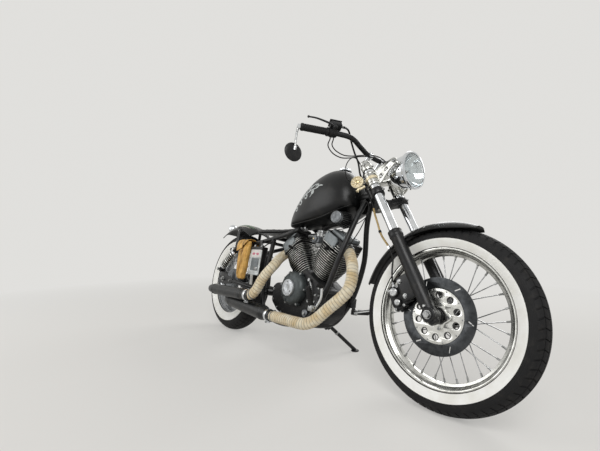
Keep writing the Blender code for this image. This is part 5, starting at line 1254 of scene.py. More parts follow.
@dataclass
class WrappedExhaust:
    """Two pipes wound with glass-fibre tape, each into its own straight silencer."""

    pipe_r: float = 0.0275
    tape_pitch: float = 0.0155
    tape_step: float = 0.0024
    front: tuple[Point, ...] = (
        (1.066, -0.042, 0.524), (1.094, -0.058, 0.484), (1.110, -0.074, 0.425), (1.106, -0.096, 0.367),
        (1.035, -0.130, 0.280), (0.985, -0.146, 0.226), (0.940, -0.156, 0.200), (0.890, -0.162, 0.193),
        (0.780, -0.165, 0.192), (0.650, -0.161, 0.190))
    rear: tuple[Point, ...] = (
        (0.534, -0.050, 0.524), (0.552, -0.092, 0.496), (0.588, -0.134, 0.470), (0.596, -0.166, 0.437),
        (0.563, -0.189, 0.375), (0.545, -0.200, 0.320), (0.518, -0.205, 0.286), (0.478, -0.206, 0.271))

    def phase(self, gone: float, angle: float, seed: float) -> float:
        """How far across the tape's strand a point lies, from its raised lip (0) to the next one (1)."""
        wander = 0.12 * noise.noise(Vector((gone * 16, cos(angle), seed)))
        return (gone / self.tape_pitch + angle / (2 * pi) + wander) % 1.0

    def tape(self, seed: float) -> Callable[[float, float], float]:
        """The wound tape's radius.

        Args:
            seed: shifts the wrinkles.

        Returns:
            A function of (distance along, angle round) that gives the radius.
        """
        def radius(gone: float, angle: float) -> float:
            """One point's radius: the overlap's step, less a little slack between strands."""
            share = self.phase(gone, angle, seed)
            lip = self.tape_step * ((1.0 - share) ** 0.7 if share > 0.10 else share / 0.10)
            crease = 0.0006 * noise.noise(Vector((gone * 60, 3 * cos(angle), 3 * sin(angle) + seed)))
            return self.pipe_r - 0.0014 + lip + crease
        return radius

    def shadow(self, route: Sequence[Vector], sides: int, seed: float) -> list[float]:
        """How dark each point of the wound tape is, deepest in the groove under each lip.

        Args:
            route: the pipe's even middle line.
            sides: how many points each ring has.
            seed: the same shift as the tape's.

        Returns:
            One value from 0 to 1 for each point.
        """
        made, gone = [], 0.0
        for k, at in enumerate(route):
            gone += (at - route[k - 1]).length if k else 0.0
            for i in range(sides):
                share = self.phase(gone, 2 * pi * i / sides, seed)
                groove = max(0.0, (share - 0.72) / 0.28) ** 1.4 + max(0.0, 1 - share / 0.08) * 0.8
                made.append(min(1.0, 0.62 * groove))
        return made

    def build(self, ports: dict[str, tuple[Vector, Vector]]) -> None:
        """Both pipes and silencers.

        Args:
            ports: (point, way out) of the front and rear exhaust ports.
        """
        ends = {"front": (Vector((0.165, -0.152, 0.216)), 0.040, "lower"),
                "rear": (Vector((0.020, -0.212, 0.262)), 0.0325, "upper")}
        for seed, (name, listed) in enumerate((("front", self.front), ("rear", self.rear))):
            start, out = ports[name]
            points = [start + out * (0.0006 + step) for step in (0.0, 0.009, 0.018)] + [Vector(p) for p in listed]
            route = even_route(smooth_route(points, 8), 0.0017)
            piece = Piece(name + "_pipe_wrapped", Body.CHASSIS)
            sides = 44
            # Painted shade: the wrap darkens in the groove under each tape lip.
            piece.add(pipe(route, self.tape(seed * 7.3), sides), HEAT_WRAP,
                      shade_share=self.shadow(route, sides, seed * 7.3))
            for k in (9, len(route) - 22):
                along = (route[k + 1] - route[k]).normalized()
                piece.add(self.tie(self.pipe_r + 0.0011), ZINC, frame_at(route[k], along))
            flange = plate(rounded([(-0.040, -0.012), (-0.040, 0.012), (0, 0.030), (0.040, 0.012), (0.040, -0.012),
                                    (0, -0.030)],
                                   0.012), 0.007, 0.001, [circle(self.pipe_r - 0.003, 24)])
            seat = frame_at(start + out * 0.006, out)
            piece.add(flange, ZINC, seat)
            piece.add(studs([(seat @ Vector((x, 0, 0.0035)), out) for x in (-0.033, 0.033)], Head.HEX, 0.006, 0.009,
                            ZINC), ZINC)
            piece.done([name + "_pipe"], smooth=60)
            self.silencer(ends[name][2], route[-1], *ends[name][:2])

    def tie(self, radius: float) -> Mesh:
        """A stainless strap round the wrap, with its buckle."""
        band = lathe([(radius + 0.0007, -0.0036), (radius + 0.0007, 0.0036), (radius - 0.0010, 0.0036),
                      (radius - 0.0010, -0.0036)],
                     40, loop=True)
        return band.add(block((0.012, 0.010, 0.0045), 0.001), frame_at((radius + 0.002, 0, 0), (1, 0, 0), (0, 1, 0)))

    def silencer(self, name: str, start: Vector, end: Vector, radius: float) -> None:
        """A straight silencer with a coned mouth, a clamp and an open perforated core.

        Args:
            name: upper or lower.
            start: where its pipe ends.
            end: where it ends.
            radius: its outer radius.
        """
        along, length = (end - start).normalized(), (end - start).length
        place = frame_at(start, along, (0, 0, 1))
        neck, core = self.pipe_r + 0.003, radius * 0.52
        shell = [
            (neck - 0.002, -0.020), (neck, -0.019), (neck, 0.026), (neck + 0.002, 0.032), (radius - 0.004, 0.052),
            (radius - 0.001, 0.058),
            (radius, 0.064), (radius, 0.070), (radius + 0.0012, 0.071), (radius + 0.0012, 0.079), (radius, 0.080),
            (radius, length - 0.068),
            (radius + 0.0012, length - 0.067), (radius + 0.0012, length - 0.059), (radius, length - 0.058),
            (radius, length - 0.050),
            (radius * 0.80, length - 0.012), (radius * 0.74, length - 0.002), (radius * 0.70, length), (core, length),
            (core, length - 0.120),
            (0, length - 0.120)]
        piece = Piece(name + "_silencer_shell", Body.CHASSIS)
        piece.add(lathe([(0, -0.020), *shell], 72), SILENCER_BLACK, place)
        clamp = lathe([(neck + 0.0018, 0.004), (neck + 0.0022, 0.006), (neck + 0.0022, 0.020), (neck + 0.0018, 0.022),
                       (neck - 0.001, 0.022), (neck - 0.001, 0.004)], 48, loop=True)
        lugs = block((0.014, 0.006, 0.016), 0.001)
        piece.add(clamp, CHROME, place)
        for s in (-1, 1):
            piece.add(lugs, CHROME, place @ Matrix.Translation((-neck - 0.006, s * 0.006, 0.013)))
        across = (place.to_3x3() @ Vector((0, 1, 0))).normalized()
        heads = [(place @ Vector((-neck - 0.007, s * 0.009, 0.013)), across * s) for s in (-1, 1)]
        piece.add(studs(heads, Head.HEX, 0.0052, 0.006, ZINC), ZINC)
        hole = lathe([(0, 0), (0.0022, 0), (0.0022, 0.0008), (0, 0.0008)], 8)
        row = Mesh().add(hole, frame_at((core - 0.0004, 0, 0), (-1, 0, 0)))
        holes = round_axis(row, 14, ENGINE_BLACK)
        for k in range(7):
            piece.add(holes, ENGINE_BLACK,
                      place @ Matrix.Translation((0, 0, length - 0.018 - 0.013 * k)) @ Matrix.Rotation(
                          k * 0.22, 4, "Z"))
        hanger = bar(0.0055, place @ Vector((radius - 0.003, 0, length * 0.5)),
                     place @ Vector((radius + 0.030, 0.0, length * 0.5)))
        if name == "lower":
            piece.add(hanger, FRAME_BLACK)
        piece.done([name + "_silencer"])


@dataclass
class Tank:
    """The narrow, high-backed fuel tank with its cap and painted scroll."""

    sections: tuple[tuple[float, float, float, float], ...] = (  # x, z of the bottom, z of the top, half width
        (0.528, 0.705, 0.738, 0.022), (0.560, 0.698, 0.778, 0.050), (0.610, 0.694, 0.842, 0.080),
        (0.680, 0.693, 0.920, 0.106), (0.760, 0.697, 0.978, 0.124), (0.840, 0.706, 1.006, 0.132),
        (0.910, 0.722, 1.008, 0.130), (0.970, 0.745, 0.985, 0.121), (1.015, 0.765, 0.940, 0.102),
        (1.042, 0.782, 0.892, 0.074), (1.054, 0.800, 0.850, 0.040))
    points: int = 72
    cap_x: float = 0.905
    cap_z: float = 1.0085

    def section_at(self, x: float) -> tuple[float, float, float]:
        """Bottom, top and half width of the tank at a distance forward."""
        fine = self.fine()
        for a, b in zip(fine, fine[1:]):
            if a[0] <= x <= b[0]:
                t = (x - a[0]) / max(b[0] - a[0], 1e-9)
                return tuple(p + (q - p) * t for p, q in zip(a[1:], b[1:]))
        return fine[-1][1:] if x > fine[-1][0] else fine[0][1:]

    def fine(self) -> list[tuple[float, float, float, float]]:
        """The sections with smooth ones between them."""
        first = smooth_route([(x, low, high) for x, low, high, _ in self.sections], 7)
        second = smooth_route([(x, half, 0) for x, _, _, half in self.sections], 7)
        return [(p.x, p.y, p.z, h.y) for p, h in zip(first, second)]

    def ring(self, x: float, low: float, high: float, half: float) -> list[Vector]:
        """One closed section, flat below and domed on top."""
        ring, waist = [], low + (high - low) * 0.36
        for i in range(self.points):
            a = 2 * pi * (i + 0.5) / self.points
            c, s = cos(a), sin(a)
            y = half * abs(c) ** 0.85 * (1 if c > 0 else -1)
            z = waist + (high - waist) * s ** 0.95 if s > 0 else waist - (waist - low) * abs(s) ** 0.55
            ring.append(Vector((x, y, z)))
        return ring

    def flank(self, x: float, z: float) -> Vector:
        """The point of the tank's right flank at that x and z, above the waist."""
        low, high, half = self.section_at(x)
        waist = low + (high - low) * 0.36
        s = min(max((z - waist) / (high - waist), 0.0), 0.995) ** (1 / 0.95)
        return Vector((x, -half * (1 - s * s) ** 0.425, z))

    def flank_out(self, x: float, z: float) -> Vector:
        """The outward direction of the right flank there."""
        step = 0.004
        along = self.flank(x + step, z) - self.flank(x - step, z)
        rise = self.flank(x, z + step) - self.flank(x, z - step)
        out = along.cross(rise).normalized()
        return out if out.y < 0 else -out

    def ribbon(self, route: Sequence[tuple[float, float]], width: float) -> Mesh:
        """A painted stroke on the right flank that swells in its middle.

        Args:
            route: (x, z) points of its middle.
            width: its greatest width.

        Returns:
            A thin closed strip.
        """
        fine = even_route(smooth_route([(x, 0, z) for x, z in route], 6), 0.002)
        rows = []
        for k, p in enumerate(fine):
            share = k / (len(fine) - 1)
            along = fine[min(k + 1, len(fine) - 1)] - fine[max(k - 1, 0)]
            out = self.flank_out(p.x, p.z)
            at = self.flank(p.x, p.z)
            across = Vector((along.x, 0, along.z)).cross(out).normalized() * (
                width * (0.34 + 0.66 * sin(pi * min(share, 0.97)) ** 0.7) / 2)
            rows.append([at + across + out * 0.0002, at + out * 0.0007, at - across + out * 0.0002,
                         at - out * 0.0010])
        return skin(rows)

    def scroll(self) -> Mesh:
        """Hand-painted leaf scrollwork on the right rear flank, of no particular pattern."""
        made = Mesh()
        stem = [(0.628, 0.776), (0.660, 0.820), (0.706, 0.854), (0.768, 0.880), (0.842, 0.892)]
        made.add(self.ribbon(stem, 0.0105))
        spine = smooth_route([(x, 0, z) for x, z in stem], 6)
        for k, (turn, size, side) in enumerate(((0.2, 0.040, 1), (0.3, 0.038, -1), (0.2, 0.048, 1), (0.4, 0.044, -1),
                                                (0.3, 0.046, 1),
                                                (0.3, 0.046, -1), (0.2, 0.036, 1), (0.5, 0.038, -1))):
            at = spine[2 + k * 3 - (k > 6)]
            lead = (spine[min(3 + k * 3, len(spine) - 1)] - at).normalized()
            heading = atan2(lead.z, lead.x) + side * (0.9 + turn)
            leaf = []
            for j in range(9):
                t = j / 8
                curl = heading - side * t * 2.9
                reach = size * (1 - 0.72 * t)
                leaf.append((at.x + reach * cos(curl) - size * cos(heading) * (1 - t) * 0.98,
                             at.z + reach * sin(curl) - size * sin(heading) * (1 - t) * 0.98))
            made.add(self.ribbon(leaf, 0.0100))
        for x, z, dx, dz in ((0.642, 0.786, -0.006, 0.034), (0.690, 0.848, 0.016, 0.050),
                             (0.726, 0.866, 0.044, 0.052),
                             (0.758, 0.878, 0.070, 0.040), (0.798, 0.886, -0.010, -0.044),
                             (0.830, 0.892, 0.046, 0.008)):
            made.add(self.ribbon([(x, z), (x + dx * 0.5 - dz * 0.15, z + dz * 0.5 + dx * 0.15), (x + dx, z + dz)],
                                 0.0092))
        return made

    def build(self) -> None:
        """Shell, seam, cap, scroll and fuel tap."""
        piece = Piece("tank_shell", Body.CHASSIS)
        shell = skin([self.ring(*section) for section in self.fine()])
        piece.add(shell, TANK_BLACK)
        piece.add(self.scroll(), SCROLL_GREY)
        seam = []
        for side in (-1, 1):
            route = [Vector((x, side * half * 0.90, low + 0.0135)) for x, low, _, half in self.fine()[7:-7]]
            seam.append(even_route(route, 0.006))
        for route in seam:
            piece.add(pipe(route, 0.0022, 10), TANK_BLACK)
        piece.done(["tank"], smooth=50)
        cap = Piece("fuel_cap", Body.CHASSIS)
        place = Matrix.Translation((self.cap_x, 0, self.cap_z))
        cap.add(lathe([(0, -0.010), (0.015, -0.010), (0.015, 0.0002), (0.0345, 0.0002), (0.0350, 0.0030),
                       (0.0315, 0.0048), (0.0305, 0.0050),
                       (0.0300, 0.0115), (0.0290, 0.0135), (0.024, 0.0160), (0.012, 0.0176), (0, 0.0180)], 72),
                CHROME, place)
        knurl = lathe([(0, 0.0052), (0.0011, 0.0052), (0.0011, 0.0112), (0, 0.0112)], 6)
        cap.add(round_axis(Mesh().add(knurl, Matrix.Translation((0.0302, 0, 0))), 60, CHROME), CHROME, place)
        cap.done(["tank_cap"])
        tap = Piece("fuel_tap", Body.CHASSIS)
        tap.add(block((0.024, 0.018, 0.026), 0.003), ZINC, Matrix.Translation((0.700, -0.050, 0.683)))
        tap.add(bar(0.006, (0.700, -0.056, 0.680), (0.700, -0.078, 0.680)), ZINC)
        tap.add(block((0.030, 0.005, 0.009), 0.002), FRAME_BLACK, Matrix.Translation((0.708, -0.078, 0.678)))
        tap.done(())


@dataclass
class Engine:
    """An air-cooled V-twin: crankcase, two finned barrels with heads, and round side covers."""

    crank: tuple[float, float] = (0.800, 0.345)
    tilts: tuple[float, float] = (radians(30), radians(-35))
    fins: int = 15
    fin_start: float = 0.1085
    fin_pitch: float = 0.0112
    fin_half: float = 0.0800
    fin_t: float = 0.0030
    core_r: float = 0.056
    head_low: float = 0.276
    head_high: float = 0.340
    head_half: float = 0.074
    port_along: float = 0.306
    port_y: float = -0.030
    case_half: float = 0.088

    def at(self, tilt: float, along: float, across: float = 0.0, y: float = 0.0) -> Vector:
        """A point on a barrel's own axes, measured from the crankshaft.

        Args:
            tilt: how far the barrel leans forward, in radians.
            along: up the barrel.
            across: forward, square to it.
            y: sideways.

        Returns:
            The point on the upright motorcycle.
        """
        return Vector((self.crank[0] + along * sin(tilt) + across * cos(tilt), y,
                       self.crank[1] + along * cos(tilt) - across * sin(tilt)))

    def place(self, tilt: float) -> Matrix:
        """A barrel's axes: z up it, x forward, from the crankshaft."""
        up = self.at(tilt, 1) - self.at(tilt, 0)
        return frame_at(self.at(tilt, 0), up)

    def ports(self) -> dict[str, tuple[Vector, Vector]]:
        """The middle of each exhaust port and its way out."""
        made = {}
        for name, tilt in zip(("front", "rear"), self.tilts):
            outward = 1 if tilt > 0 else -1
            made[name] = (self.at(tilt, self.port_along, outward * self.head_half, self.port_y),
                          (self.at(tilt, 0, outward) - self.at(tilt, 0, 0)).normalized())
        return made

    def barrel(self, name: str, tilt: float) -> None:
        """A finned barrel, its head, rocker cover, side covers and plug.

        Args:
            name: front or rear.
            tilt: how far it leans forward, in radians.
        """
        place = self.place(tilt)
        piece = Piece(name + "_barrel_and_head", Body.CHASSIS)
        foot = 0.0982
        piece.add(Mesh().add(rod(self.core_r, self.head_low - foot + 0.004), Matrix.Translation((0, 0, foot))),
                  ENGINE_BLACK, place)
        outline = superellipse(self.fin_half, self.fin_half, 3.4, 56)
        shift = Matrix.Translation((0, 0, self.fin_start))
        fin = plate(outline, self.fin_t, 0.0004)
        values = {"Count": self.fins, "Pitch": self.fin_pitch, "Foot_Scale": 0.72, "Full_From": self.fins * 0.5}
        piece.add(REPEATS.run("up_axis", fin.data(), ENGINE_BLACK, **values), ENGINE_BLACK, place @ shift)
        rim = [[Vector((x * k, y * k, z)) for x, y in outline] for k, z in
               ((0.992, -0.0012), (1.003, -0.0011), (1.003, 0.0011), (0.992, 0.0012))]
        piece.add(REPEATS.run("up_axis", skin(rim, loop=True).data(), FIN_EDGE, **values), FIN_EDGE, place @ shift)
        for h, grow in ((self.head_low + 0.006, 0.007), (self.head_low + 0.018, 0.007),
                        (self.head_low + 0.030, 0.004)):
            half = self.head_half + grow
            square = superellipse(half, half - 0.001, 7, 56)
            piece.add(plate(square, 0.0034, 0.0006), ENGINE_BLACK, place @ Matrix.Translation((0, 0, h)))
            band = [[Vector((x * k, y * k, z)) for x, y in square] for k, z in
                    ((0.993, -0.0012), (1.002, -0.0011), (1.002, 0.0011), (0.993, 0.0012))]
            piece.add(skin(band, loop=True), FIN_EDGE, place @ Matrix.Translation((0, 0, h)))
        middle = (self.head_low + self.head_high) / 2
        piece.add(block((2 * self.head_half, 2 * self.head_half, self.head_high - self.head_low), 0.007, 4),
                  ENGINE_BLACK,
                  place @ Matrix.Translation((0, 0, middle)))
        piece.add(block((0.100, 0.126, 0.024), 0.008, 4), COVER_PAINT,
                  place @ Matrix.Translation((0, 0, self.head_high + 0.008)))
        piece.add(block((0.070, 0.096, 0.010), 0.004, 3), COVER_PAINT,
                  place @ Matrix.Translation((0, 0, self.head_high + 0.0185)))
        caps = [(place @ Vector((x, y, self.head_high + 0.0185)), place.to_3x3() @ Vector((0, 0, 1)))
                for x in (-0.042, 0.042) for y in (-0.054, 0.0, 0.054)]
        piece.add(studs(caps, Head.CAP, 0.0048, 0.0050, ZINC), ZINC)
        for s in (-1, 1):
            self.side_cover(piece, place, s)
        piece.add(self.plug(), ZINC, place @ frame_at((0.010, -self.head_half - 0.002, self.head_low - 0.014),
                                                      (0.15, -1, 0.25)))
        piece.add(self.boot(), RUBBER, place @ frame_at((0.010, -self.head_half - 0.002, self.head_low - 0.014),
                                                        (0.15, -1, 0.25)))
        piece.done([name + "_cylinder"])

    def side_cover(self, piece: Piece, place: Matrix, side: int) -> None:
        """The flat grey cover on a head's side, bolted at four corners.

        Args:
            piece: the piece that it joins.
            place: the barrel's axes.
            side: -1 for the right, 1 for the left.
        """
        y = side * (self.head_half + 0.0046)
        across = place @ Matrix(((1, 0, 0, -0.010), (0, 0, -1, y), (0, 1, 0, 0.312), (0, 0, 0, 1)))
        corners = [(-0.048, -0.026), (0.048, -0.026), (0.048, 0.014), (0.034, 0.026), (-0.048, 0.026)]
        piece.add(plate(rounded(corners, 0.006), 0.0115, 0.0022), COVER_PAINT, across)
        piece.add(plate(rounded([(x * 0.74, z * 0.62) for x, z in corners], 0.004), 0.0026, 0.0010), COVER_PAINT,
                  across @ Matrix.Translation((0, 0, -side * -0.0058)))
        out = place.to_3x3() @ Vector((0, side, 0))
        heads = [(across @ Vector((x, z, side * -0.0057)), out) for x in (-0.040, 0.040) for z in (-0.019, 0.019)
                 if (x, z) != (0.040, 0.019)]
        piece.add(studs(heads, Head.CAP, 0.0042, 0.0040, ZINC), ZINC)

    def plug(self) -> Mesh:
        """A spark plug's hexagon and shell."""
        shell = lathe([(0, 0), (0.009, 0), (0.009, 0.006), (0, 0.006)], 6)
        return shell.add(lathe([(0, 0.006), (0.006, 0.006), (0.006, 0.011), (0, 0.011)], 20))

    def boot(self) -> Mesh:
        """The rubber cap over a plug."""
        return lathe([(0, 0.0105), (0.0078, 0.0105), (0.0084, 0.014), (0.0074, 0.018), (0.0074, 0.034),
                      (0.0064, 0.038), (0.0040, 0.041),
                      (0, 0.041)], 24)

    def outline(self) -> list[tuple[float, float]]:
        """x, z round the crankcase, seen from the right."""
        deck = 0.0977
        front = [self.at(self.tilts[0], deck, across) for across in (0.085, -0.058)]
        rear = [self.at(self.tilts[1], deck, across) for across in (0.058, -0.085)]
        return [(0.655, 0.200), (0.700, 0.190), (0.880, 0.190), (0.945, 0.245), (0.968, 0.330), (0.968, 0.372),
                *[(p.x, p.z) for p in (*front, *rear)], (0.560, 0.366), (0.530, 0.340), (0.540, 0.260),
                (0.600, 0.215)]

    def crankcase(self) -> None:
        """Case halves with their joint, sump, ribs and bolts."""
        side = Matrix(((1, 0, 0, 0), (0, 0, -1, 0), (0, 1, 0, 0), (0, 0, 0, 1)))
        piece = Piece("crankcase", Body.CHASSIS)
        outline = rounded(self.outline(), 0.014)
        half = self.case_half - 0.0008
        for s in (-1, 1):
            piece.add(plate(outline, half - 0.0012, 0.0060), ENGINE_BLACK,
                      Matrix.Translation((0, s * (half / 2 + 0.0004), 0)) @ side)
        mid = Vector((0.750, 0.310))
        inner = [((x - mid.x) * 0.988 + mid.x, (z - mid.y) * 0.988 + mid.y) for x, z in outline]
        piece.add(plate(inner, 0.060, 0.001), ENGINE_BLACK, side)
        raised = [((x - mid.x) * 0.90 + mid.x, (z - mid.y) * 0.88 + mid.y) for x, z in outline]
        for s in (-1, 1):
            piece.add(plate(raised, 0.0060, 0.0024), ENGINE_BLACK,
                      Matrix.Translation((0, s * (half - 0.0028), 0)) @ side)
        piece.add(block((0.200, 0.120, 0.030), 0.006), ENGINE_BLACK, Matrix.Translation((0.780, 0, 0.190)))
        for k in range(7):
            piece.add(block((0.0035, 0.112, 0.006), 0.001, 1), ENGINE_BLACK,
                      Matrix.Translation((0.705 + k * 0.025, 0, 0.1790)))
        spots = []
        for s in (-1, 1):
            for x, z in ((0.640, 0.212), (0.700, 0.202), (0.790, 0.202), (0.872, 0.204), (0.926, 0.250),
                         (0.953, 0.318), (0.954, 0.362),
                         (0.548, 0.330), (0.553, 0.272), (0.596, 0.232), (0.918, 0.372), (0.612, 0.362)):
                spots.append((Vector((x, s * half * 0.998, z)), Vector((0, s, 0))))
        piece.add(studs(spots, Head.HEX, 0.0050, 0.0052, ZINC), ZINC)
        breather = [Vector(p) for p in ((0.86, -0.092, 0.300), (0.875, -0.098, 0.330), (0.872, -0.099, 0.372),
                                        (0.850, -0.096, 0.405))]
        piece.add(pipe(smooth_route(breather, 6), 0.0042, 12), ZINC)
        for p in (breather[0], breather[-1]):
            piece.add(bar(0.0085, p + Y_AXIS * 0.008, p - Y_AXIS * 0.007), ZINC)
        plug = frame_at((0.846, -self.case_half + 0.002, 0.236), (0, -1, 0))
        piece.add(lathe([(0, 0), (0.019, 0), (0.020, 0.002), (0.020, 0.010), (0.017, 0.013), (0, 0.013)], 40),
                  COVER_GREY, plug)
        piece.add(lathe([(0, 0.012), (0.008, 0.012), (0.008, 0.018), (0, 0.018)], 6), ZINC, plug)
        piece.done(["engine_case"])

    def cover(self, name: str, side: int, x: float) -> None:
        """A round side cover with a bright raised disc on the right, a ribbed one on the left.

        Args:
            name: right or left.
            side: -1 or 1.
            x: its middle, forward of the rear axle.
        """
        place = frame_at((x, side * (self.case_half + 0.0003), 0.350), (0, side, 0), (1, 0, 0))
        piece = Piece(name + "_side_cover", Body.CHASSIS)
        profile = [(0, 0.0), (0.0875, 0.0), (0.0880, 0.002), (0.0880, 0.021), (0.0865, 0.026), (0.0830, 0.0335),
                   (0.0800, 0.0365),
                   (0.0740, 0.0415), (0.0700, 0.0436), (0.0560, 0.0462), (0.0500, 0.0472), (0.0470, 0.0490)]
        piece.add(lathe([*profile, (0.0460, 0.0490), (0, 0.0490)], 88), COVER_SHADE if side < 0 else ENGINE_BLACK,
                  place)
        dome = [(0, 0.0480), (0.0448, 0.0480), (0.0450, 0.0500), (0.0444, 0.0575), (0.0425, 0.0603), (0.0385, 0.0612),
                (0.0375, 0.0606),
                (0.0365, 0.0606), (0.0355, 0.0612), (0.0160, 0.0622), (0.0150, 0.0616), (0, 0.0618)]
        piece.add(lathe(dome, 72), COVER_BRIGHT if side < 0 else ENGINE_BLACK, place)
        heads = [(place @ Vector((0.0300 * cos(a), 0.0300 * sin(a), 0.0612)), place.to_3x3() @ Vector((0, 0, 1)))
                 for a in (radians(90 + 120 * i) for i in range(3))]
        piece.add(studs(heads, Head.CAP, 0.0040, 0.0038, ZINC), ZINC)
        ear = bar(0.0088, (0.0895, 0, 0.0004), (0.0895, 0, 0.0205), 0.0012)
        piece.add(round_axis(ear, 6, COVER_SHADE), COVER_SHADE if side < 0 else ENGINE_BLACK, place)
        ring = [(place @ Vector((0.0905 * cos(a), 0.0905 * sin(a), 0.0205)), place.to_3x3() @ Vector((0, 0, 1)))
                for a in (2 * pi * i / 6 for i in range(6))]
        piece.add(studs(ring, Head.CAP, 0.0048, 0.0048, ZINC), ZINC)
        rib = block((0.022, 0.0032, 0.006), 0.001, 1)
        for k in range(12):
            if side > 0 or 2 < k < 9:
                turn = Matrix.Rotation(2 * pi * k / 12 + 0.26, 4, "Z")
                piece.add(rib, COVER_SHADE if side < 0 else ENGINE_BLACK,
                          place @ turn @ Matrix.Translation((0.0635, 0, 0.0455)))
        piece.done(["case_cover_" + name])

    def build(self) -> None:
        """Barrels, crankcase and covers."""
        for name, tilt in zip(("front", "rear"), self.tilts):
            self.barrel(name, tilt)
        self.crankcase()
        self.cover("right", -1, 0.742)
        self.cover("left", 1, 0.762)

@dataclass
class Fork:
    """Telescopic legs, yokes, axle and front mudguard."""

    tube_r: float = 0.0205
    slider_r: float = 0.0265
    slider_top: float = 0.367
    slider_bottom: float = -0.034
    socket: float = 0.200
    tube_top: float = 0.752
    yokes: tuple[float, float] = (0.580, 0.724)
    yoke_t: float = 0.032
    boss_r: float = 0.026
    boss_out: float = 0.1225
    axle_r: float = 0.0085

    def leg(self, name: str, side: int) -> None:
        """One chromed tube with its cap, and its black slider with seal and axle boss.

        Args:
            name: right or left.
            side: -1 or 1.
        """
        y = side * LEG_Y
        tube = Piece("fork_stanchion_" + name, Body.FORK)
        tube.add(Mesh().add(rod(self.tube_r, self.tube_top - self.socket, 0.0015, 56),
                            frame_at(leg_point(self.socket, y), UP)), CHROME)
        cap = [(0, -0.004), (0.0235, -0.004), (0.0240, 0.000), (0.0240, 0.006), (0.0220, 0.009), (0.0150, 0.0105),
               (0, 0.0110)]
        top = frame_at(leg_point(self.tube_top, y), UP)
        tube.add(lathe(cap, 40), POLISHED, top)
        tube.add(lathe([(0, 0.009), (0.0098, 0.009), (0.0098, 0.0165), (0.0086, 0.0178), (0, 0.0178)], 6), ZINC, top)
        tube.done(["fork_tube_" + name])
        slider = Piece("fork_lower_" + name, Body.FORK)
        r, top_h, low = self.slider_r, self.slider_top, self.slider_bottom
        body = [(0, low), (0.0150, low), (0.0185, low + 0.003), (0.0205, low + 0.010), (0.0225, 0.010),
                (0.0245, 0.040), (r - 0.0006, 0.060),
                (r, 0.080), (r, top_h - 0.034), (r + 0.0018, top_h - 0.030), (r + 0.0030, top_h - 0.026),
                (r + 0.0030, top_h - 0.014),
                (r + 0.0018, top_h - 0.012), (r + 0.0018, top_h - 0.009), (r + 0.0030, top_h - 0.007),
                (r + 0.0026, top_h - 0.001),
                (self.tube_r + 0.0030, top_h + 0.003), (self.tube_r + 0.0006, top_h + 0.0045),
                (self.tube_r + 0.0006, top_h - 0.010),
                (0, top_h - 0.010)]
        slider.add(lathe(body, 64), FRAME_BLACK, frame_at(leg_point(0, y), UP))
        wiper = [(self.tube_r + 0.0002, top_h + 0.004), (self.tube_r + 0.0028, top_h + 0.0030),
                 (r + 0.0006, top_h - 0.001),
                 (r + 0.0006, top_h - 0.004), (self.tube_r + 0.0002, top_h - 0.004)]
        slider.add(lathe(wiper, 56, loop=True), RUBBER, frame_at(leg_point(0, y), UP))
        inner = 0.0685
        slider.add(bar(self.boss_r, FRONT_AXLE + Y_AXIS * side * inner, FRONT_AXLE + Y_AXIS * side * self.boss_out,
                       0.003, 48), FRAME_BLACK)
        face = FRONT_AXLE + Y_AXIS * side * self.boss_out
        pinch = [(FRONT_AXLE + Y_AXIS * side * (self.boss_out - 0.013) - AHEAD * (self.boss_r - 0.003)
                  + UP * s * 0.012, -AHEAD) for s in (-1, 1)]
        slider.add(studs(pinch, Head.HEX, 0.0055, 0.007, ZINC), ZINC)
        drain = leg_point(0.034, y + side * 0.0225)
        slider.add(studs([(drain, Y_AXIS * side)], Head.HEX, 0.0052, 0.005, ZINC), ZINC)
        ring = lathe([(0.0145, -0.0010), (0.0205, -0.0010), (0.0205, 0.0012), (0.0145, 0.0012)], 40, loop=True)
        slider.add(ring, ENGINE_BLACK, frame_at(face, Y_AXIS * side))
        if side < 0:
            lug = block((0.075, 0.0140, 0.100), 0.005)
            slider.add(lug, FRAME_BLACK, Matrix.Translation(leg_point(0.135, y, -0.040)) @ frame_at((0, 0, 0), UP))
            bolts = [(leg_point(h, y - 0.007, -0.064), Vector((0, -1, 0))) for h in (0.104, 0.166)]
            slider.add(studs(bolts, Head.HEX, 0.0075, 0.007, ZINC), ZINC)
        slider.done(["slider_" + name])

    def axle(self) -> None:
        """The spindle with a nut on each end and the bright spacers by the hub."""
        piece = Piece("front_spindle", Body.FORK)
        reach = self.boss_out + 0.010
        piece.add(bar(self.axle_r, FRONT_AXLE - Y_AXIS * reach, FRONT_AXLE + Y_AXIS * reach, 0.001, 24), ZINC)
        for side in (-1, 1):
            face = frame_at(FRONT_AXLE + Y_AXIS * side * (self.boss_out + 0.0003), Y_AXIS * side)
            piece.add(lathe([(0, 0), (0.0158, 0), (0.0158, 0.0018), (0.0125, 0.0020), (0, 0.0020)], 40), ZINC, face)
            nut = lathe([(0, 0.0018), (0.0125, 0.0018), (0.0130, 0.0026), (0.0130, 0.0100), (0.0118, 0.0117),
                         (0, 0.0117)], 6)
            piece.add(nut, ZINC, face)
        piece.add(bar(0.0125, FRONT_AXLE - Y_AXIS * 0.0595, FRONT_AXLE - Y_AXIS * 0.0687, 0.0008, 32), POLISHED)
        piece.add(bar(0.0125, FRONT_AXLE + Y_AXIS * 0.0525, FRONT_AXLE + Y_AXIS * 0.0687, 0.0008, 32), POLISHED)
        piece.done(["front_axle"])

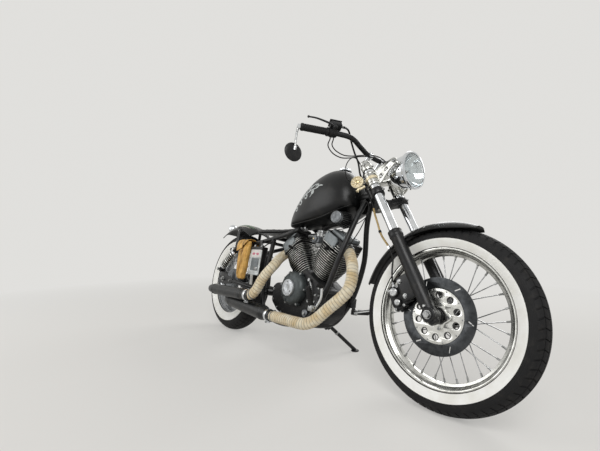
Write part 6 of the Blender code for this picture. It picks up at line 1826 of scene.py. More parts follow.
    def yoke_outline(self, scale: float) -> list[tuple[float, float]]:
        """x ahead of the stem, y sideways round a yoke."""
        eye, nose = 0.031 * scale, 0.030 * scale
        half = [(FORK_OFFSET - eye, LEG_Y - 0.010), (FORK_OFFSET - eye * 0.75, LEG_Y + eye * 0.62),
                (FORK_OFFSET, LEG_Y + eye * 1.02),
                (FORK_OFFSET + eye * 0.75, LEG_Y + eye * 0.62), (FORK_OFFSET + eye, LEG_Y),
                (FORK_OFFSET + eye * 0.7, LEG_Y - eye * 0.8),
                (nose + 0.016, 0.030)]
        return rounded([*half, *[(x, -y) for x, y in reversed(half)], (-nose, -0.022), (-nose - 0.006, 0.0),
                        (-nose, 0.022)], 0.012)

    def build(self) -> None:
        """Legs, yokes and axle."""
        for name, side in (("right", -1), ("left", 1)):
            self.leg(name, side)
        self.axle()
        piece = Piece("yoke_pair", Body.FORK)
        turn = Matrix((AHEAD, Y_AXIS, UP)).transposed().to_4x4()
        for height, scale, finish in ((self.yokes[0], 1.0, FRAME_BLACK), (self.yokes[1], 0.95, POLISHED)):
            place = Matrix.Translation(stem_point(height)) @ turn
            eyes = [circle(self.tube_r + 0.0004, 40, FORK_OFFSET, y) for y in (-LEG_Y, LEG_Y)]
            piece.add(plate(self.yoke_outline(scale), self.yoke_t, 0.0035, eyes), finish, place)
            pinch = [(place @ Vector((FORK_OFFSET + 0.0295 * scale, y, z)), AHEAD) for y in (-LEG_Y, LEG_Y)
                     for z in (-0.006, )]
            piece.add(studs(pinch, Head.CAP, 0.0056, 0.0070, ZINC), ZINC)
        piece.add(bar(0.013, stem_point(self.yokes[0] - 0.02), stem_point(self.yokes[1] + 0.02), 0.001, 32), ZINC)
        crown = frame_at(stem_point(self.yokes[1] + self.yoke_t / 2), UP)
        piece.add(lathe([(0, 0), (0.0225, 0), (0.0225, 0.0020), (0, 0.0020)], 40), POLISHED, crown)
        piece.add(lathe([(0, 0.001), (0.0180, 0.001), (0.0185, 0.003), (0.0185, 0.013), (0.0165, 0.0160),
                         (0, 0.0160)], 6), POLISHED, crown)
        piece.done(["yokes"])
        self.mudguard()

    def mudguard(self) -> None:
        """The front mudguard: a rolled-edge shell with its two stays."""
        piece = Piece("front_mudguard", Body.FORK)
        piece.add(guard_shell(FRONT_AXLE, 0.362, 0.061, 72, 166, 0.030, 0.003, 0.20), FENDER_SATIN)
        for side in (-1, 1):
            lug = block((0.030, 0.0115, 0.032), 0.003)
            centre = leg_point(0.321, side * 0.0626)
            piece.add(lug, FENDER_SATIN, Matrix.Translation(centre) @ frame_at((0, 0, 0), UP))
        rivets = []
        for side in (-1, 1):
            for d in (104, 112):
                a = radians(d)
                rivets.append((FRONT_AXLE + Vector((cos(a), 0, sin(a))) * 0.3445 + Y_AXIS * side * 0.0594,
                               Vector((0, side, 0))))
        piece.add(studs(rivets, Head.DOME, 0.0050, 0.0026, ZINC), ZINC)
        piece.done(["front_fender"], smooth=40)


def guard_shell(axle: Vector, radius: float, half: float, start: float, end: float, drop: float, thick: float,
                lip_share: float = 0.0) -> Mesh:
    """A mudguard with a rolled edge, swept round its axle.

    Args:
        axle: the wheel's centre.
        radius: its crown's outer radius.
        half: half its width.
        start: first angle above the horizon ahead, in degrees.
        end: last angle.
        drop: how much smaller its radius is at the edges.
        thick: the sheet's thickness.
        lip_share: the share of its length over which the front narrows to a tongue.

    Returns:
        The closed shell.
    """
    section = []
    for d in range(-90, 91, 5):
        t = radians(d)
        section.append((radius - drop * (max(0.0, abs(sin(t)) - 0.3) / 0.7) ** 1.8, half * sin(t)))
    outer = [(r, y) for r, y in section]
    inner = [(r - thick, y * (half - thick) / half) for r, y in reversed(section)]
    rim_r, rim_y = section[0][0] - 0.0012, half - 0.0022
    bead = [(rim_r + 0.0030 * sin(a), rim_y + 0.0030 * cos(a)) for a in (radians(d) for d in (60, 0, -60, -120, 180))]
    ring = [*outer[1:-1], *bead, *inner[1:-1], *[(r, -y) for r, y in reversed(bead)]]
    made = Mesh()
    rows, walk = [], []
    steps = round((end - start) / 1.6)
    for k in range(steps + 1):
        share = k / steps
        a = radians(start + (end - start) * share)
        lip = max(0.0, 1 - share / lip_share) ** 2 if lip_share else 0.0
        out = Vector((cos(a), 0, sin(a)))
        rows.append([axle + out * (radius + (r - radius) * (1 - 0.55 * lip)) + Y_AXIS * (y * (1 - 0.30 * lip)) for r,
                     y in ring])
        walk.append(radius * (a - radians(start)))
    return made.add(skin(rows, False, True, walk))


@dataclass
class Headlight:
    """A chromed bucket lamp with a fluted glass, on two drilled ears."""

    at: Vector = field(default_factory=lambda: Vector((1.333, 0, 0.950)))
    radius: float = 0.086
    depth: float = 0.125
    tilt: float = radians(4)
    ears: tuple[float, float] = (0.615, 0.694)

    def build(self) -> None:
        """Bucket, bowl, glass and ears."""
        look = Vector((cos(self.tilt), 0, sin(self.tilt)))
        place = frame_at(self.at, look)
        r, d = self.radius, self.depth
        bucket = [(r - 0.0075, 0.0005), (r - 0.0045, 0.0022), (r - 0.0010, 0.0012), (r + 0.0010, -0.0030),
                  (r + 0.0010, -0.0085),
                  (r - 0.0015, -0.0120), (r - 0.0025, -0.0190), (r - 0.0060, -0.0215), (r - 0.0085, -0.0225),
                  (r - 0.0090, -0.0300),
                  (r - 0.0120, -0.0550), (r - 0.0190, -0.0750), (r - 0.0290, -0.0920), (r - 0.0430, -0.1070),
                  (r - 0.0600, -0.1180),
                  (0.014, -d + 0.0005), (0, -d)]
        bowl = [(0, -0.060), (0.012, -0.0600), (0.030, -0.0545), (0.048, -0.0430), (0.062, -0.0280), (0.072, -0.0130),
                (r - 0.0080, -0.0030)]
        piece = Piece("headlight_bucket", Body.FORK)
        piece.add(lathe([*bowl, *bucket], 96), CHROME, place)
        bulb = lathe([(0, -0.061), (0.010, -0.061), (0.010, -0.046), (0.0065, -0.044), (0.0065, -0.024),
                      (0.0045, -0.019), (0, -0.018)], 24)
        piece.add(bulb, LABEL_PALE, place)
        shade = lathe([(0, -0.0150), (0.0130, -0.0165), (0.0150, -0.0230), (0.0140, -0.0236), (0.0118, -0.0180),
                       (0, -0.0166)], 32)
        piece.add(shade, CHROME, place)
        screw = place @ Vector((0, 0, -0.010)) + Vector((0, 0, 1)) * -(r + 0.0005)
        piece.add(studs([(screw, Vector((0, 0, -1)))], Head.CAP, 0.0035, 0.0035, ZINC), ZINC)
        piece.done(["headlight"])
        glass = Piece("headlight_glass", Body.FORK)
        rows = []
        outer = [(0.0002, 0.0100), (0.015, 0.0096), (0.030, 0.0085), (0.045, 0.0066), (0.058, 0.0043),
                 (0.069, 0.0018), (r - 0.0085, -0.0010),
                 (r - 0.0070, -0.0030), (r - 0.0070, -0.0045)]
        inner = [(q - (0.0015 if q > 0.01 else 0.0), h - 0.0028) for q, h in reversed(outer[:-1])]
        for q, h in [*outer, *inner]:
            row = []
            for i in range(96):
                a = 2 * pi * i / 96
                flute = 0.0
                if (q, h) in inner and q < r - 0.012:
                    flute = 0.00035 * cos(q * sin(a) * 2 * pi / 0.0085)
                row.append(Vector((q * cos(a), q * sin(a), h + flute)))
            rows.append(row)
        glass.add(skin(rows), LENS, place)
        glass.done(["headlight_lens"])
        self.ear("right", -1)
        self.ear("left", 1)

    def ear(self, name: str, side: int) -> None:
        """One drilled ear plate with its clamp and lamp bolt.

        Args:
            name: right or left.
            side: -1 or 1.
        """
        low, high = self.ears
        piece = Piece("lamp_bracket_" + name, Body.FORK)
        flat = Matrix.Translation(leg_point(0, side * 0.0925)) @ Matrix((AHEAD, UP, -Y_AXIS)).transposed().to_4x4()
        outline = rounded([(0.018, low), (0.040, low - 0.004), (0.100, 0.640), (0.138, 0.646), (0.150, 0.661),
                           (0.140, 0.678),
                           (0.060, high - 0.006), (0.018, high)], 0.009)
        holes = [circle(0.0085, 24, 0.052, 0.644), circle(0.0078, 24, 0.088, 0.655)]
        piece.add(plate(outline, 0.006, 0.0014, holes), POLISHED, flat)
        for h in (low + 0.004, high - 0.016):
            band = lathe([(0.0266, 0), (0.0272, 0.001), (0.0272, 0.011), (0.0266, 0.012), (0.0209, 0.012),
                          (0.0209, 0)], 48, loop=True)
            piece.add(band, POLISHED, frame_at(leg_point(h, side * LEG_Y), UP))
            lug = block((0.012, 0.015, 0.010), 0.002)
            piece.add(lug, POLISHED, Matrix.Translation(leg_point(h + 0.006, side * LEG_Y, -0.030)) @ frame_at(
                (0, 0, 0), UP))
            piece.add(studs([(leg_point(h + 0.006, side * (LEG_Y + 0.0072), -0.030), Y_AXIS * side)], Head.CAP,
                            0.0045, 0.005, ZINC), ZINC)
        sleeve = lathe([(0.0262, low + 0.017), (0.0264, low + 0.018), (0.0264, high - 0.018), (0.0262, high - 0.017),
                        (0.0209, high - 0.017),
                        (0.0209, low + 0.017)], 48, loop=True)
        piece.add(sleeve, POLISHED, frame_at(leg_point(0, side * LEG_Y), UP))
        at = leg_point(0.661, 0, 0.133)
        piece.add(bar(0.0080, at + Y_AXIS * side * 0.070, at + Y_AXIS * side * (0.0925 + 0.003), 0.001, 24), POLISHED)
        piece.add(studs([(at + Y_AXIS * side * 0.0955, Y_AXIS * side)], Head.HEX, 0.0082, 0.0065, ZINC), ZINC)
        piece.done(["headlight_ear_" + name])


@dataclass
class Handlebar:
    """The swept bar with its risers, grips, hand controls and bar-end mirror."""

    route: tuple[Point, ...] = (
        (1.100, 0.000, 1.045), (1.101, 0.060, 1.047), (1.103, 0.120, 1.064), (1.102, 0.185, 1.084),
        (1.070, 0.245, 1.089), (1.035, 0.310, 1.086), (0.990, 0.400, 1.080))
    bar_r: float = 0.0125
    grip_r: float = 0.0165
    grip_length: float = 0.125
    riser_y: float = 0.045

    def end(self, side: int) -> tuple[Vector, Vector, Vector, Vector]:
        """The bar's end, the way out along it, the control clamp's middle and the way its lever points."""
        tip, before = (Vector((x, side * y, z)) for x, y, z in (self.route[-1], self.route[-2]))
        along = (tip - before).normalized()
        ahead = (AHEAD - along * AHEAD.dot(along)).normalized()
        return tip, along, tip - along * (self.grip_length + 0.022), ahead

    def build(self) -> None:
        """Bar, grips, controls and mirror."""
        right = [Vector((x, -y, z)) for x, y, z in reversed(self.route)]
        line = [*right, *[Vector(p) for p in self.route[1:]]]
        piece = Piece("handlebar_tube", Body.FORK)
        piece.add(pipe(smooth_route(line, 6), self.bar_r, 28), FRAME_BLACK)
        for y in (-self.riser_y, self.riser_y):
            foot = stem_point(0.7403, y) + AHEAD * 0.030
            piece.add(bar(0.0150, foot, foot + UP * 0.014, 0.002, 32), CHROME)
            piece.add(pipe(smooth_route([foot + UP * 0.006, foot + UP * 0.030, foot + UP * 0.055,
                                         Vector((1.1, y, 1.040))], 6), 0.0122, 28), CHROME)
            cap = lathe([(0.0148, -0.013), (0.0158, -0.011), (0.0158, 0.011), (0.0148, 0.013), (0.0126, 0.013),
                         (0.0126, -0.013)], 40, loop=True)
            piece.add(cap, CHROME, frame_at((1.1005, y, 1.0458), (0, 1, 0.03)))
            heads = [(Vector((1.1005 + dx, y + dy, 1.0570)), Vector((0, 0, 1))) for dx in (-0.009, 0.009)
                     for dy in (-0.007, 0.007)]
            piece.add(studs(heads, Head.CAP, 0.0034, 0.0034, ZINC), ZINC)
        piece.done(["handlebar"])
        for name, side in (("right", -1), ("left", 1)):
            self.grip(name, side)
            self.controls(name, side)
        self.mirror()

    def grip(self, name: str, side: int) -> None:
        """A ribbed rubber grip with its flange and end plug.

        Args:
            name: right or left.
            side: -1 or 1.
        """
        tip, along, _, _ = self.end(side)
        length, r = self.grip_length, self.grip_r
        profile = [(0, 0.008), (r - 0.002, 0.008), (r, 0.0065), (r + 0.0015, 0.004), (r + 0.0015, -0.004),
                   (r, -0.007)]
        h = -0.012
        while h > -length + 0.020:
            profile += [(r - 0.0002, h), (r + 0.0008, h - 0.0012), (r + 0.0008, h - 0.0036), (r - 0.0002, h - 0.0048)]
            h -= 0.0066
        profile += [(r, -length + 0.012), (r + 0.0040, -length + 0.008), (r + 0.0046, -length + 0.004),
                    (r + 0.0040, -length), (0, -length)]
        piece = Piece("rubber_grip_" + name, Body.FORK)
        piece.add(lathe(profile, 40), RUBBER, frame_at(tip, along))
        piece.done(["grip_" + name])

    def controls(self, name: str, side: int) -> None:
        """Switch housing, perch and lever, with the fluid cup on the right.

        Args:
            name: right or left.
            side: -1 or 1.
        """
        tip, along, at, ahead = self.end(side)
        piece = Piece("hand_control_" + name, Body.FORK)
        place = frame_at(at, along, ahead)
        shell = [(0.0145, -0.019), (0.0195, -0.0185), (0.0212, -0.0160), (0.0212, -0.0008), (0.0206, 0.0),
                 (0.0212, 0.0008), (0.0212, 0.0160),
                 (0.0195, 0.0185), (0.0145, 0.019)]
        piece.add(lathe(shell, 40, loop=True), RUBBER, place)
        piece.add(block((0.016, 0.026, 0.030), 0.004), RUBBER, place @ Matrix.Translation((0.014, 0, -0.002)))
        for k, (x, finish) in enumerate(((-0.009, BOX_GREY), (0.001, PAPER), (0.010, BOX_GREY))):
            piece.add(block((0.006, 0.0042, 0.0065), 0.0015, 2), finish,
                      place @ Matrix.Translation((-0.0135, -0.016 - 0.001 * k, x)))
        piece.add(block((0.032, 0.020, 0.020), 0.005), FRAME_BLACK, place @ Matrix.Translation((0.026, 0, -0.002)))
        root = at + ahead * 0.034
        blade = smooth_route([root, root + along * 0.030 + ahead * 0.012, tip - along * 0.055 + ahead * 0.058,
                              tip - along * 0.015 + ahead * 0.058], 8)
        gone = sum((b - a).length for a, b in zip(blade, blade[1:]))
        piece.add(pipe(blade, lambda s, a: (0.0058 - 0.0020 * s / gone) * (1.15 if abs(sin(a)) > 0.7 else 0.92), 20),
                  FRAME_BLACK)
        ball = lathe([(0, -0.0058), (0.0036, -0.0048), (0.0056, -0.0016), (0.0056, 0.0016), (0.0036, 0.0048),
                      (0, 0.0058)], 20)
        piece.add(ball, FRAME_BLACK, Matrix.Translation(blade[-1]))
        piece.add(studs([(root + UP * 0.010, UP)], Head.CAP, 0.0045, 0.0040, ZINC), ZINC)
        if side < 0:
            middle = at - along * 0.014 + ahead * 0.024 + UP * 0.022
            cup = Matrix.Translation(middle) @ frame_at((0, 0, 0), along, ahead)
            up_local = (cup.to_3x3().inverted() @ UP).normalized()
            piece.add(block((0.038, 0.029, 0.056), 0.007, 4), FRAME_BLACK, cup)
            lid = cup @ Matrix.Translation(up_local * 0.0145)
            piece.add(block((0.041, 0.005, 0.059), 0.002, 2), FRAME_BLACK, lid)
            heads = [(lid @ (up_local * 0.0022 + Vector((x, 0, z))), UP) for x in (-0.014, 0.014)
                     for z in (-0.023, 0.023)]
            piece.add(studs(heads, Head.CAP, 0.0030, 0.0022, ZINC), ZINC)
            eye = lathe([(0, -0.0010), (0.0070, -0.0010), (0.0070, 0.0016), (0.0052, 0.0022), (0, 0.0022)], 24)
            piece.add(eye, LENS, frame_at(middle - ahead * 0.0195, -ahead))
        piece.done(["controls_" + name])

    def mirror(self) -> None:
        """The bar-end mirror that hangs below the right grip."""
        tip, along, _, _ = self.end(-1)
        hook = tip + along * 0.018
        piece = Piece("bar_end_mirror", Body.FORK)
        piece.add(bar(0.0120, tip + along * 0.0083, hook + along * 0.004, 0.0015, 32), CHROME)
        stem = smooth_route([hook, hook + Vector((0, -0.002, -0.030)), hook + Vector((0, -0.002, -0.060)),
                             Vector((0.985, hook.y - 0.002, 0.975))], 8)
        piece.add(pipe(stem, 0.0052, 20), ZINC)
        head = frame_at((0.978, hook.y - 0.002, 0.955), (1, -0.15, 0.1))
        shell = [(0, 0.0080), (0.014, 0.0079), (0.026, 0.0072), (0.036, 0.0056), (0.0425, 0.0028), (0.0445, -0.0004),
                 (0.0445, -0.0030), (0.0432, -0.0040),
                 (0.0405, -0.0040), (0.0402, -0.0028)]
        piece.add(lathe([*shell, (0, -0.0028)], 72), FRAME_BLACK, head)
        piece.add(lathe([(0, -0.0027), (0.0398, -0.0027), (0.0398, -0.0035), (0, -0.0035)], 72), MIRROR, head)
        piece.add(bar(0.0075, (0.986, hook.y - 0.002, 0.980), (0.984, hook.y - 0.002, 0.962), 0.001, 20), CHROME)
        piece.done(["mirror"])


@dataclass
class FrontBrake:
    """The two-pot caliper, its hose from the hand lever, and the banjo unions."""

    hose_r: float = 0.0045
    thin_r: float = 0.0034
    changes: tuple[float, float] = (0.56, 0.80)
    face: tuple[float, float] = (-0.033, -0.083)
    at: Vector = field(default_factory=lambda: leg_point(0.120, 0, -0.112))
    lower: tuple[Point, ...] = ((1.194, -0.070, 0.745), (1.221, -0.074, 0.696), (1.251, -0.076, 0.640),
                                (1.301, -0.079, 0.585),
                                (1.326, -0.080, 0.539), (1.327, -0.078, 0.491))
    upper: tuple[Point, ...] = ((1.066, -0.082, 1.005), (1.058, -0.110, 1.050), (1.062, -0.150, 1.098),
                                (1.080, -0.190, 1.124))

    def build(self, bars: Handlebar) -> None:
        """Caliper and hose.

        Args:
            bars: the handlebar that carries the lever.
        """
        tilt = frame_at((0, 0, 0), UP)
        centre = self.at + Y_AXIS * (self.face[0] + self.face[1]) / 2
        piece = Piece("brake_calliper_body", Body.FORK)
        for y, wide in ((self.face[0] - 0.0045, 0.0085), (self.face[1] + 0.0125, 0.0240)):
            piece.add(block((0.060, wide, 0.094), 0.007, 4), ENGINE_BLACK,
                      Matrix.Translation(self.at + Y_AXIS * y) @ tilt)
        bridge = block((0.017, 0.050, 0.060), 0.004)
        piece.add(bridge, ENGINE_BLACK, Matrix.Translation(centre - AHEAD * 0.0225) @ tilt)
        for h in (-0.020, 0.024):
            pot = self.at + UP * h + Y_AXIS * (self.face[1] + 0.004)
            big = 0.0205 if h > 0 else 0.0165
            piece.add(lathe([(0, 0), (big, 0), (big, 0.010), (big - 0.003, 0.0135), (0, 0.0135)], 44), ENGINE_BLACK,
                      frame_at(pot, (0, -1, 0)))
            cap = [(0, 0.012), (big - 0.0035, 0.012), (big - 0.0035, 0.0150), (big - 0.0055, 0.0168), (0, 0.0172)]
            piece.add(lathe(cap, 44), ZINC, frame_at(pot, (0, -1, 0)))
        piece.add(block((0.040, 0.012, 0.080), 0.003), ENGINE_BLACK,
                  Matrix.Translation(leg_point(0.120, -0.0817, -0.068)) @ tilt)
        spots = [(self.at + UP * h + AHEAD * x + Y_AXIS * (self.face[1] + 0.0008), Vector((0, -1, 0)))
                 for h, x in ((0.040, 0.020), (-0.040, 0.020), (0.040, -0.022), (-0.040, -0.022))]
        piece.add(studs(spots, Head.CAP, 0.0055, 0.0052, ZINC), ZINC)
        nipple = self.at + UP * 0.046 + Y_AXIS * -0.046 + AHEAD * 0.010
        piece.add(bar(0.0030, nipple, nipple + UP * 0.014, 0.0006, 12), BRASS)
        inlet = self.at + Y_AXIS * -0.070 + UP * 0.0486
        banjo = lathe([(0, -0.004), (0.0080, -0.004), (0.0080, 0.004), (0, 0.004)], 28)
        piece.add(banjo, ZINC, frame_at(inlet + UP * 0.002, (0, -1, 0)))
        piece.add(studs([(inlet + UP * 0.002 + Y_AXIS * -0.004, Vector((0, -1, 0)))], Head.HEX, 0.0060, 0.0060, ZINC),
                  ZINC)
        piece.done(["brake_caliper"])
        _, along, clamp_at, ahead = bars.end(-1)
        inward = -along
        cup_end = clamp_at - along * 0.014 + ahead * 0.024 + UP * 0.022 + inward * (0.029 + 0.0008)
        beside = [stem_point(h, -0.0638) + AHEAD * 0.0091 for h in (0.760, 0.724, 0.650, 0.596, 0.560)]
        route = smooth_route([cup_end, cup_end + inward * 0.006, cup_end + inward * 0.014,
                              *[Vector(p) for p in reversed(self.upper)], *beside,
                              *[Vector(p) for p in self.lower], inlet + UP * 0.022, inlet + UP * 0.010, inlet], 6)
        fine = even_route(route, 0.005)
        self.line(fine)
        self.unions(fine)

    def line(self, fine: Sequence[Vector]) -> None:
        """The hose itself: dark above, braided in the middle and thin below.

        Args:
            fine: its even middle line, from the perch to the calliper.
        """
        hose = Piece("front_brake_line", Body.FORK)
        ends = [round((len(fine) - 1) * share) for share in (0.0, *self.changes, 1.0)]
        for first, last, radius, finish in zip(ends, ends[1:], (self.hose_r, self.hose_r, self.thin_r),
                                               (RUBBER, HOSE_TAN, RUBBER)):
            hose.add(pipe(fine[first:last + 1], radius, 14), finish)
        obj = hose.done(["brake_hose"])
        path = [STANCE @ p for p in fine]
        tuple(path[0])
        sum((b - a).length for a, b in zip(path, path[1:]))
        [tuple(p) for p in path]

    def unions(self, fine: Sequence[Vector]) -> None:
        """The hose's end sleeves, its hexagon union and its rubber spacer.

        Args:
            fine: the hose's even middle line.
        """
        piece = Piece("brake_line_unions", Body.FORK)
        union = round((len(fine) - 1) * self.changes[1])
        piece.add(bar(0.0068, fine[union - 1], fine[union + 2], 0.0010, 6), CHROME)
        for a, b in ((fine[0], fine[4]), (fine[-1], fine[-5])):
            piece.add(bar(0.0058, a, b, 0.0008, 20), ZINC)
        at = int(len(fine) * 0.70)
        spacer = lathe([(0.0046, -0.006), (0.0066, -0.005), (0.0066, 0.005), (0.0046, 0.006)], 20, loop=True)
        piece.add(spacer, RUBBER, frame_at(fine[at], fine[at + 1] - fine[at]))
        piece.done(())


@dataclass
class ChassisTubes:
    """The welded cradle frame, with its neck, gussets, cross tubes and brackets."""

    down: tuple[Point, ...] = (
        (1.092, -0.020, 0.822), (1.060, -0.048, 0.705), (1.034, -0.091, 0.533), (0.985, -0.102, 0.362),
        (0.932, -0.104, 0.270), (0.865, -0.104, 0.198), (0.760, -0.104, 0.166), (0.640, -0.104, 0.160),
        (0.530, -0.104, 0.185), (0.478, -0.104, 0.250), (0.466, -0.104, 0.380), (0.492, -0.104, 0.612))
    rail: tuple[Point, ...] = (
        (0.655, -0.012, 0.718), (0.676, -0.055, 0.694), (0.672, -0.096, 0.664), (0.610, -0.106, 0.641),
        (0.492, -0.106, 0.618), (0.240, -0.106, 0.574), (0.110, -0.106, 0.552), (0.000, -0.106, 0.540))
    spine: tuple[tuple[float, float], ...] = ((1.118, 0.848), (1.000, 0.838), (0.850, 0.812), (0.720, 0.763),
                                              (0.620, 0.711), (0.500, 0.632))
    ties: tuple[tuple[float, float, float], ...] = ((0.984, 0.362, 0.011), (0.560, 0.174, 0.011),
                                                    (0.505, 0.622, 0.011),
                                                    (0.400, 0.600, 0.010), (0.474, 0.300, 0.009))
    cradle_r: float = 0.0135
    rail_r: float = 0.0125

    def build(self) -> None:
        """Every tube of the frame and what is welded to it."""
        piece = Piece("welded_frame", Body.CHASSIS)
        low, high = 0.601, 0.703
        neck = frame_at(stem_point(low), UP)
        length = high - low
        piece.add(lathe([(0, 0), (0.0300, 0), (0.0310, 0.002), (0.0310, 0.011), (0.0285, 0.014), (0.0280, 0.018),
                         (0.0280, length - 0.018),
                         (0.0285, length - 0.014), (0.0310, length - 0.011), (0.0310, length - 0.002),
                         (0.0300, length), (0, length)], 48),
                  FRAME_BLACK, neck)
        piece.add(pipe(smooth_route([(x, 0, z) for x, z in self.spine], 6), 0.021, 32), FRAME_BLACK)
        beads = []
        for side in (-1, 1):
            piece.add(pipe(smooth_route(mirrored(self.down, side), 5), self.cradle_r, 26), FRAME_BLACK)
            piece.add(pipe(smooth_route(mirrored(self.rail, side), 5), self.rail_r, 26), FRAME_BLACK)
            flat = Matrix(((1, 0, 0, 0), (0, 0, -1, side * 0.014), (0, 1, 0, 0), (0, 0, 0, 1)))
            piece.add(plate(rounded([(1.088, 0.840), (1.083, 0.770), (1.060, 0.760), (0.985, 0.800), (0.960, 0.825)],
                                    0.010), 0.005, 0.001), FRAME_BLACK, flat)
            piece.add(block((0.034, 0.005, 0.165), 0.0015, 2), FRAME_BLACK,
                      Matrix.Translation((0.030, side * 0.0878, 0.624)))
            piece.add(block((0.034, 0.020, 0.018), 0.004, 2), FRAME_BLACK,
                      Matrix.Translation((0.030, side * 0.097, 0.547)))
            piece.add(bar(0.0070, (0.124, side * 0.098, 0.545), (0.124, side * 0.165, 0.535), 0.001, 20), ZINC)
            piece.add(studs([(Vector((0.124, side * 0.1645, 0.5352)), Vector((0, side, 0)))], Head.DOME, 0.0085,
                            0.0050, CHROME), CHROME)
            for x, z, r in ((0.492, 0.612, self.cradle_r), (0.124, 0.549, self.rail_r)):
                beads.append((Vector((x, side * 0.105, z)), r))
            for z in (0.600, 0.680):
                piece.add(studs([(Vector((0.030, side * 0.0903, z)), Vector((0, side, 0)))], Head.HEX, 0.0062, 0.0060,
                                ZINC), ZINC)
        for x, z, r in self.ties:
            piece.add(bar(r, (x, -0.104, z), (x, 0.104, z), 0.001, 24), FRAME_BLACK)
        piece.add(block((0.0165, 0.090, 0.016), 0.002, 2), FRAME_BLACK, Matrix.Translation((0.9762, 0, 0.362)))
        for at, r in beads:
            ring = lathe([(r + 0.0030 * cos(a), 0.0036 * sin(a)) for a in (2 * pi * i / 8 for i in range(8))], 26,
                         loop=True)
            piece.add(ring, FRAME_BLACK, frame_at(at - Vector((0, 0, 0.013)), (0.10, 0, 1)))
        self.stand_lug(piece)
        piece.done(["frame"])

    def stand_lug(self, piece: Piece) -> None:
        """The lug that the side stand's pin runs in.

        Args:
            piece: the frame's piece.
        """
        pivot = UPRIGHT @ joint_place("stand_swing")[0]
        axis = (UPRIGHT.to_3x3() @ joint_place("stand_swing")[1]).normalized()
        top = pivot - axis * 0.0123
        piece.add(bar(0.017, top - axis * 0.008, top, 0.001, 32), FRAME_BLACK)
        piece.add(bar(0.010, top - axis * 0.010, (pivot.x, 0.104, 0.173), 0.001, 24), FRAME_BLACK)


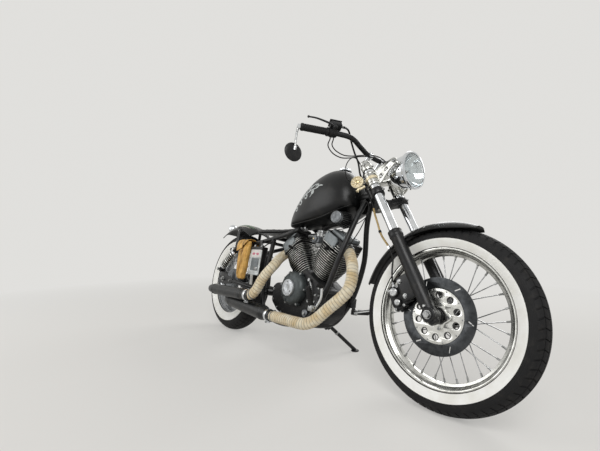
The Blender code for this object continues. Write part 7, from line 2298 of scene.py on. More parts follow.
@dataclass
class RearEnd:
    """Swinging arm, shaft drive, axle, shocks, rear mudguard and tail lamp."""

    arm: tuple[Point, ...] = ((0.474, 0.072, 0.300), (0.430, 0.074, 0.303), (0.370, 0.092, 0.308),
                              (0.260, 0.106, 0.317),
                              (0.140, 0.115, 0.326), (0.045, 0.116, 0.332))
    plate_line: tuple[tuple[float, float], ...] = (
        (0.120, 0.310), (0.125, 0.342), (0.050, 0.362), (-0.010, 0.405), (-0.026, 0.413), (-0.046, 0.410),
        (-0.054, 0.392), (-0.040, 0.330), (-0.028, 0.306), (0.0, 0.296), (0.040, 0.302))
    plate_y: float = 0.127
    shock_top: tuple[float, float, float] = (0.124, 0.140, 0.535)
    shock_low: tuple[float, float, float] = (-0.034, 0.140, 0.395)
    guard_r: float = 0.402
    guard_half: float = 0.085

    def build(self) -> None:
        """All of the rear end."""
        self.swingarm()
        self.drive()
        for name, side in (("right", -1), ("left", 1)):
            self.shock(name, side)
        self.mudguard()
        self.tail_lamp()

    def swingarm(self) -> None:
        """Arms, axle plates and the pivot tube with its caps."""
        piece = Piece("rear_arm", Body.CHASSIS)
        piece.add(bar(0.0180, (0.474, -0.084, 0.300), (0.474, 0.084, 0.300), 0.002, 40), FRAME_BLACK)
        for side in (-1, 1):
            piece.add(pipe(smooth_route([(x, side * y, z) for x, y, z in self.arm], 5), 0.014, 28), FRAME_BLACK)
            flat = Matrix(((1, 0, 0, 0), (0, 0, -1, side * self.plate_y), (0, 1, 0, 0), (0, 0, 0, 1)))
            piece.add(plate(rounded(self.plate_line, 0.008), 0.006, 0.0012, [circle(0.0091, 24, 0, REAR_AXLE.z)]),
                      FRAME_BLACK, flat)
            x, _, z = self.shock_low
            piece.add(bar(0.0070, (x, side * self.plate_y, z), (x, side * 0.165, z), 0.001, 20), ZINC)
            piece.add(studs([(Vector((x, side * 0.1645, z)), Vector((0, side, 0)))], Head.HEX, 0.0085, 0.0060, ZINC),
                      ZINC)
            adjuster = [(Vector((0.090, side * (self.plate_y + 0.003), 0.328)), Vector((0, side, 0)))]
            piece.add(studs(adjuster, Head.HEX, 0.0060, 0.0060, ZINC), ZINC)
        piece.done(["swingarm"])

    def drive(self) -> None:
        """The bevel-drive housing on the left and the rear spindle."""
        place = frame_at(REAR_AXLE, Y_AXIS)
        piece = Piece("bevel_drive", Body.CHASSIS)
        r, low, out = 0.074, 0.072, 0.1225
        profile = [(0, low), (r - 0.006, low), (r - 0.001, low + 0.003), (r, low + 0.006), (r, low + 0.012),
                   (r - 0.003, low + 0.013), (r - 0.003, low + 0.022),
                   (r, low + 0.023), (r, out - 0.024), (r - 0.002, out - 0.017), (r - 0.007, out - 0.010),
                   (r - 0.018, out - 0.003),
                   (r - 0.024, out - 0.001), (0.030, out), (0.028, out - 0.003), (0.020, out - 0.003),
                   (0.0092, out - 0.003), (0, out - 0.003)]
        piece.add(lathe(profile, 80), ENGINE_BLACK, place)
        heads = [(place @ Vector((0.0560 * cos(a), 0.0560 * sin(a), out - 0.0032)),
                  Y_AXIS) for a in (2 * pi * i / 6 for i in range(6))]
        piece.add(studs(heads, Head.HEX, 0.0056, 0.0052, ZINC), ZINC)
        rib = Mesh().add(block((0.010, 0.003, 0.022), 0.001, 1), Matrix.Translation((r - 0.0035, 0, low + 0.0175)))
        piece.add(round_axis(rib, 16, ENGINE_BLACK), ENGINE_BLACK, place)
        piece.done(["final_drive"])
        axle = Piece("rear_spindle", Body.CHASSIS)
        reach = self.plate_y + 0.003 + 0.016
        axle.add(bar(0.0085, REAR_AXLE - Y_AXIS * reach, REAR_AXLE + Y_AXIS * reach, 0.001, 24), ZINC)
        axle.add(bar(0.016, REAR_AXLE - Y_AXIS * 0.1237, REAR_AXLE - Y_AXIS * 0.071, 0.001, 32), ZINC)
        axle.add(bar(0.016, REAR_AXLE + Y_AXIS * 0.059, REAR_AXLE + Y_AXIS * 0.0717, 0.001, 32), ZINC)
        for side in (-1, 1):
            face = frame_at(REAR_AXLE + Y_AXIS * side * (self.plate_y + 0.0033), Y_AXIS * side)
            axle.add(lathe([(0, 0), (0.0175, 0), (0.0175, 0.0024), (0, 0.0024)], 40), ZINC, face)
            axle.add(lathe([(0, 0.002), (0.0132, 0.002), (0.0132, 0.0108), (0.0118, 0.0122), (0, 0.0122)], 6), ZINC,
                     face)
        axle.done(["rear_axle"])

    def shock(self, name: str, side: int) -> None:
        """A coil-over shock: damper, spring, seats and rubber eyes.

        Args:
            name: right or left.
            side: -1 or 1.
        """
        top, low = (Vector((x, side * y, z)) for x, y, z in (self.shock_top, self.shock_low))
        up, length = (top - low).normalized(), (top - low).length
        place = frame_at(low, up)
        start, stop = 0.042, length - 0.026
        piece = Piece("coil_shock_" + name, Body.CHASSIS)
        piece.add(Mesh().add(rod(0.0145, stop - 0.030 - 0.012, 0.001, 32), Matrix.Translation((0, 0, 0.012))),
                  FRAME_BLACK, place)
        piece.add(Mesh().add(rod(0.0065, length - 0.030, 0.001, 20), Matrix.Translation((0, 0, 0.015))), CHROME,
                  place)
        for h, flip in ((start - 0.004, 1), (stop + 0.004, -1)):
            seat = [(0, h - 0.004 * flip), (0.0235, h - 0.004 * flip), (0.0265, h - 0.001 * flip),
                    (0.0265, h + 0.003 * flip), (0.0240, h + 0.004 * flip), (0, h + 0.004 * flip)]
            piece.add(lathe(seat, 48), CHROME, place)
        dome = [(0, stop + 0.006), (0.0262, stop + 0.006), (0.0262, stop + 0.010), (0.0220, stop + 0.0160),
                (0.0120, stop + 0.0180), (0, stop + 0.0180)]
        piece.add(lathe(dome, 48), CHROME, place)
        coil = REPEATS.run("coil", bpy.data.meshes.new("empty"), POLISHED, Turns=8.0, Radius=0.0222,
                           Height=stop - start - 0.008, Wire=0.0036)
        piece.add(coil, POLISHED, place @ Matrix.Translation((0, 0, start + 0.0035)))
        for at in (low, top):
            eye = lathe([(0.0095, -0.0095), (0.0155, -0.0095), (0.0165, -0.0085), (0.0165, 0.0085), (0.0155, 0.0095),
                         (0.0095, 0.0095)], 40, loop=True)
            piece.add(eye, FRAME_BLACK, frame_at(at, Y_AXIS))
            bush = lathe([(0.0073, -0.0108), (0.0110, -0.0108), (0.0110, 0.0108), (0.0073, 0.0108)], 32, loop=True)
            piece.add(bush, RUBBER, frame_at(at, Y_AXIS))
        piece.done(["shock_" + name])

    def guard_point(self, turn: float, share: float, lift: float) -> Vector:
        """A point on the rear mudguard.

        Args:
            turn: degrees above the horizon ahead.
            share: sideways, from -1 on the right to 1 on the left.
            lift: how far it stands off the surface.

        Returns:
            The point on the upright motorcycle.
        """
        r = self.guard_r - 0.045 * (max(0.0, abs(share) - 0.3) / 0.7) ** 1.8 + lift
        a = radians(turn)
        return REAR_AXLE + Vector((cos(a), 0, sin(a))) * r + Y_AXIS * (share * self.guard_half)

    def stripe(self, start: tuple[float, float], end: tuple[float, float], width: float) -> Mesh:
        """A painted line on the mudguard, tapered at both ends.

        Args:
            start: (degrees, share sideways) of its start.
            end: the same of its end.
            width: its greatest width, in metres.

        Returns:
            A thin closed strip.
        """
        rows = []
        for k in range(25):
            t = k / 24
            turn, share = (a + (b - a) * t for a, b in zip(start, end))
            half = width / self.guard_half / 2 * (0.15 + 0.85 * sin(pi * t) ** 0.6)
            rows.append([self.guard_point(turn, share - half, 0.0002), self.guard_point(turn, share, 0.0007),
                         self.guard_point(turn, share + half, 0.0002), self.guard_point(turn, share, -0.0012)])
        return skin(rows)

    def mudguard(self) -> None:
        """The bobbed rear mudguard with its pinstripes."""
        piece = Piece("rear_mudguard", Body.CHASSIS)
        piece.add(guard_shell(REAR_AXLE, self.guard_r, self.guard_half, 60, 124, 0.045, 0.003), FENDER_GLOSS)
        for side in (-1, 1):
            piece.add(self.stripe((66, side * 0.52), (104, side * 0.60), 0.0075), PIN_GREEN)
            piece.add(self.stripe((68, side * 0.40), (112, side * 0.46), 0.0030), PIN_CREAM)
            piece.add(self.stripe((72, side * 0.68), (98, side * 0.74), 0.0030), PIN_CREAM)
        piece.add(self.stripe((68, 0.0), (116, 0.0), 0.0060), PIN_GREEN)
        piece.done(["rear_fender"], smooth=40)

    def tail_lamp(self) -> None:
        """A round chromed tail lamp with a red glass, on a post."""
        facet = radians(64) / 9
        a = radians(124) - facet / 2
        out, back = Vector((cos(a), 0, sin(a))), Vector((-sin(a), 0, cos(a)))
        foot = REAR_AXLE + out * (self.guard_r * cos(facet / 2) + 0.0003)
        centre = foot + out * 0.044 + back * 0.006
        place = frame_at(centre, (-1, 0, 0.05))
        piece = Piece("tail_lamp_round", Body.CHASSIS)
        shell = [(0, -0.0360), (0.008, -0.0356), (0.017, -0.0330), (0.024, -0.0280), (0.0295, -0.0200),
                 (0.0325, -0.0110), (0.0340, -0.0040), (0.0345, 0.0000),
                 (0.0345, 0.0030), (0.0330, 0.0060), (0.0300, 0.0065), (0.0295, 0.0040)]
        piece.add(lathe([*shell, (0, 0.0040)], 64), CHROME, place)
        glass = [(0, 0.0035), (0.0292, 0.0035), (0.0292, 0.0075), (0.0270, 0.0125), (0.0215, 0.0180),
                 (0.0140, 0.0222), (0.0070, 0.0245), (0, 0.0252)]
        piece.add(lathe(glass, 64), RED_LENS, place)
        piece.add(bar(0.0080, foot + out * 0.0012, centre, 0.001, 24), CHROME)
        piece.add(block((0.030, 0.022, 0.004), 0.0014, 2), CHROME,
                  Matrix.Translation(foot + out * 0.002) @ frame_at((0, 0, 0), out))
        piece.done(["tail_lamp"])


@dataclass
class Intake:
    """Carburettor between the barrels, its elbow, and the pleated cone filter."""

    base: Vector = field(default_factory=lambda: Vector((1.0055, -0.053, 0.7215)))
    cap: Vector = field(default_factory=lambda: Vector((1.026, -0.146, 0.7165)))
    cap_r: float = 0.030
    base_r: float = 0.042
    pleats: int = 34

    def build(self, engine: Engine) -> None:
        """Carburettor and filter.

        Args:
            engine: the engine that it feeds.
        """
        axis, length = (self.cap - self.base).normalized(), (self.cap - self.base).length
        place = frame_at(self.base, axis)
        piece = Piece("cone_filter", Body.CHASSIS)
        rows, walk = [], []
        for k in range(9):
            t = k / 8
            h = 0.008 + (length - 0.028) * t
            row = []
            for i in range(self.pleats * 4):
                a = 2 * pi * i / (self.pleats * 4)
                r = self.base_r + (self.cap_r + 0.0005 - self.base_r) * t
                row.append(Vector(((r - 0.0034 * (0.5 + 0.5 * cos(a * self.pleats))) * cos(a),
                                   (r - 0.0034 * (0.5 + 0.5 * cos(a * self.pleats))) * sin(a), h)))
            rows.append(row)
            walk.append(h)
        piece.add(skin(rows, False, True, walk), PAPER, place)
        wire = []
        for i in range(22):
            a = 2 * pi * i / 22
            wire.append([Vector((self.base_r * cos(a), self.base_r * sin(a), 0.009)),
                         Vector((self.cap_r * cos(a), self.cap_r * sin(a), length - 0.019))])
        piece.add(wires(wire, 0.0007, ZINC, 6), ZINC, place)
        foot = [(0, 0.0010), (self.base_r - 0.002, 0.0010), (self.base_r, 0.0025), (self.base_r, 0.0095),
                (self.base_r - 0.003, 0.0115), (0, 0.0115)]
        piece.add(lathe(foot, 64), RUBBER, place)
        r = self.cap_r
        lid = [(0, length - 0.022), (r - 0.0015, length - 0.022), (r, length - 0.0205), (r, length - 0.0045),
               (r - 0.0010, length - 0.0015), (r - 0.0035, length),
               (r - 0.0065, length - 0.0006), (r - 0.0080, length - 0.0018), (0, length - 0.0014)]
        piece.add(lathe(lid, 64), COVER_GREY, place)
        clip = lathe([(0.0172, -0.014), (0.0186, -0.013), (0.0186, -0.004), (0.0172, -0.003)], 32, loop=True)
        piece.add(clip, ZINC, place)
        piece.done(["air_filter"])
        carb = Piece("carburettor_body", Body.CHASSIS)
        at = Vector((0.790, 0, 0.640))
        up = frame_at(at, (0, 0, 1))
        carb.add(lathe([(0, -0.052), (0.026, -0.052), (0.030, -0.046), (0.031, -0.030), (0.0330, -0.028),
                        (0.0330, 0.018), (0.0345, 0.020), (0.0345, 0.026),
                        (0.0300, 0.030), (0.0285, 0.040), (0.0200, 0.044), (0, 0.044)], 56), ZINC, up)
        carb.add(block((0.056, 0.092, 0.038), 0.007, 4), COVER_GREY, Matrix.Translation(at - Vector((0, 0, 0.014))))
        heads = [(at + Vector((x, y, 0.0265)), Vector((0, 0, 1))) for x in (-0.022, 0.022) for y in (-0.022, 0.022)]
        carb.add(studs(heads, Head.CAP, 0.0036, 0.0034, ZINC), ZINC)
        side = frame_at(at + Vector((0.004, -0.046, -0.012)), (0, -1, 0))
        carb.add(lathe([(0, 0), (0.0155, 0), (0.0165, 0.003), (0.0165, 0.009), (0.0120, 0.012), (0, 0.0125)], 40),
                 COVER_GREY, side)
        carb.add(studs([(side @ Vector((0, 0, 0.0120)), Vector((0, -1, 0)))], Head.CAP, 0.0042, 0.0038, BRASS), BRASS)
        elbow = smooth_route([at, (0.808, 0, 0.694), (0.868, -0.002, 0.7165), (0.950, -0.008, 0.7235),
                              self.base - axis * 0.026, self.base], 6)
        carb.add(pipe(elbow, 0.0165, 28), RUBBER)
        port = 0.320
        ends = [engine.at(engine.tilts[1], port, engine.head_half + 0.0003),
                engine.at(engine.tilts[0], port, -engine.head_half - 0.0003)]
        carb.add(bar(0.016, ends[0], ends[1], 0.001, 32), ZINC)
        for a, b in (ends, reversed(ends)):
            way = (b - a).normalized()
            carb.add(lathe([(0.0158, 0.004), (0.0186, 0.004), (0.0186, 0.016), (0.0158, 0.016)], 32, loop=True),
                     RUBBER, frame_at(a, way))
        carb.done(["carburettor"])
def hand_in(obj: bpy.types.Object, finish: Finish, body: Body, replaces: Sequence[str]) -> None:
    """Leans a soft piece onto the stand, dresses it and hands it to the frame.

    Args:
        obj: the piece, in the upright motorcycle's axes.
        finish: its material.
        body: the CAD body that it rides on.
        replaces: the CAD nodes that it stands for.
    """
    obj.data.transform(STANCE)
    obj.data.materials.clear()
    obj.data.materials.append(PAINTSHOP.material(finish))
    obj.data.shade_smooth()
    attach(obj, body.value)
    if replaces:
        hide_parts(*replaces)
    LOG.info("%s: %d faces on %s", obj.name, len(obj.data.polygons), body.value)


def baked(obj: bpy.types.Object) -> None:
    """Applies an object's modifiers to its mesh."""
    bpy.context.view_layer.update()
    made = bpy.data.meshes.new_from_object(obj.evaluated_get(bpy.context.evaluated_depsgraph_get()))
    obj.modifiers.clear()
    obj.data = made


def padded_cover(name: str, shell: Mesh, voxel: float, pressure: float, most: float,
                 held: Callable[[Vector, Vector], bool]) -> bpy.types.Object:
    """A cover over padding: evenly remeshed, swollen by cloth pressure, then smoothed.

    Args:
        name: the piece's name.
        shell: its shape before the padding swells.
        voxel: the even face size.
        pressure: how hard the padding pushes.
        most: how far a point may move.
        held: says of a point and its normal whether the pan holds it still.

    Returns:
        The finished object, in the same axes.
    """
    obj = bpy.data.objects.new(name, shell.data())
    bpy.context.scene.collection.objects.link(obj)
    even = obj.modifiers.new("even", "REMESH")
    even.mode, even.voxel_size = "VOXEL", voxel
    baked(obj)
    start = [v.co.copy() for v in obj.data.vertices]
    obj.vertex_groups.new(name="pan").add([v.index for v in obj.data.vertices if held(v.co, v.normal)], 1.0,
                                          "REPLACE")
    cloth = obj.modifiers.new("swell", "CLOTH")
    cloth.settings.use_pressure = True
    cloth.settings.uniform_pressure_force = pressure
    cloth.settings.vertex_group_mass = "pan"
    cloth.settings.effector_weights.gravity = 0.0
    cloth.point_cache.frame_start, cloth.point_cache.frame_end = 1, 20
    for number in range(1, 21):
        bpy.context.scene.frame_set(number)
    baked(obj)
    bpy.context.scene.frame_set(1)
    for v, before in zip(obj.data.vertices, start):
        move = v.co - before
        v.co = before + move * min(1.0, most / max(move.length, 1e-9))
    finer = obj.modifiers.new("finer", "SUBSURF")
    finer.levels = finer.render_levels = 1
    baked(obj)
    return obj


@dataclass
class Seat:
    """The low solo seat: a padded cover on a steel pan, piped round its edge."""

    sections: tuple[tuple[float, float, float], ...] = (  # x, underside, half width
        (0.250, 0.668, 0.060), (0.285, 0.660, 0.100), (0.350, 0.651, 0.122), (0.430, 0.648, 0.124),
        (0.510, 0.6505, 0.108),
        (0.580, 0.660, 0.082), (0.640, 0.6785, 0.058))
    thick: float = 0.034
    panel: float = 0.74

    def stations(self) -> list[tuple[float, float, float, float]]:
        """x, underside, half width and thickness of even stations."""
        fine = smooth_route(self.sections, 6)
        first, last = fine[0].x, fine[-1].x
        return [(p.x, p.y, p.z, self.thick * (0.45 + 0.55 * sin(pi * (p.x - first) / (last - first)) ** 0.5))
                for p in fine]

    def station(self, x: float) -> tuple[float, float, float]:
        """Underside, half width and thickness at a distance forward."""
        near = min(self.stations(), key=lambda s: abs(s[0] - x))
        return near[1:]

    def seam_half(self, x: float) -> float:
        """How far the top panel's seam lies from the middle line."""
        low, high = self.sections[0][0] + 0.022, self.sections[-1][0] - 0.018
        reach = abs((x - (low + high) / 2) / ((high - low) / 2))
        return self.panel * self.station(x)[1] * (1 - min(reach, 1.0) ** 5) ** 0.5

    def build(self) -> None:
        """Pad with its seams, piping, stitches and pan."""
        rows = []
        for x, under, half, thick in self.stations():
            row = []
            for i in range(48):
                c, s = cos(2 * pi * i / 48), sin(2 * pi * i / 48)
                y = (half - 0.004) * abs(c) ** 0.5 * (1 if c > 0 else -1)
                rise = 0.5 + 0.5 * abs(s) ** 0.55 * (1 if s > 0 else -1)
                row.append(Vector((x, y, under + 0.001 + (thick - 0.005) * rise)))
            rows.append(row)
        pad = padded_cover("seat_cover", skin(rows), 0.005, 4.0, 0.0055, lambda at, normal: normal.z < -0.5)
        for v in pad.data.vertices:
            if v.normal.z > 0.3:
                off = abs(abs(v.co.y) - self.seam_half(v.co.x))
                v.co.z -= 0.0022 * bell(off / 0.0035)
                v.co.z += 0.0006 * noise.noise(v.co * 28)
        shape = BVHTree.FromPolygons([v.co.copy() for v in pad.data.vertices],
                                     [tuple(f.vertices) for f in pad.data.polygons])
        trim = Piece("seat_trim", Body.CHASSIS)
        low, high = self.sections[0][0], self.sections[-1][0]
        threads, piping = [], []
        for gap in (-0.0032, 0.0032):
            loop = []
            for turn in range(0, 361, 3):
                x = (low + high) / 2 + ((high - low) / 2 - 0.024) * cos(radians(turn))
                y = (self.seam_half(x) + gap) * (1 if turn <= 180 else -1)
                hit = shape.ray_cast(Vector((x, y, 1.0)), Vector((0, 0, -1)))[0]
                if hit is not None and 3 < turn % 180 < 177:
                    loop.append(hit + Vector((0, 0, 0.0004)))
            threads.append(even_route(loop, 0.004))
        for turn in range(0, 361, 3):
            x = (low + high) / 2 + (high - low) / 2 * cos(radians(turn))
            under, half, thick = self.station(x)
            out = Vector((x, half * min(1.0, abs(sin(radians(turn))) * 3) * (1 if turn <= 180 else -1),
                          under + thick * 0.30))
            piping.append(shape.find_nearest(out)[0])
        trim.add(pipe(even_route(piping, 0.006), 0.0026, 10), SEAT_VINYL)
        trim.add(stitched(threads, 0.0052, 0.00075, BLACK_THREAD), BLACK_THREAD)
        ledge = [[Vector((x, y * (half - 0.006), z)) for y, z in ((-1, under - 0.0012), (1, under - 0.0012),
                                                                  (1, under + 0.0022), (-1, under + 0.0022))]
                 for x, under, half, _ in self.stations()]
        trim.add(skin(ledge), FRAME_BLACK)
        trim.done(())
        hand_in(pad, SEAT_VINYL, Body.CHASSIS, ["seat"])


@dataclass
class Pouch:
    """A hide tool pouch hung over the frame rail, its flap folded down over a creased body."""

    rings: tuple[tuple[float, float, float, float], ...] = (  # z, x, half width, half depth
        (0.352, 0.256, 0.024, 0.010), (0.362, 0.256, 0.038, 0.017), (0.410, 0.253, 0.045, 0.023),
        (0.470, 0.251, 0.049, 0.025),
        (0.530, 0.252, 0.052, 0.024), (0.575, 0.255, 0.054, 0.019), (0.592, 0.256, 0.054, 0.013))
    y: float = -0.147
    over: tuple[tuple[float, float], ...] = ((-0.0885, 0.566), (-0.0900, 0.582), (-0.0975, 0.5925), (-0.1080, 0.5955),
                                             (-0.1250, 0.5985),
                                             (-0.1480, 0.6000), (-0.1640, 0.5950), (-0.1735, 0.5820),
                                             (-0.1765, 0.5640), (-0.1765, 0.5440),
                                             (-0.1750, 0.5240))
    hide_t: float = 0.0026

    def crease_x(self, z: float) -> float:
        """Where the long crease runs, forward of the rear axle."""
        share = (z - 0.36) / 0.23
        return 0.238 + 0.034 * share + 0.006 * sin(share * 7)

    def build(self) -> None:
        """Body, flap, strap, stitches and stud."""
        fine = smooth_route([(z, x, wide) for z, x, wide, _ in self.rings], 8)
        deep = smooth_route([(z, d, 0) for z, _, _, d in self.rings], 8)
        rows, shade_shares = [], []
        for p, q in zip(fine, deep):
            z, x, wide, depth = p.x, p.y, p.z, q.y
            row = []
            for i in range(88):
                c, s = cos(2 * pi * i / 88), sin(2 * pi * i / 88)
                at = Vector((x + wide * abs(c) ** 0.75 * (1 if c > 0 else -1),
                             self.y + depth * abs(s) ** 0.75 * (1 if s > 0 else -1), z))
                front = max(0.0, -s)
                off = at.x - self.crease_x(z)
                fold = front * bell(off / 0.0075)
                lip = front * bell((off - 0.015) / 0.008)
                pucker = noise.noise(Vector((at.x * 42, at.y * 30, z * 22)))
                fine_pucker = noise.noise(Vector((at.x * 130, at.y * 90, z * 75)))
                at.y += 0.0125 * fold - 0.0040 * lip - 0.0034 * pucker * (0.4 + front) - 0.0010 * fine_pucker
                at.x += 0.0024 * noise.noise(Vector((z * 30, 3.1, s)))
                row.append(at)
                # Painted shade: darkest along the long crease, and over the puckers.
                shade_shares.append(min(1.0, 0.95 * fold + max(0.0, 0.55 * pucker) + 0.35 * max(0.0, fine_pucker)))
            rows.append(row)
        piece = Piece("tool_pouch", Body.CHASSIS)
        piece.add(skin(rows), TAN_LEATHER, shade_share=shade_shares)
        self.flap(piece)
        sides = []
        for s in (-1, 1):
            line = [Vector((p.y + s * p.z * 0.86, self.y - q.y * 0.66 - 0.0012, p.x)) for p,
                    q in zip(fine, deep) if 0.372 < p.x < 0.555]
            sides.append(even_route(line, 0.004))
        piece.add(stitched(sides, 0.0062, 0.0009, THREAD), THREAD)
        strap = [[Vector((0.256 + dx, y + dy, z + dz)) for dx, dy,
                  dz in ((-0.014, 0, 0), (0.014, 0, 0), (0.014, n, m), (-0.014, n, m))]
                 for (y, z), (n, m) in (((-0.124, 0.560), (0.003, 0.0)), ((-0.123, 0.552), (0.001, -0.003)),
                                        ((-0.105, 0.5495), (0.0, -0.003)),
                                        ((-0.090, 0.556), (-0.0012, -0.003)), ((-0.0865, 0.568), (0.003, 0.0)))]
        piece.add(skin(strap), TAN_LEATHER)
        piece.done(["pouch"], smooth=60)

    def flap(self, piece: Piece) -> None:
        """The flap: over the rail and down the front, its lower edge cut on a slant.

        Args:
            piece: the pouch's piece.
        """
        line = smooth_route([(0, y, z) for y, z in self.over], 5)
        rows, shade_shares, hem = [], [], []
        for k in range(31):
            share = k / 30
            x = 0.1985 + 0.1115 * share
            reach = len(line) - 1 - round(15 * share ** 1.6) - (2 if k in (0, 30) else 0)
            route = line[:reach + 1]
            outer, inner = [], []
            for j in range(40):
                place = j / 39 * (len(route) - 1)
                low = min(int(place), len(route) - 2)
                p = route[low].lerp(route[low + 1], place - low)
                along = (route[low + 1] - route[low]).normalized()
                out = Vector((0, along.z, -along.y))
                fall = j / 39
                wave = 0.0026 * fall * sin(share * 9.5 + fall * 2) + 0.0022 * noise.noise(
                    Vector((x * 50, fall * 3, 1.7)))
                dent = 0.0045 * bell((share - 0.45 - 0.25 * fall) / 0.07) * fall
                outer.append(Vector((x + 0.003 * sin(fall * 5), p.y, p.z)) - out * (wave - dent))
                inner.append(outer[-1] + out * self.hide_t)
                # Painted shade in the dent; noise darkens further patches.
                shade_shares.append(min(1.0, dent * 190 + max(0.0, noise.noise(Vector((x * 60, fall * 6, 4.0)))) * 0.6))
            shade_shares += reversed(shade_shares[-40:])
            rows.append([*outer, *reversed(inner)])
            hem.append(outer[-3] - Vector((0, 0.0006, 0)))
        piece.add(skin(rows), TAN_LEATHER, shade_share=shade_shares)
        piece.add(stitched([even_route(hem[1:-1], 0.004)], 0.0062, 0.0009, THREAD), THREAD)
        piece.add(studs([(Vector((0.236, -0.1768, 0.548)), Vector((0, -1, 0.05)))], Head.DOME, 0.0050, 0.0030, BRASS),
                  BRASS)


@dataclass
class ElectricsBox:
    """The box by the rail: pale frame, bare label, recessed panel, cap, hook and leads."""

    size: tuple[float, float, float] = (0.120, 0.040, 0.165)
    at: tuple[float, float, float] = (0.386, -0.126, 0.470)
    cap_z: float = 0.550

    def build(self) -> None:
        """Case, face, cap, hook and leads."""
        wide, deep, tall = self.size
        middle = Vector(self.at)
        face = middle.y - deep / 2
        piece = Piece("electrics_case", Body.CHASSIS)
        piece.add(block((wide - 0.001, deep - 0.003, tall - 0.001), 0.004), FRAME_BLACK,
                  Matrix.Translation(middle + Y_AXIS * 0.0015))
        turn = Matrix(((1, 0, 0, 0), (0, 0, -1, 0), (0, 1, 0, 0), (0, 0, 0, 1)))
        front = Matrix.Translation((middle.x, face + 0.0016, middle.z)) @ turn
        half_w, half_t = wide / 2 - 0.0005, tall / 2 - 0.0005
        outline = rounded([(-half_w, -half_t), (half_w, -half_t), (half_w, half_t), (-half_w, half_t)], 0.006)
        window = rounded([(-0.040, -0.056), (0.044, -0.056), (0.044, 0.018), (-0.040, 0.018)], 0.004)
        piece.add(plate(outline, 0.0044, 0.0010, [window]), BOX_PALE, front)
        piece.add(plate(rounded([(-0.041, -0.057), (0.045, -0.057), (0.045, 0.019), (-0.041, 0.019)], 0.004), 0.0018,
                        0.0004), BOX_GREY,
                  Matrix.Translation((0, 0.0022, 0)) @ front)
        for k in range(4):
            piece.add(block((0.066, 0.0016, 0.0030), 0.0006, 1), BOX_GREY,
                      Matrix.Translation((middle.x + 0.002, face + 0.0026, middle.z - 0.004 - 0.012 * k)))
        piece.add(block((0.030, 0.0040, 0.018), 0.0016, 2), ZINC,
                  Matrix.Translation((middle.x + 0.018, face + 0.0018, middle.z - 0.042)))
        label = rounded([(-0.046, 0.026), (0.046, 0.026), (0.046, 0.074), (-0.046, 0.074)], 0.003)
        piece.add(plate(label, 0.0008, 0.0002), LABEL_PALE, Matrix.Translation((0, -0.0025, 0)) @ front)
        for x in (-0.022, 0.020):
            spot = plate([(x + 0.016 * cos(a), 0.046 + 0.0075 * sin(a))
                          for a in (2 * pi * i / 32 for i in range(32))], 0.0005, 0.0001)
            piece.add(spot, LABEL_ROSE, Matrix.Translation((0, -0.0030, 0)) @ front)
        screws = [(Vector((middle.x + x, face - 0.0006, middle.z + z)), Vector((0, -1, 0))) for x in (-0.054, 0.054)
                  for z in (-0.076, 0.020)]
        piece.add(studs(screws, Head.CAP, 0.0030, 0.0018, ZINC), ZINC)
        piece.add(block((wide + 0.004, deep + 0.004, 0.022), 0.005, 4), FRAME_BLACK,
                  Matrix.Translation((middle.x, middle.y, self.cap_z)))
        top = self.cap_z + 0.011
        for x in (-0.040, 0.036):
            post = frame_at((middle.x + x, middle.y - 0.008, top - 0.001), (0, 0, 1))
            piece.add(lathe([(0, 0), (0.0085, 0), (0.0085, 0.004), (0.0060, 0.005), (0.0060, 0.011), (0, 0.0115)],
                            24), ZINC, post)
            piece.add(studs([(post @ Vector((0, 0, 0.010)), Vector((0, 0, 1)))], Head.HEX, 0.0046, 0.0042, ZINC),
                      ZINC)
        piece.add(block((0.030, 0.006, 0.060), 0.002, 2), FRAME_BLACK,
                  Matrix.Translation((middle.x, middle.y + 0.005, 0.575)))
        lead = smooth_route([(middle.x + 0.036, middle.y - 0.008, top + 0.006), (0.446, -0.1330, 0.566),
                             (0.466, -0.1290, 0.578), (0.487, -0.1200, 0.590),
                             (0.503, -0.1100, 0.600)], 6)
        piece.add(pipe(lead, 0.0036, 12), RUBBER)
        piece.done(["battery_box"])


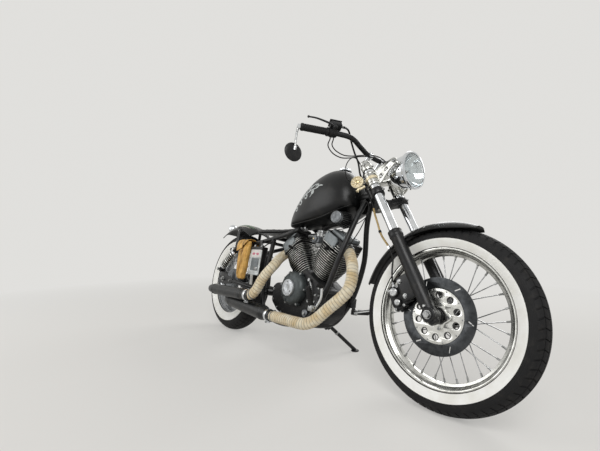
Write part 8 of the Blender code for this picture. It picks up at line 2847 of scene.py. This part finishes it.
@dataclass
class FootControls:
    """Pegs, pedals and their clamps on the frame's front tubes."""

    at: tuple[float, float, float] = (0.960, 0.104, 0.320)

    def build(self) -> None:
        """Both sides."""
        for name, side in (("right", -1), ("left", 1)):
            self.side(name, side)

    def peg(self, piece: Piece, start: Vector, end: Vector) -> None:
        """A ribbed rubber peg on its steel core.

        Args:
            piece: the piece it joins.
            start: its hinge end.
            end: its free end.
        """
        length, r = (end - start).length, 0.0135
        profile = [(0, 0.004), (0.0105, 0.004), (0.0105, 0.014), (r, 0.016)]
        h = 0.020
        while h < length - 0.016:
            profile += [(r, h), (r, h + 0.0042), (r - 0.0014, h + 0.0050), (r - 0.0014, h + 0.0064), (r, h + 0.0072)]
            h += 0.0086
        profile += [(r, length - 0.006), (r - 0.0015, length - 0.0012), (r - 0.004, length), (0, length)]
        piece.add(lathe(profile, 36), RUBBER, frame_at(start, end - start))
        piece.add(lathe([(0, length - 0.001), (0.0062, length - 0.001), (0.0062, length + 0.0004),
                         (0, length + 0.0006)], 24), ZINC, frame_at(start, end - start))

    def side(self, name: str, side: int) -> None:
        """One side's clamp, arm, peg and pedal.

        Args:
            name: right or left.
            side: -1 or 1.
        """
        x, y, z = self.at
        root = Vector((x, side * y, z))
        piece = Piece("foot_rest_" + name, Body.CHASSIS)
        piece.add(block((0.046, 0.040, 0.050), 0.006, 4), FRAME_BLACK,
                  Matrix.Translation(root + Vector((0, side * 0.008, 0))))
        piece.add(studs([(root + Vector((dx, side * 0.0278, dz)), Vector((0, side, 0))) for dx in (-0.013, 0.013)
                         for dz in (-0.016, 0.016)],
                        Head.CAP, 0.0050, 0.0046, ZINC), ZINC)
        arm = [root + Vector((0, side * 0.020, 0)), root + Vector((0, side * 0.036, -0.030)),
               root + Vector((-0.004, side * 0.048, -0.046))]
        piece.add(pipe(smooth_route(arm, 8), 0.009, 24), FRAME_BLACK)
        hinge = root + Vector((-0.004, side * 0.050, -0.046))
        piece.add(block((0.030, 0.026, 0.030), 0.005, 4), ZINC, Matrix.Translation(hinge))
        pin = [(hinge + Vector((s * 0.0150, 0, 0.004)), Vector((s, 0, 0))) for s in (-1, 1)]
        piece.add(studs(pin, Head.HEX, 0.0058, 0.0050, CHROME), CHROME)
        if side > 0:
            self.peg(piece, hinge, hinge + Vector((0, 0.115, 0.004)))
            pedal = [hinge + Vector(p) for p in ((0.010, -0.012, 0), (0.085, 0.004, 0.022), (0.130, 0.010, 0.034))]
            toe = (hinge + Vector((0.130, 0.010, 0.034)), hinge + Vector((0.132, 0.060, 0.034)))
        else:
            self.peg(piece, hinge, hinge + Vector((-0.012, -0.030, 0.100)))
            pedal = [hinge + Vector(p) for p in ((0.010, 0.012, 0), (0.036, 0.016, 0.050), (0.040, 0.010, 0.105))]
            toe = (hinge + Vector((0.040, 0.010, 0.105)), hinge + Vector((0.040, -0.030, 0.110)))
        piece.add(pipe(smooth_route(pedal, 8), 0.006, 20), CHROME)
        self.toe(piece, *toe)
        piece.done(["foot_control_" + name])

    def toe(self, piece: Piece, start: Vector, end: Vector) -> None:
        """The pedal's ribbed rubber toe piece.

        Args:
            piece: the piece it joins.
            start: where the pedal meets it.
            end: its free end.
        """
        length = (end - start).length
        profile = [(0, -0.004), (0.0060, -0.004), (0.0078, -0.001)]
        h = 0.002
        while h < length - 0.006:
            profile += [(0.0086, h), (0.0086, h + 0.003), (0.0074, h + 0.0036), (0.0074, h + 0.0048)]
            h += 0.006
        profile += [(0.0086, length - 0.003), (0.0072, length), (0, length)]
        piece.add(lathe(profile, 28), RUBBER, frame_at(start, end - start))


@dataclass
class Horn:
    """A small ribbed horn in cream lacquer, on an arm from the fork."""

    centre: tuple[float, float, float] = (1.131, -0.140, 0.876)
    facing: tuple[float, float, float] = (0.35, -0.9, 0.1)
    radius: float = 0.030

    def build(self) -> None:
        """Body, ribs, arm, clamp and union."""
        middle, way = Vector(self.centre), Vector(self.facing).normalized()
        place = frame_at(middle, way)
        r = self.radius
        piece = Piece("ribbed_horn", Body.FORK)
        shell = [(0, -0.0125), (0.0160, -0.0125), (0.0200, -0.0105), (0.0210, -0.0060), (r - 0.0025, -0.0045),
                 (r - 0.0005, -0.0020),
                 (r, 0.0010), (r, 0.0050), (r - 0.0015, 0.0070), (r - 0.0045, 0.0074), (r - 0.0060, 0.0050),
                 (r - 0.0070, 0.0038), (0, 0.0036)]
        piece.add(lathe(shell, 64), CREAM_LACQUER, place)
        rib = Mesh().add(block((0.0125, 0.0034, 0.0044), 0.0012, 2), Matrix.Translation((0.0160, 0, 0.0052)))
        piece.add(round_axis(rib, 10, CREAM_LACQUER), CREAM_LACQUER, place)
        button = [(0, 0.003), (0.0088, 0.003), (0.0092, 0.0048), (0.0088, 0.0078), (0.0060, 0.0092), (0.0030, 0.0096),
                  (0, 0.0096)]
        piece.add(lathe(button, 40), BRASS, place)
        leg = leg_point(0.6545, -LEG_Y)
        across = (middle - leg).normalized()
        start = middle + Vector((-0.002, 0.010, -0.002))
        end = leg + across * 0.0268
        piece.add(pipe(smooth_route([start, (start + end) / 2 + Vector((0, 0.008, 0)), end], 8), 0.0070, 24), CHROME)
        band = lathe([(0.0268, -0.008), (0.0292, -0.007), (0.0292, 0.007), (0.0268, 0.008)], 48, loop=True)
        piece.add(band, CREAM_LACQUER, frame_at(leg, UP))
        union = smooth_route([middle + Vector((0.024, 0.022, -0.018)), middle + Vector((0.018, 0.014, -0.027)),
                              middle + Vector((0.008, 0.006, -0.031)),
                              middle + Vector((0.006, 0.002, -0.043))], 6)
        piece.add(pipe(union, 0.0056, 18), CREAM_LACQUER)
        for k in (0, 9, 18):
            along = (union[min(k + 1, len(union) - 1)] - union[max(k - 1, 0)]).normalized()
            piece.add(lathe([(0, -0.003), (0.0078, -0.003), (0.0078, 0.003), (0, 0.003)], 6), CREAM_LACQUER,
                      frame_at(union[k], along))
        piece.done(["horn"])


@dataclass
class SideStand:
    """The swinging leg with its foot, tang, pin and wound return spring."""

    down: tuple[float, float, float] = (0.075, 0.150, -0.118)

    def build(self) -> None:
        """Leg, foot, tang, pin and spring."""
        pivot = UPRIGHT @ joint_place("stand_swing")[0]
        axis = (UPRIGHT.to_3x3() @ joint_place("stand_swing")[1]).normalized()
        down = Vector(self.down).normalized()
        slope = tan(LEAN)
        foot = pivot + down * ((pivot.z - pivot.y * slope) / (down.y * slope - down.z))
        ground_up = Vector((0, -sin(LEAN), cos(LEAN)))
        if abs((STANCE @ foot).z) > 0.004:
            ground_up = Vector((0, sin(LEAN), cos(LEAN)))
        piece = Piece("stand_leg", Body.STAND)
        piece.add(bar(0.015, pivot - axis * 0.012, pivot + axis * 0.012, 0.0015, 40), FRAME_BLACK)
        piece.add(bar(0.010, pivot + down * 0.004, foot + ground_up * 0.006, 0.001, 28), FRAME_BLACK)
        piece.add(studs([(pivot + axis * 0.0118, axis)], Head.HEX, 0.0088, 0.0060, ZINC), ZINC)
        shoe = lathe([(0, 0.0), (0.0200, 0.0), (0.0220, 0.0016), (0.0220, 0.0046), (0.0205, 0.0062), (0.0120, 0.0070),
                      (0, 0.0070)], 44)
        piece.add(shoe, FRAME_BLACK, frame_at(foot, ground_up))
        collar = lathe([(0.0098, -0.006), (0.0118, -0.004), (0.0118, 0.004), (0.0098, 0.006)], 28, loop=True)
        piece.add(collar, ZINC, frame_at(pivot.lerp(foot, 0.30), down))
        knee = pivot.lerp(foot, 0.72)
        tang = smooth_route([knee, knee + Vector((-0.015, 0.018, 0.004)), knee + Vector((-0.045, 0.030, 0.008))], 8)
        piece.add(pipe(tang, 0.005, 18), CHROME)
        piece.add(lathe([(0, -0.0062), (0.0042, -0.0048), (0.0062, 0), (0.0042, 0.0048), (0, 0.0062)], 20), CHROME,
                  Matrix.Translation(tang[-1]))
        coil = REPEATS.run("coil", bpy.data.meshes.new("empty"), ZINC, Turns=5.0, Radius=0.0168, Height=0.0180,
                           Wire=0.0014)
        piece.add(coil, ZINC, frame_at(pivot - axis * 0.0090, axis))
        piece.done(["side_stand"])


UPWARD = Vector((0, 0, 1))


@dataclass(frozen=True)
class Cable:
    """One cable: where it runs and how thick it is."""

    name: str
    points: tuple[Point, ...]
    radius: float = 0.0027
    onto_frame: bool = False
    from_clamp: int = 0
    beside: float = 0.0


@dataclass
class Cables:
    """The control cables and leads round the bars and the steering head."""

    runs: tuple[Cable, ...] = (
        Cable("switch_lead", ((1.053, -0.260, 1.036), (1.055, -0.250, 1.021), (1.059, -0.228, 1.010),
                              (1.065, -0.185, 1.006), (1.074, -0.135, 1.018),
                              (1.088, -0.092, 1.034), (1.114, -0.056, 1.044), (1.148, -0.028, 1.036),
                              (1.182, -0.012, 1.008), (1.208, -0.004, 0.966)),
              from_clamp=-1, beside=0.008),
        Cable("clutch_cable", ((1.050, 0.268, 1.034), (1.052, 0.254, 1.017), (1.054, 0.228, 1.006),
                               (1.057, 0.185, 1.000), (1.063, 0.130, 0.999),
                               (1.074, 0.080, 1.010), (1.094, 0.046, 1.026), (1.126, 0.026, 1.034),
                               (1.164, 0.018, 1.017), (1.194, 0.018, 0.982),
                               (1.212, 0.020, 0.948)), from_clamp=1),
        Cable("throttle_cable", ((1.046, -0.278, 1.028), (1.051, -0.266, 1.006), (1.060, -0.243, 0.990),
                                 (1.071, -0.205, 0.985), (1.082, -0.160, 0.998),
                                 (1.094, -0.115, 1.018), (1.114, -0.070, 1.030), (1.148, -0.036, 1.024),
                                 (1.184, -0.020, 0.992), (1.211, -0.014, 0.952)),
              from_clamp=-1, beside=-0.008),
        Cable("horn_lead", ((1.124, -0.128, 0.872), (1.112, -0.138, 0.872), (1.102, -0.158, 0.876),
                            (1.098, -0.182, 0.892), (1.098, -0.196, 0.922),
                            (1.100, -0.192, 0.958), (1.098, -0.168, 0.990), (1.094, -0.135, 1.004),
                            (1.092, -0.102, 0.994), (1.094, -0.076, 0.966),
                            (1.098, -0.056, 0.932)), 0.0022),
        Cable("front_lead", ((1.112, -0.040, 0.812), (1.136, -0.052, 0.800), (1.148, -0.058, 0.770),
                             (1.138, -0.062, 0.722), (1.112, -0.066, 0.660), (1.082, -0.078, 0.600),
                             (1.064, -0.092, 0.560), (1.056, -0.096, 0.530)), 0.0024, True),
    )

    def start(self, run: Cable, bars: Handlebar) -> list[Vector]:
        """The points inside a hand control, which the cable leaves straight down."""
        if not run.from_clamp:
            return []
        _, along, clamp, _ = bars.end(run.from_clamp)
        top = clamp - along * run.beside
        return [top - UPWARD * drop for drop in (0.012, 0.022, 0.034)]

    def build(self, bars: Handlebar) -> None:
        """Every cable as a rubber tube.

        Args:
            bars: the handlebar that some of them leave.
        """
        for run in self.runs:
            route = even_route(smooth_route([*self.start(run, bars), *[Vector(p) for p in run.points]], 8), 0.004)
            piece = Piece(run.name, Body.FORK)
            piece.add(pipe(route, run.radius, 12), RUBBER)
            obj = piece.done((), ride=not run.onto_frame)
            path = [STANCE @ p for p in route]
            if run.onto_frame:
                tuple(path[4])
                tuple(path[-30])
                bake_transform(obj)
            length = sum((b - a).length for a, b in zip(path, path[1:]))
            tuple(path[0])
            [tuple(p) for p in path]


@dataclass
class Studio:
    """A pale floor, soft light and the photograph's viewpoint."""

    from_front_axle: tuple[float, float, float] = (0.6707, -1.2617, 0.2924)
    yaw: float = 50.324
    pitch: float = 2.184
    lens: float = 20.895
    pale: str = "E9E8E5"

    def camera(self) -> None:
        """The camera, placed from the front axle."""
        data = bpy.data.cameras.new("camera")
        data.lens, data.sensor_width = self.lens, 36.0
        data.clip_start, data.clip_end = 0.05, 60.0
        camera = bpy.data.objects.new("camera", data)
        bpy.context.scene.collection.objects.link(camera)
        camera.location = joint_place("front_wheel_spin")[0] + Vector(self.from_front_axle)
        camera.rotation_euler = (radians(90 + self.pitch), 0, radians(self.yaw))
        bpy.context.scene.camera = camera

    def seen(self, tree: bpy.types.NodeTree) -> bpy.types.NodeSocket:
        """1 for rays from the eye, a gloss or a glass, which see the pale studio; 0 for light on the object."""
        rays = put(tree, "ShaderNodeLightPath")
        total = put(tree, "ShaderNodeMath", {0: rays.outputs["Is Camera Ray"], 1: rays.outputs["Is Glossy Ray"]},
                    operation="ADD")
        return put(tree, "ShaderNodeMath", {0: total.outputs[0], 1: rays.outputs["Is Transmission Ray"]},
                   operation="ADD",
                   use_clamp=True).outputs[0]

    def world(self) -> None:
        """A pale room that gives the object gentle fill light."""
        world = bpy.data.worlds.new("studio")
        bpy.context.scene.world = world
        world.use_nodes = True
        tree = world.node_tree
        tree.nodes.clear()
        strength = put(tree, "ShaderNodeMapRange", {"Value": self.seen(tree), "To Min": 0.42, "To Max": 0.92})
        light = put(tree, "ShaderNodeBackground", {"Color": linear(self.pale), "Strength": strength.outputs[0]})
        put(tree, "ShaderNodeOutputWorld", {"Surface": light.outputs[0]})

    def floor(self) -> None:
        """A pale floor that keeps the object's shadow."""
        shape = bmesh.new()
        bmesh.ops.create_grid(shape, x_segments=1, y_segments=1, size=25)
        data = bpy.data.meshes.new("floor")
        shape.to_mesh(data)
        shape.free()
        floor = bpy.data.objects.new("floor", data)
        bpy.context.scene.collection.objects.link(floor)
        floor.location = (0, 0, -0.0005)
        made = bpy.data.materials.new("studio_floor")
        made.use_nodes = True
        tree = made.node_tree
        tree.nodes.clear()
        matt = put(tree, "ShaderNodeBsdfDiffuse", {"Color": linear("DDDBD7")})
        pale = put(tree, "ShaderNodeEmission", {"Color": linear(self.pale), "Strength": 0.92})
        spot = put(tree, "ShaderNodeTexCoord")
        far = put(tree, "ShaderNodeVectorMath", {0: spot.outputs["Object"]}, operation="LENGTH")
        fade = put(tree, "ShaderNodeMapRange", {"Value": far.outputs["Value"], "From Min": 1.6, "From Max": 4.2,
                                                "To Min": 0.45,
                                                "To Max": 1.0})
        share = put(tree, "ShaderNodeMath", {0: self.seen(tree), 1: fade.outputs[0]}, operation="MULTIPLY")
        mix = put(tree, "ShaderNodeMixShader", {0: share.outputs[0], 1: matt.outputs[0], 2: pale.outputs[0]})
        put(tree, "ShaderNodeOutputMaterial", {"Surface": mix.outputs[0]})
        data.materials.append(made)

    def lamps(self) -> None:
        """Three large soft boxes: key from the front right, fill from behind the camera, rim from the back left."""
        for name, place, size, power in (("key", (2.6, -2.4, 3.2), 2.2, 95), ("fill", (-2.2, -3.0, 2.0), 2.6, 42),
                                         ("rim", (-0.6, 3.4, 2.8), 2.4, 70)):
            data = bpy.data.lights.new(name, "AREA")
            data.size, data.energy = size, power
            lamp = bpy.data.objects.new(name, data)
            bpy.context.scene.collection.objects.link(lamp)
            lamp.location = place
            lamp.rotation_euler = (Vector((0, 0, 0.45)) - Vector(place)).to_track_quat("-Z", "Y").to_euler()

    def build(self) -> None:
        """Camera, room, floor and lamps."""
        bpy.context.scene.view_settings.view_transform = "Standard"
        self.camera()
        self.world()
        self.floor()
        self.lamps()


CARRIED = {  # finish of each record slot, for the CAD nodes whose own shape is kept
    "aluminium": POLISHED, "black_paint": TANK_BLACK, "brass": BRASS, "chrome": CHROME, "engine_black": ENGINE_BLACK,
    "glass": LENS, "gloss_black": FENDER_GLOSS, "grey_plastic": COVER_GREY, "heat_wrap": HEAT_WRAP,
    "leather": TAN_LEATHER, "rubber": RUBBER, "satin_black": FRAME_BLACK, "steel": ZINC, "tyre": TYRE_RUBBER,
    "vinyl": SEAT_VINYL,
}


def dress_carried_nodes() -> None:
    """Gives every CAD node its slot's finish."""
    for node in frame["nodes"].values():
        for place in node.material_slots:
            key = (place.material.name.split(".")[0] if place.material else "") or "steel"
            place.material = PAINTSHOP.material(CARRIED.get(key, ZINC))


def main() -> None:
    """Builds the motorcycle's pieces in order."""
    logging.basicConfig(level=logging.INFO, format="%(name)s %(message)s")
    Studio().build()
    dress_carried_nodes()
    front = WireWheel("front", Body.FRONT_WHEEL, FRONT_AXLE, 0.2545, 0.036, 0.340 * cos(pi / 36), 0.050, 0.293, 0.030,
                      POLISHED,
                      ENGINE_BLACK)
    front.build_tyre()
    front.build_rim("front_wheel_rim", [])
    FrontDisc().build(front)
    rear = WireWheel("rear", Body.REAR_WHEEL, REAR_AXLE, 0.2155, 0.048, 0.332 * cos(pi / 36), 0.066, 0.275, 0.036,
                     DULL_CHROME,
                     ENGINE_BLACK, pitches=58)
    rear.build_tyre()
    drum = lathe([(0.010, -0.046), (0.078, -0.046), (0.080, -0.048), (0.080, -0.061), (0.078, -0.063),
                  (0.070, -0.069), (0.068, -0.070),
                  (0.010, -0.070)], 72, loop=True)
    rear.build_rim("rear_wheel_rim", [(drum, COVER_GREY)])
    engine = Engine()
    engine.build()
    WrappedExhaust().build(engine.ports())
    Tank().build()
    Fork().build()
    Headlight().build()
    bars = Handlebar()
    bars.build()
    FrontBrake().build(bars)
    ChassisTubes().build()
    RearEnd().build()
    Intake().build(engine)
    Seat().build()
    Pouch().build()
    ElectricsBox().build()
    FootControls().build()
    Horn().build()
    SideStand().build()
    Cables().build(bars)


if __name__ == "__main__":
    main()
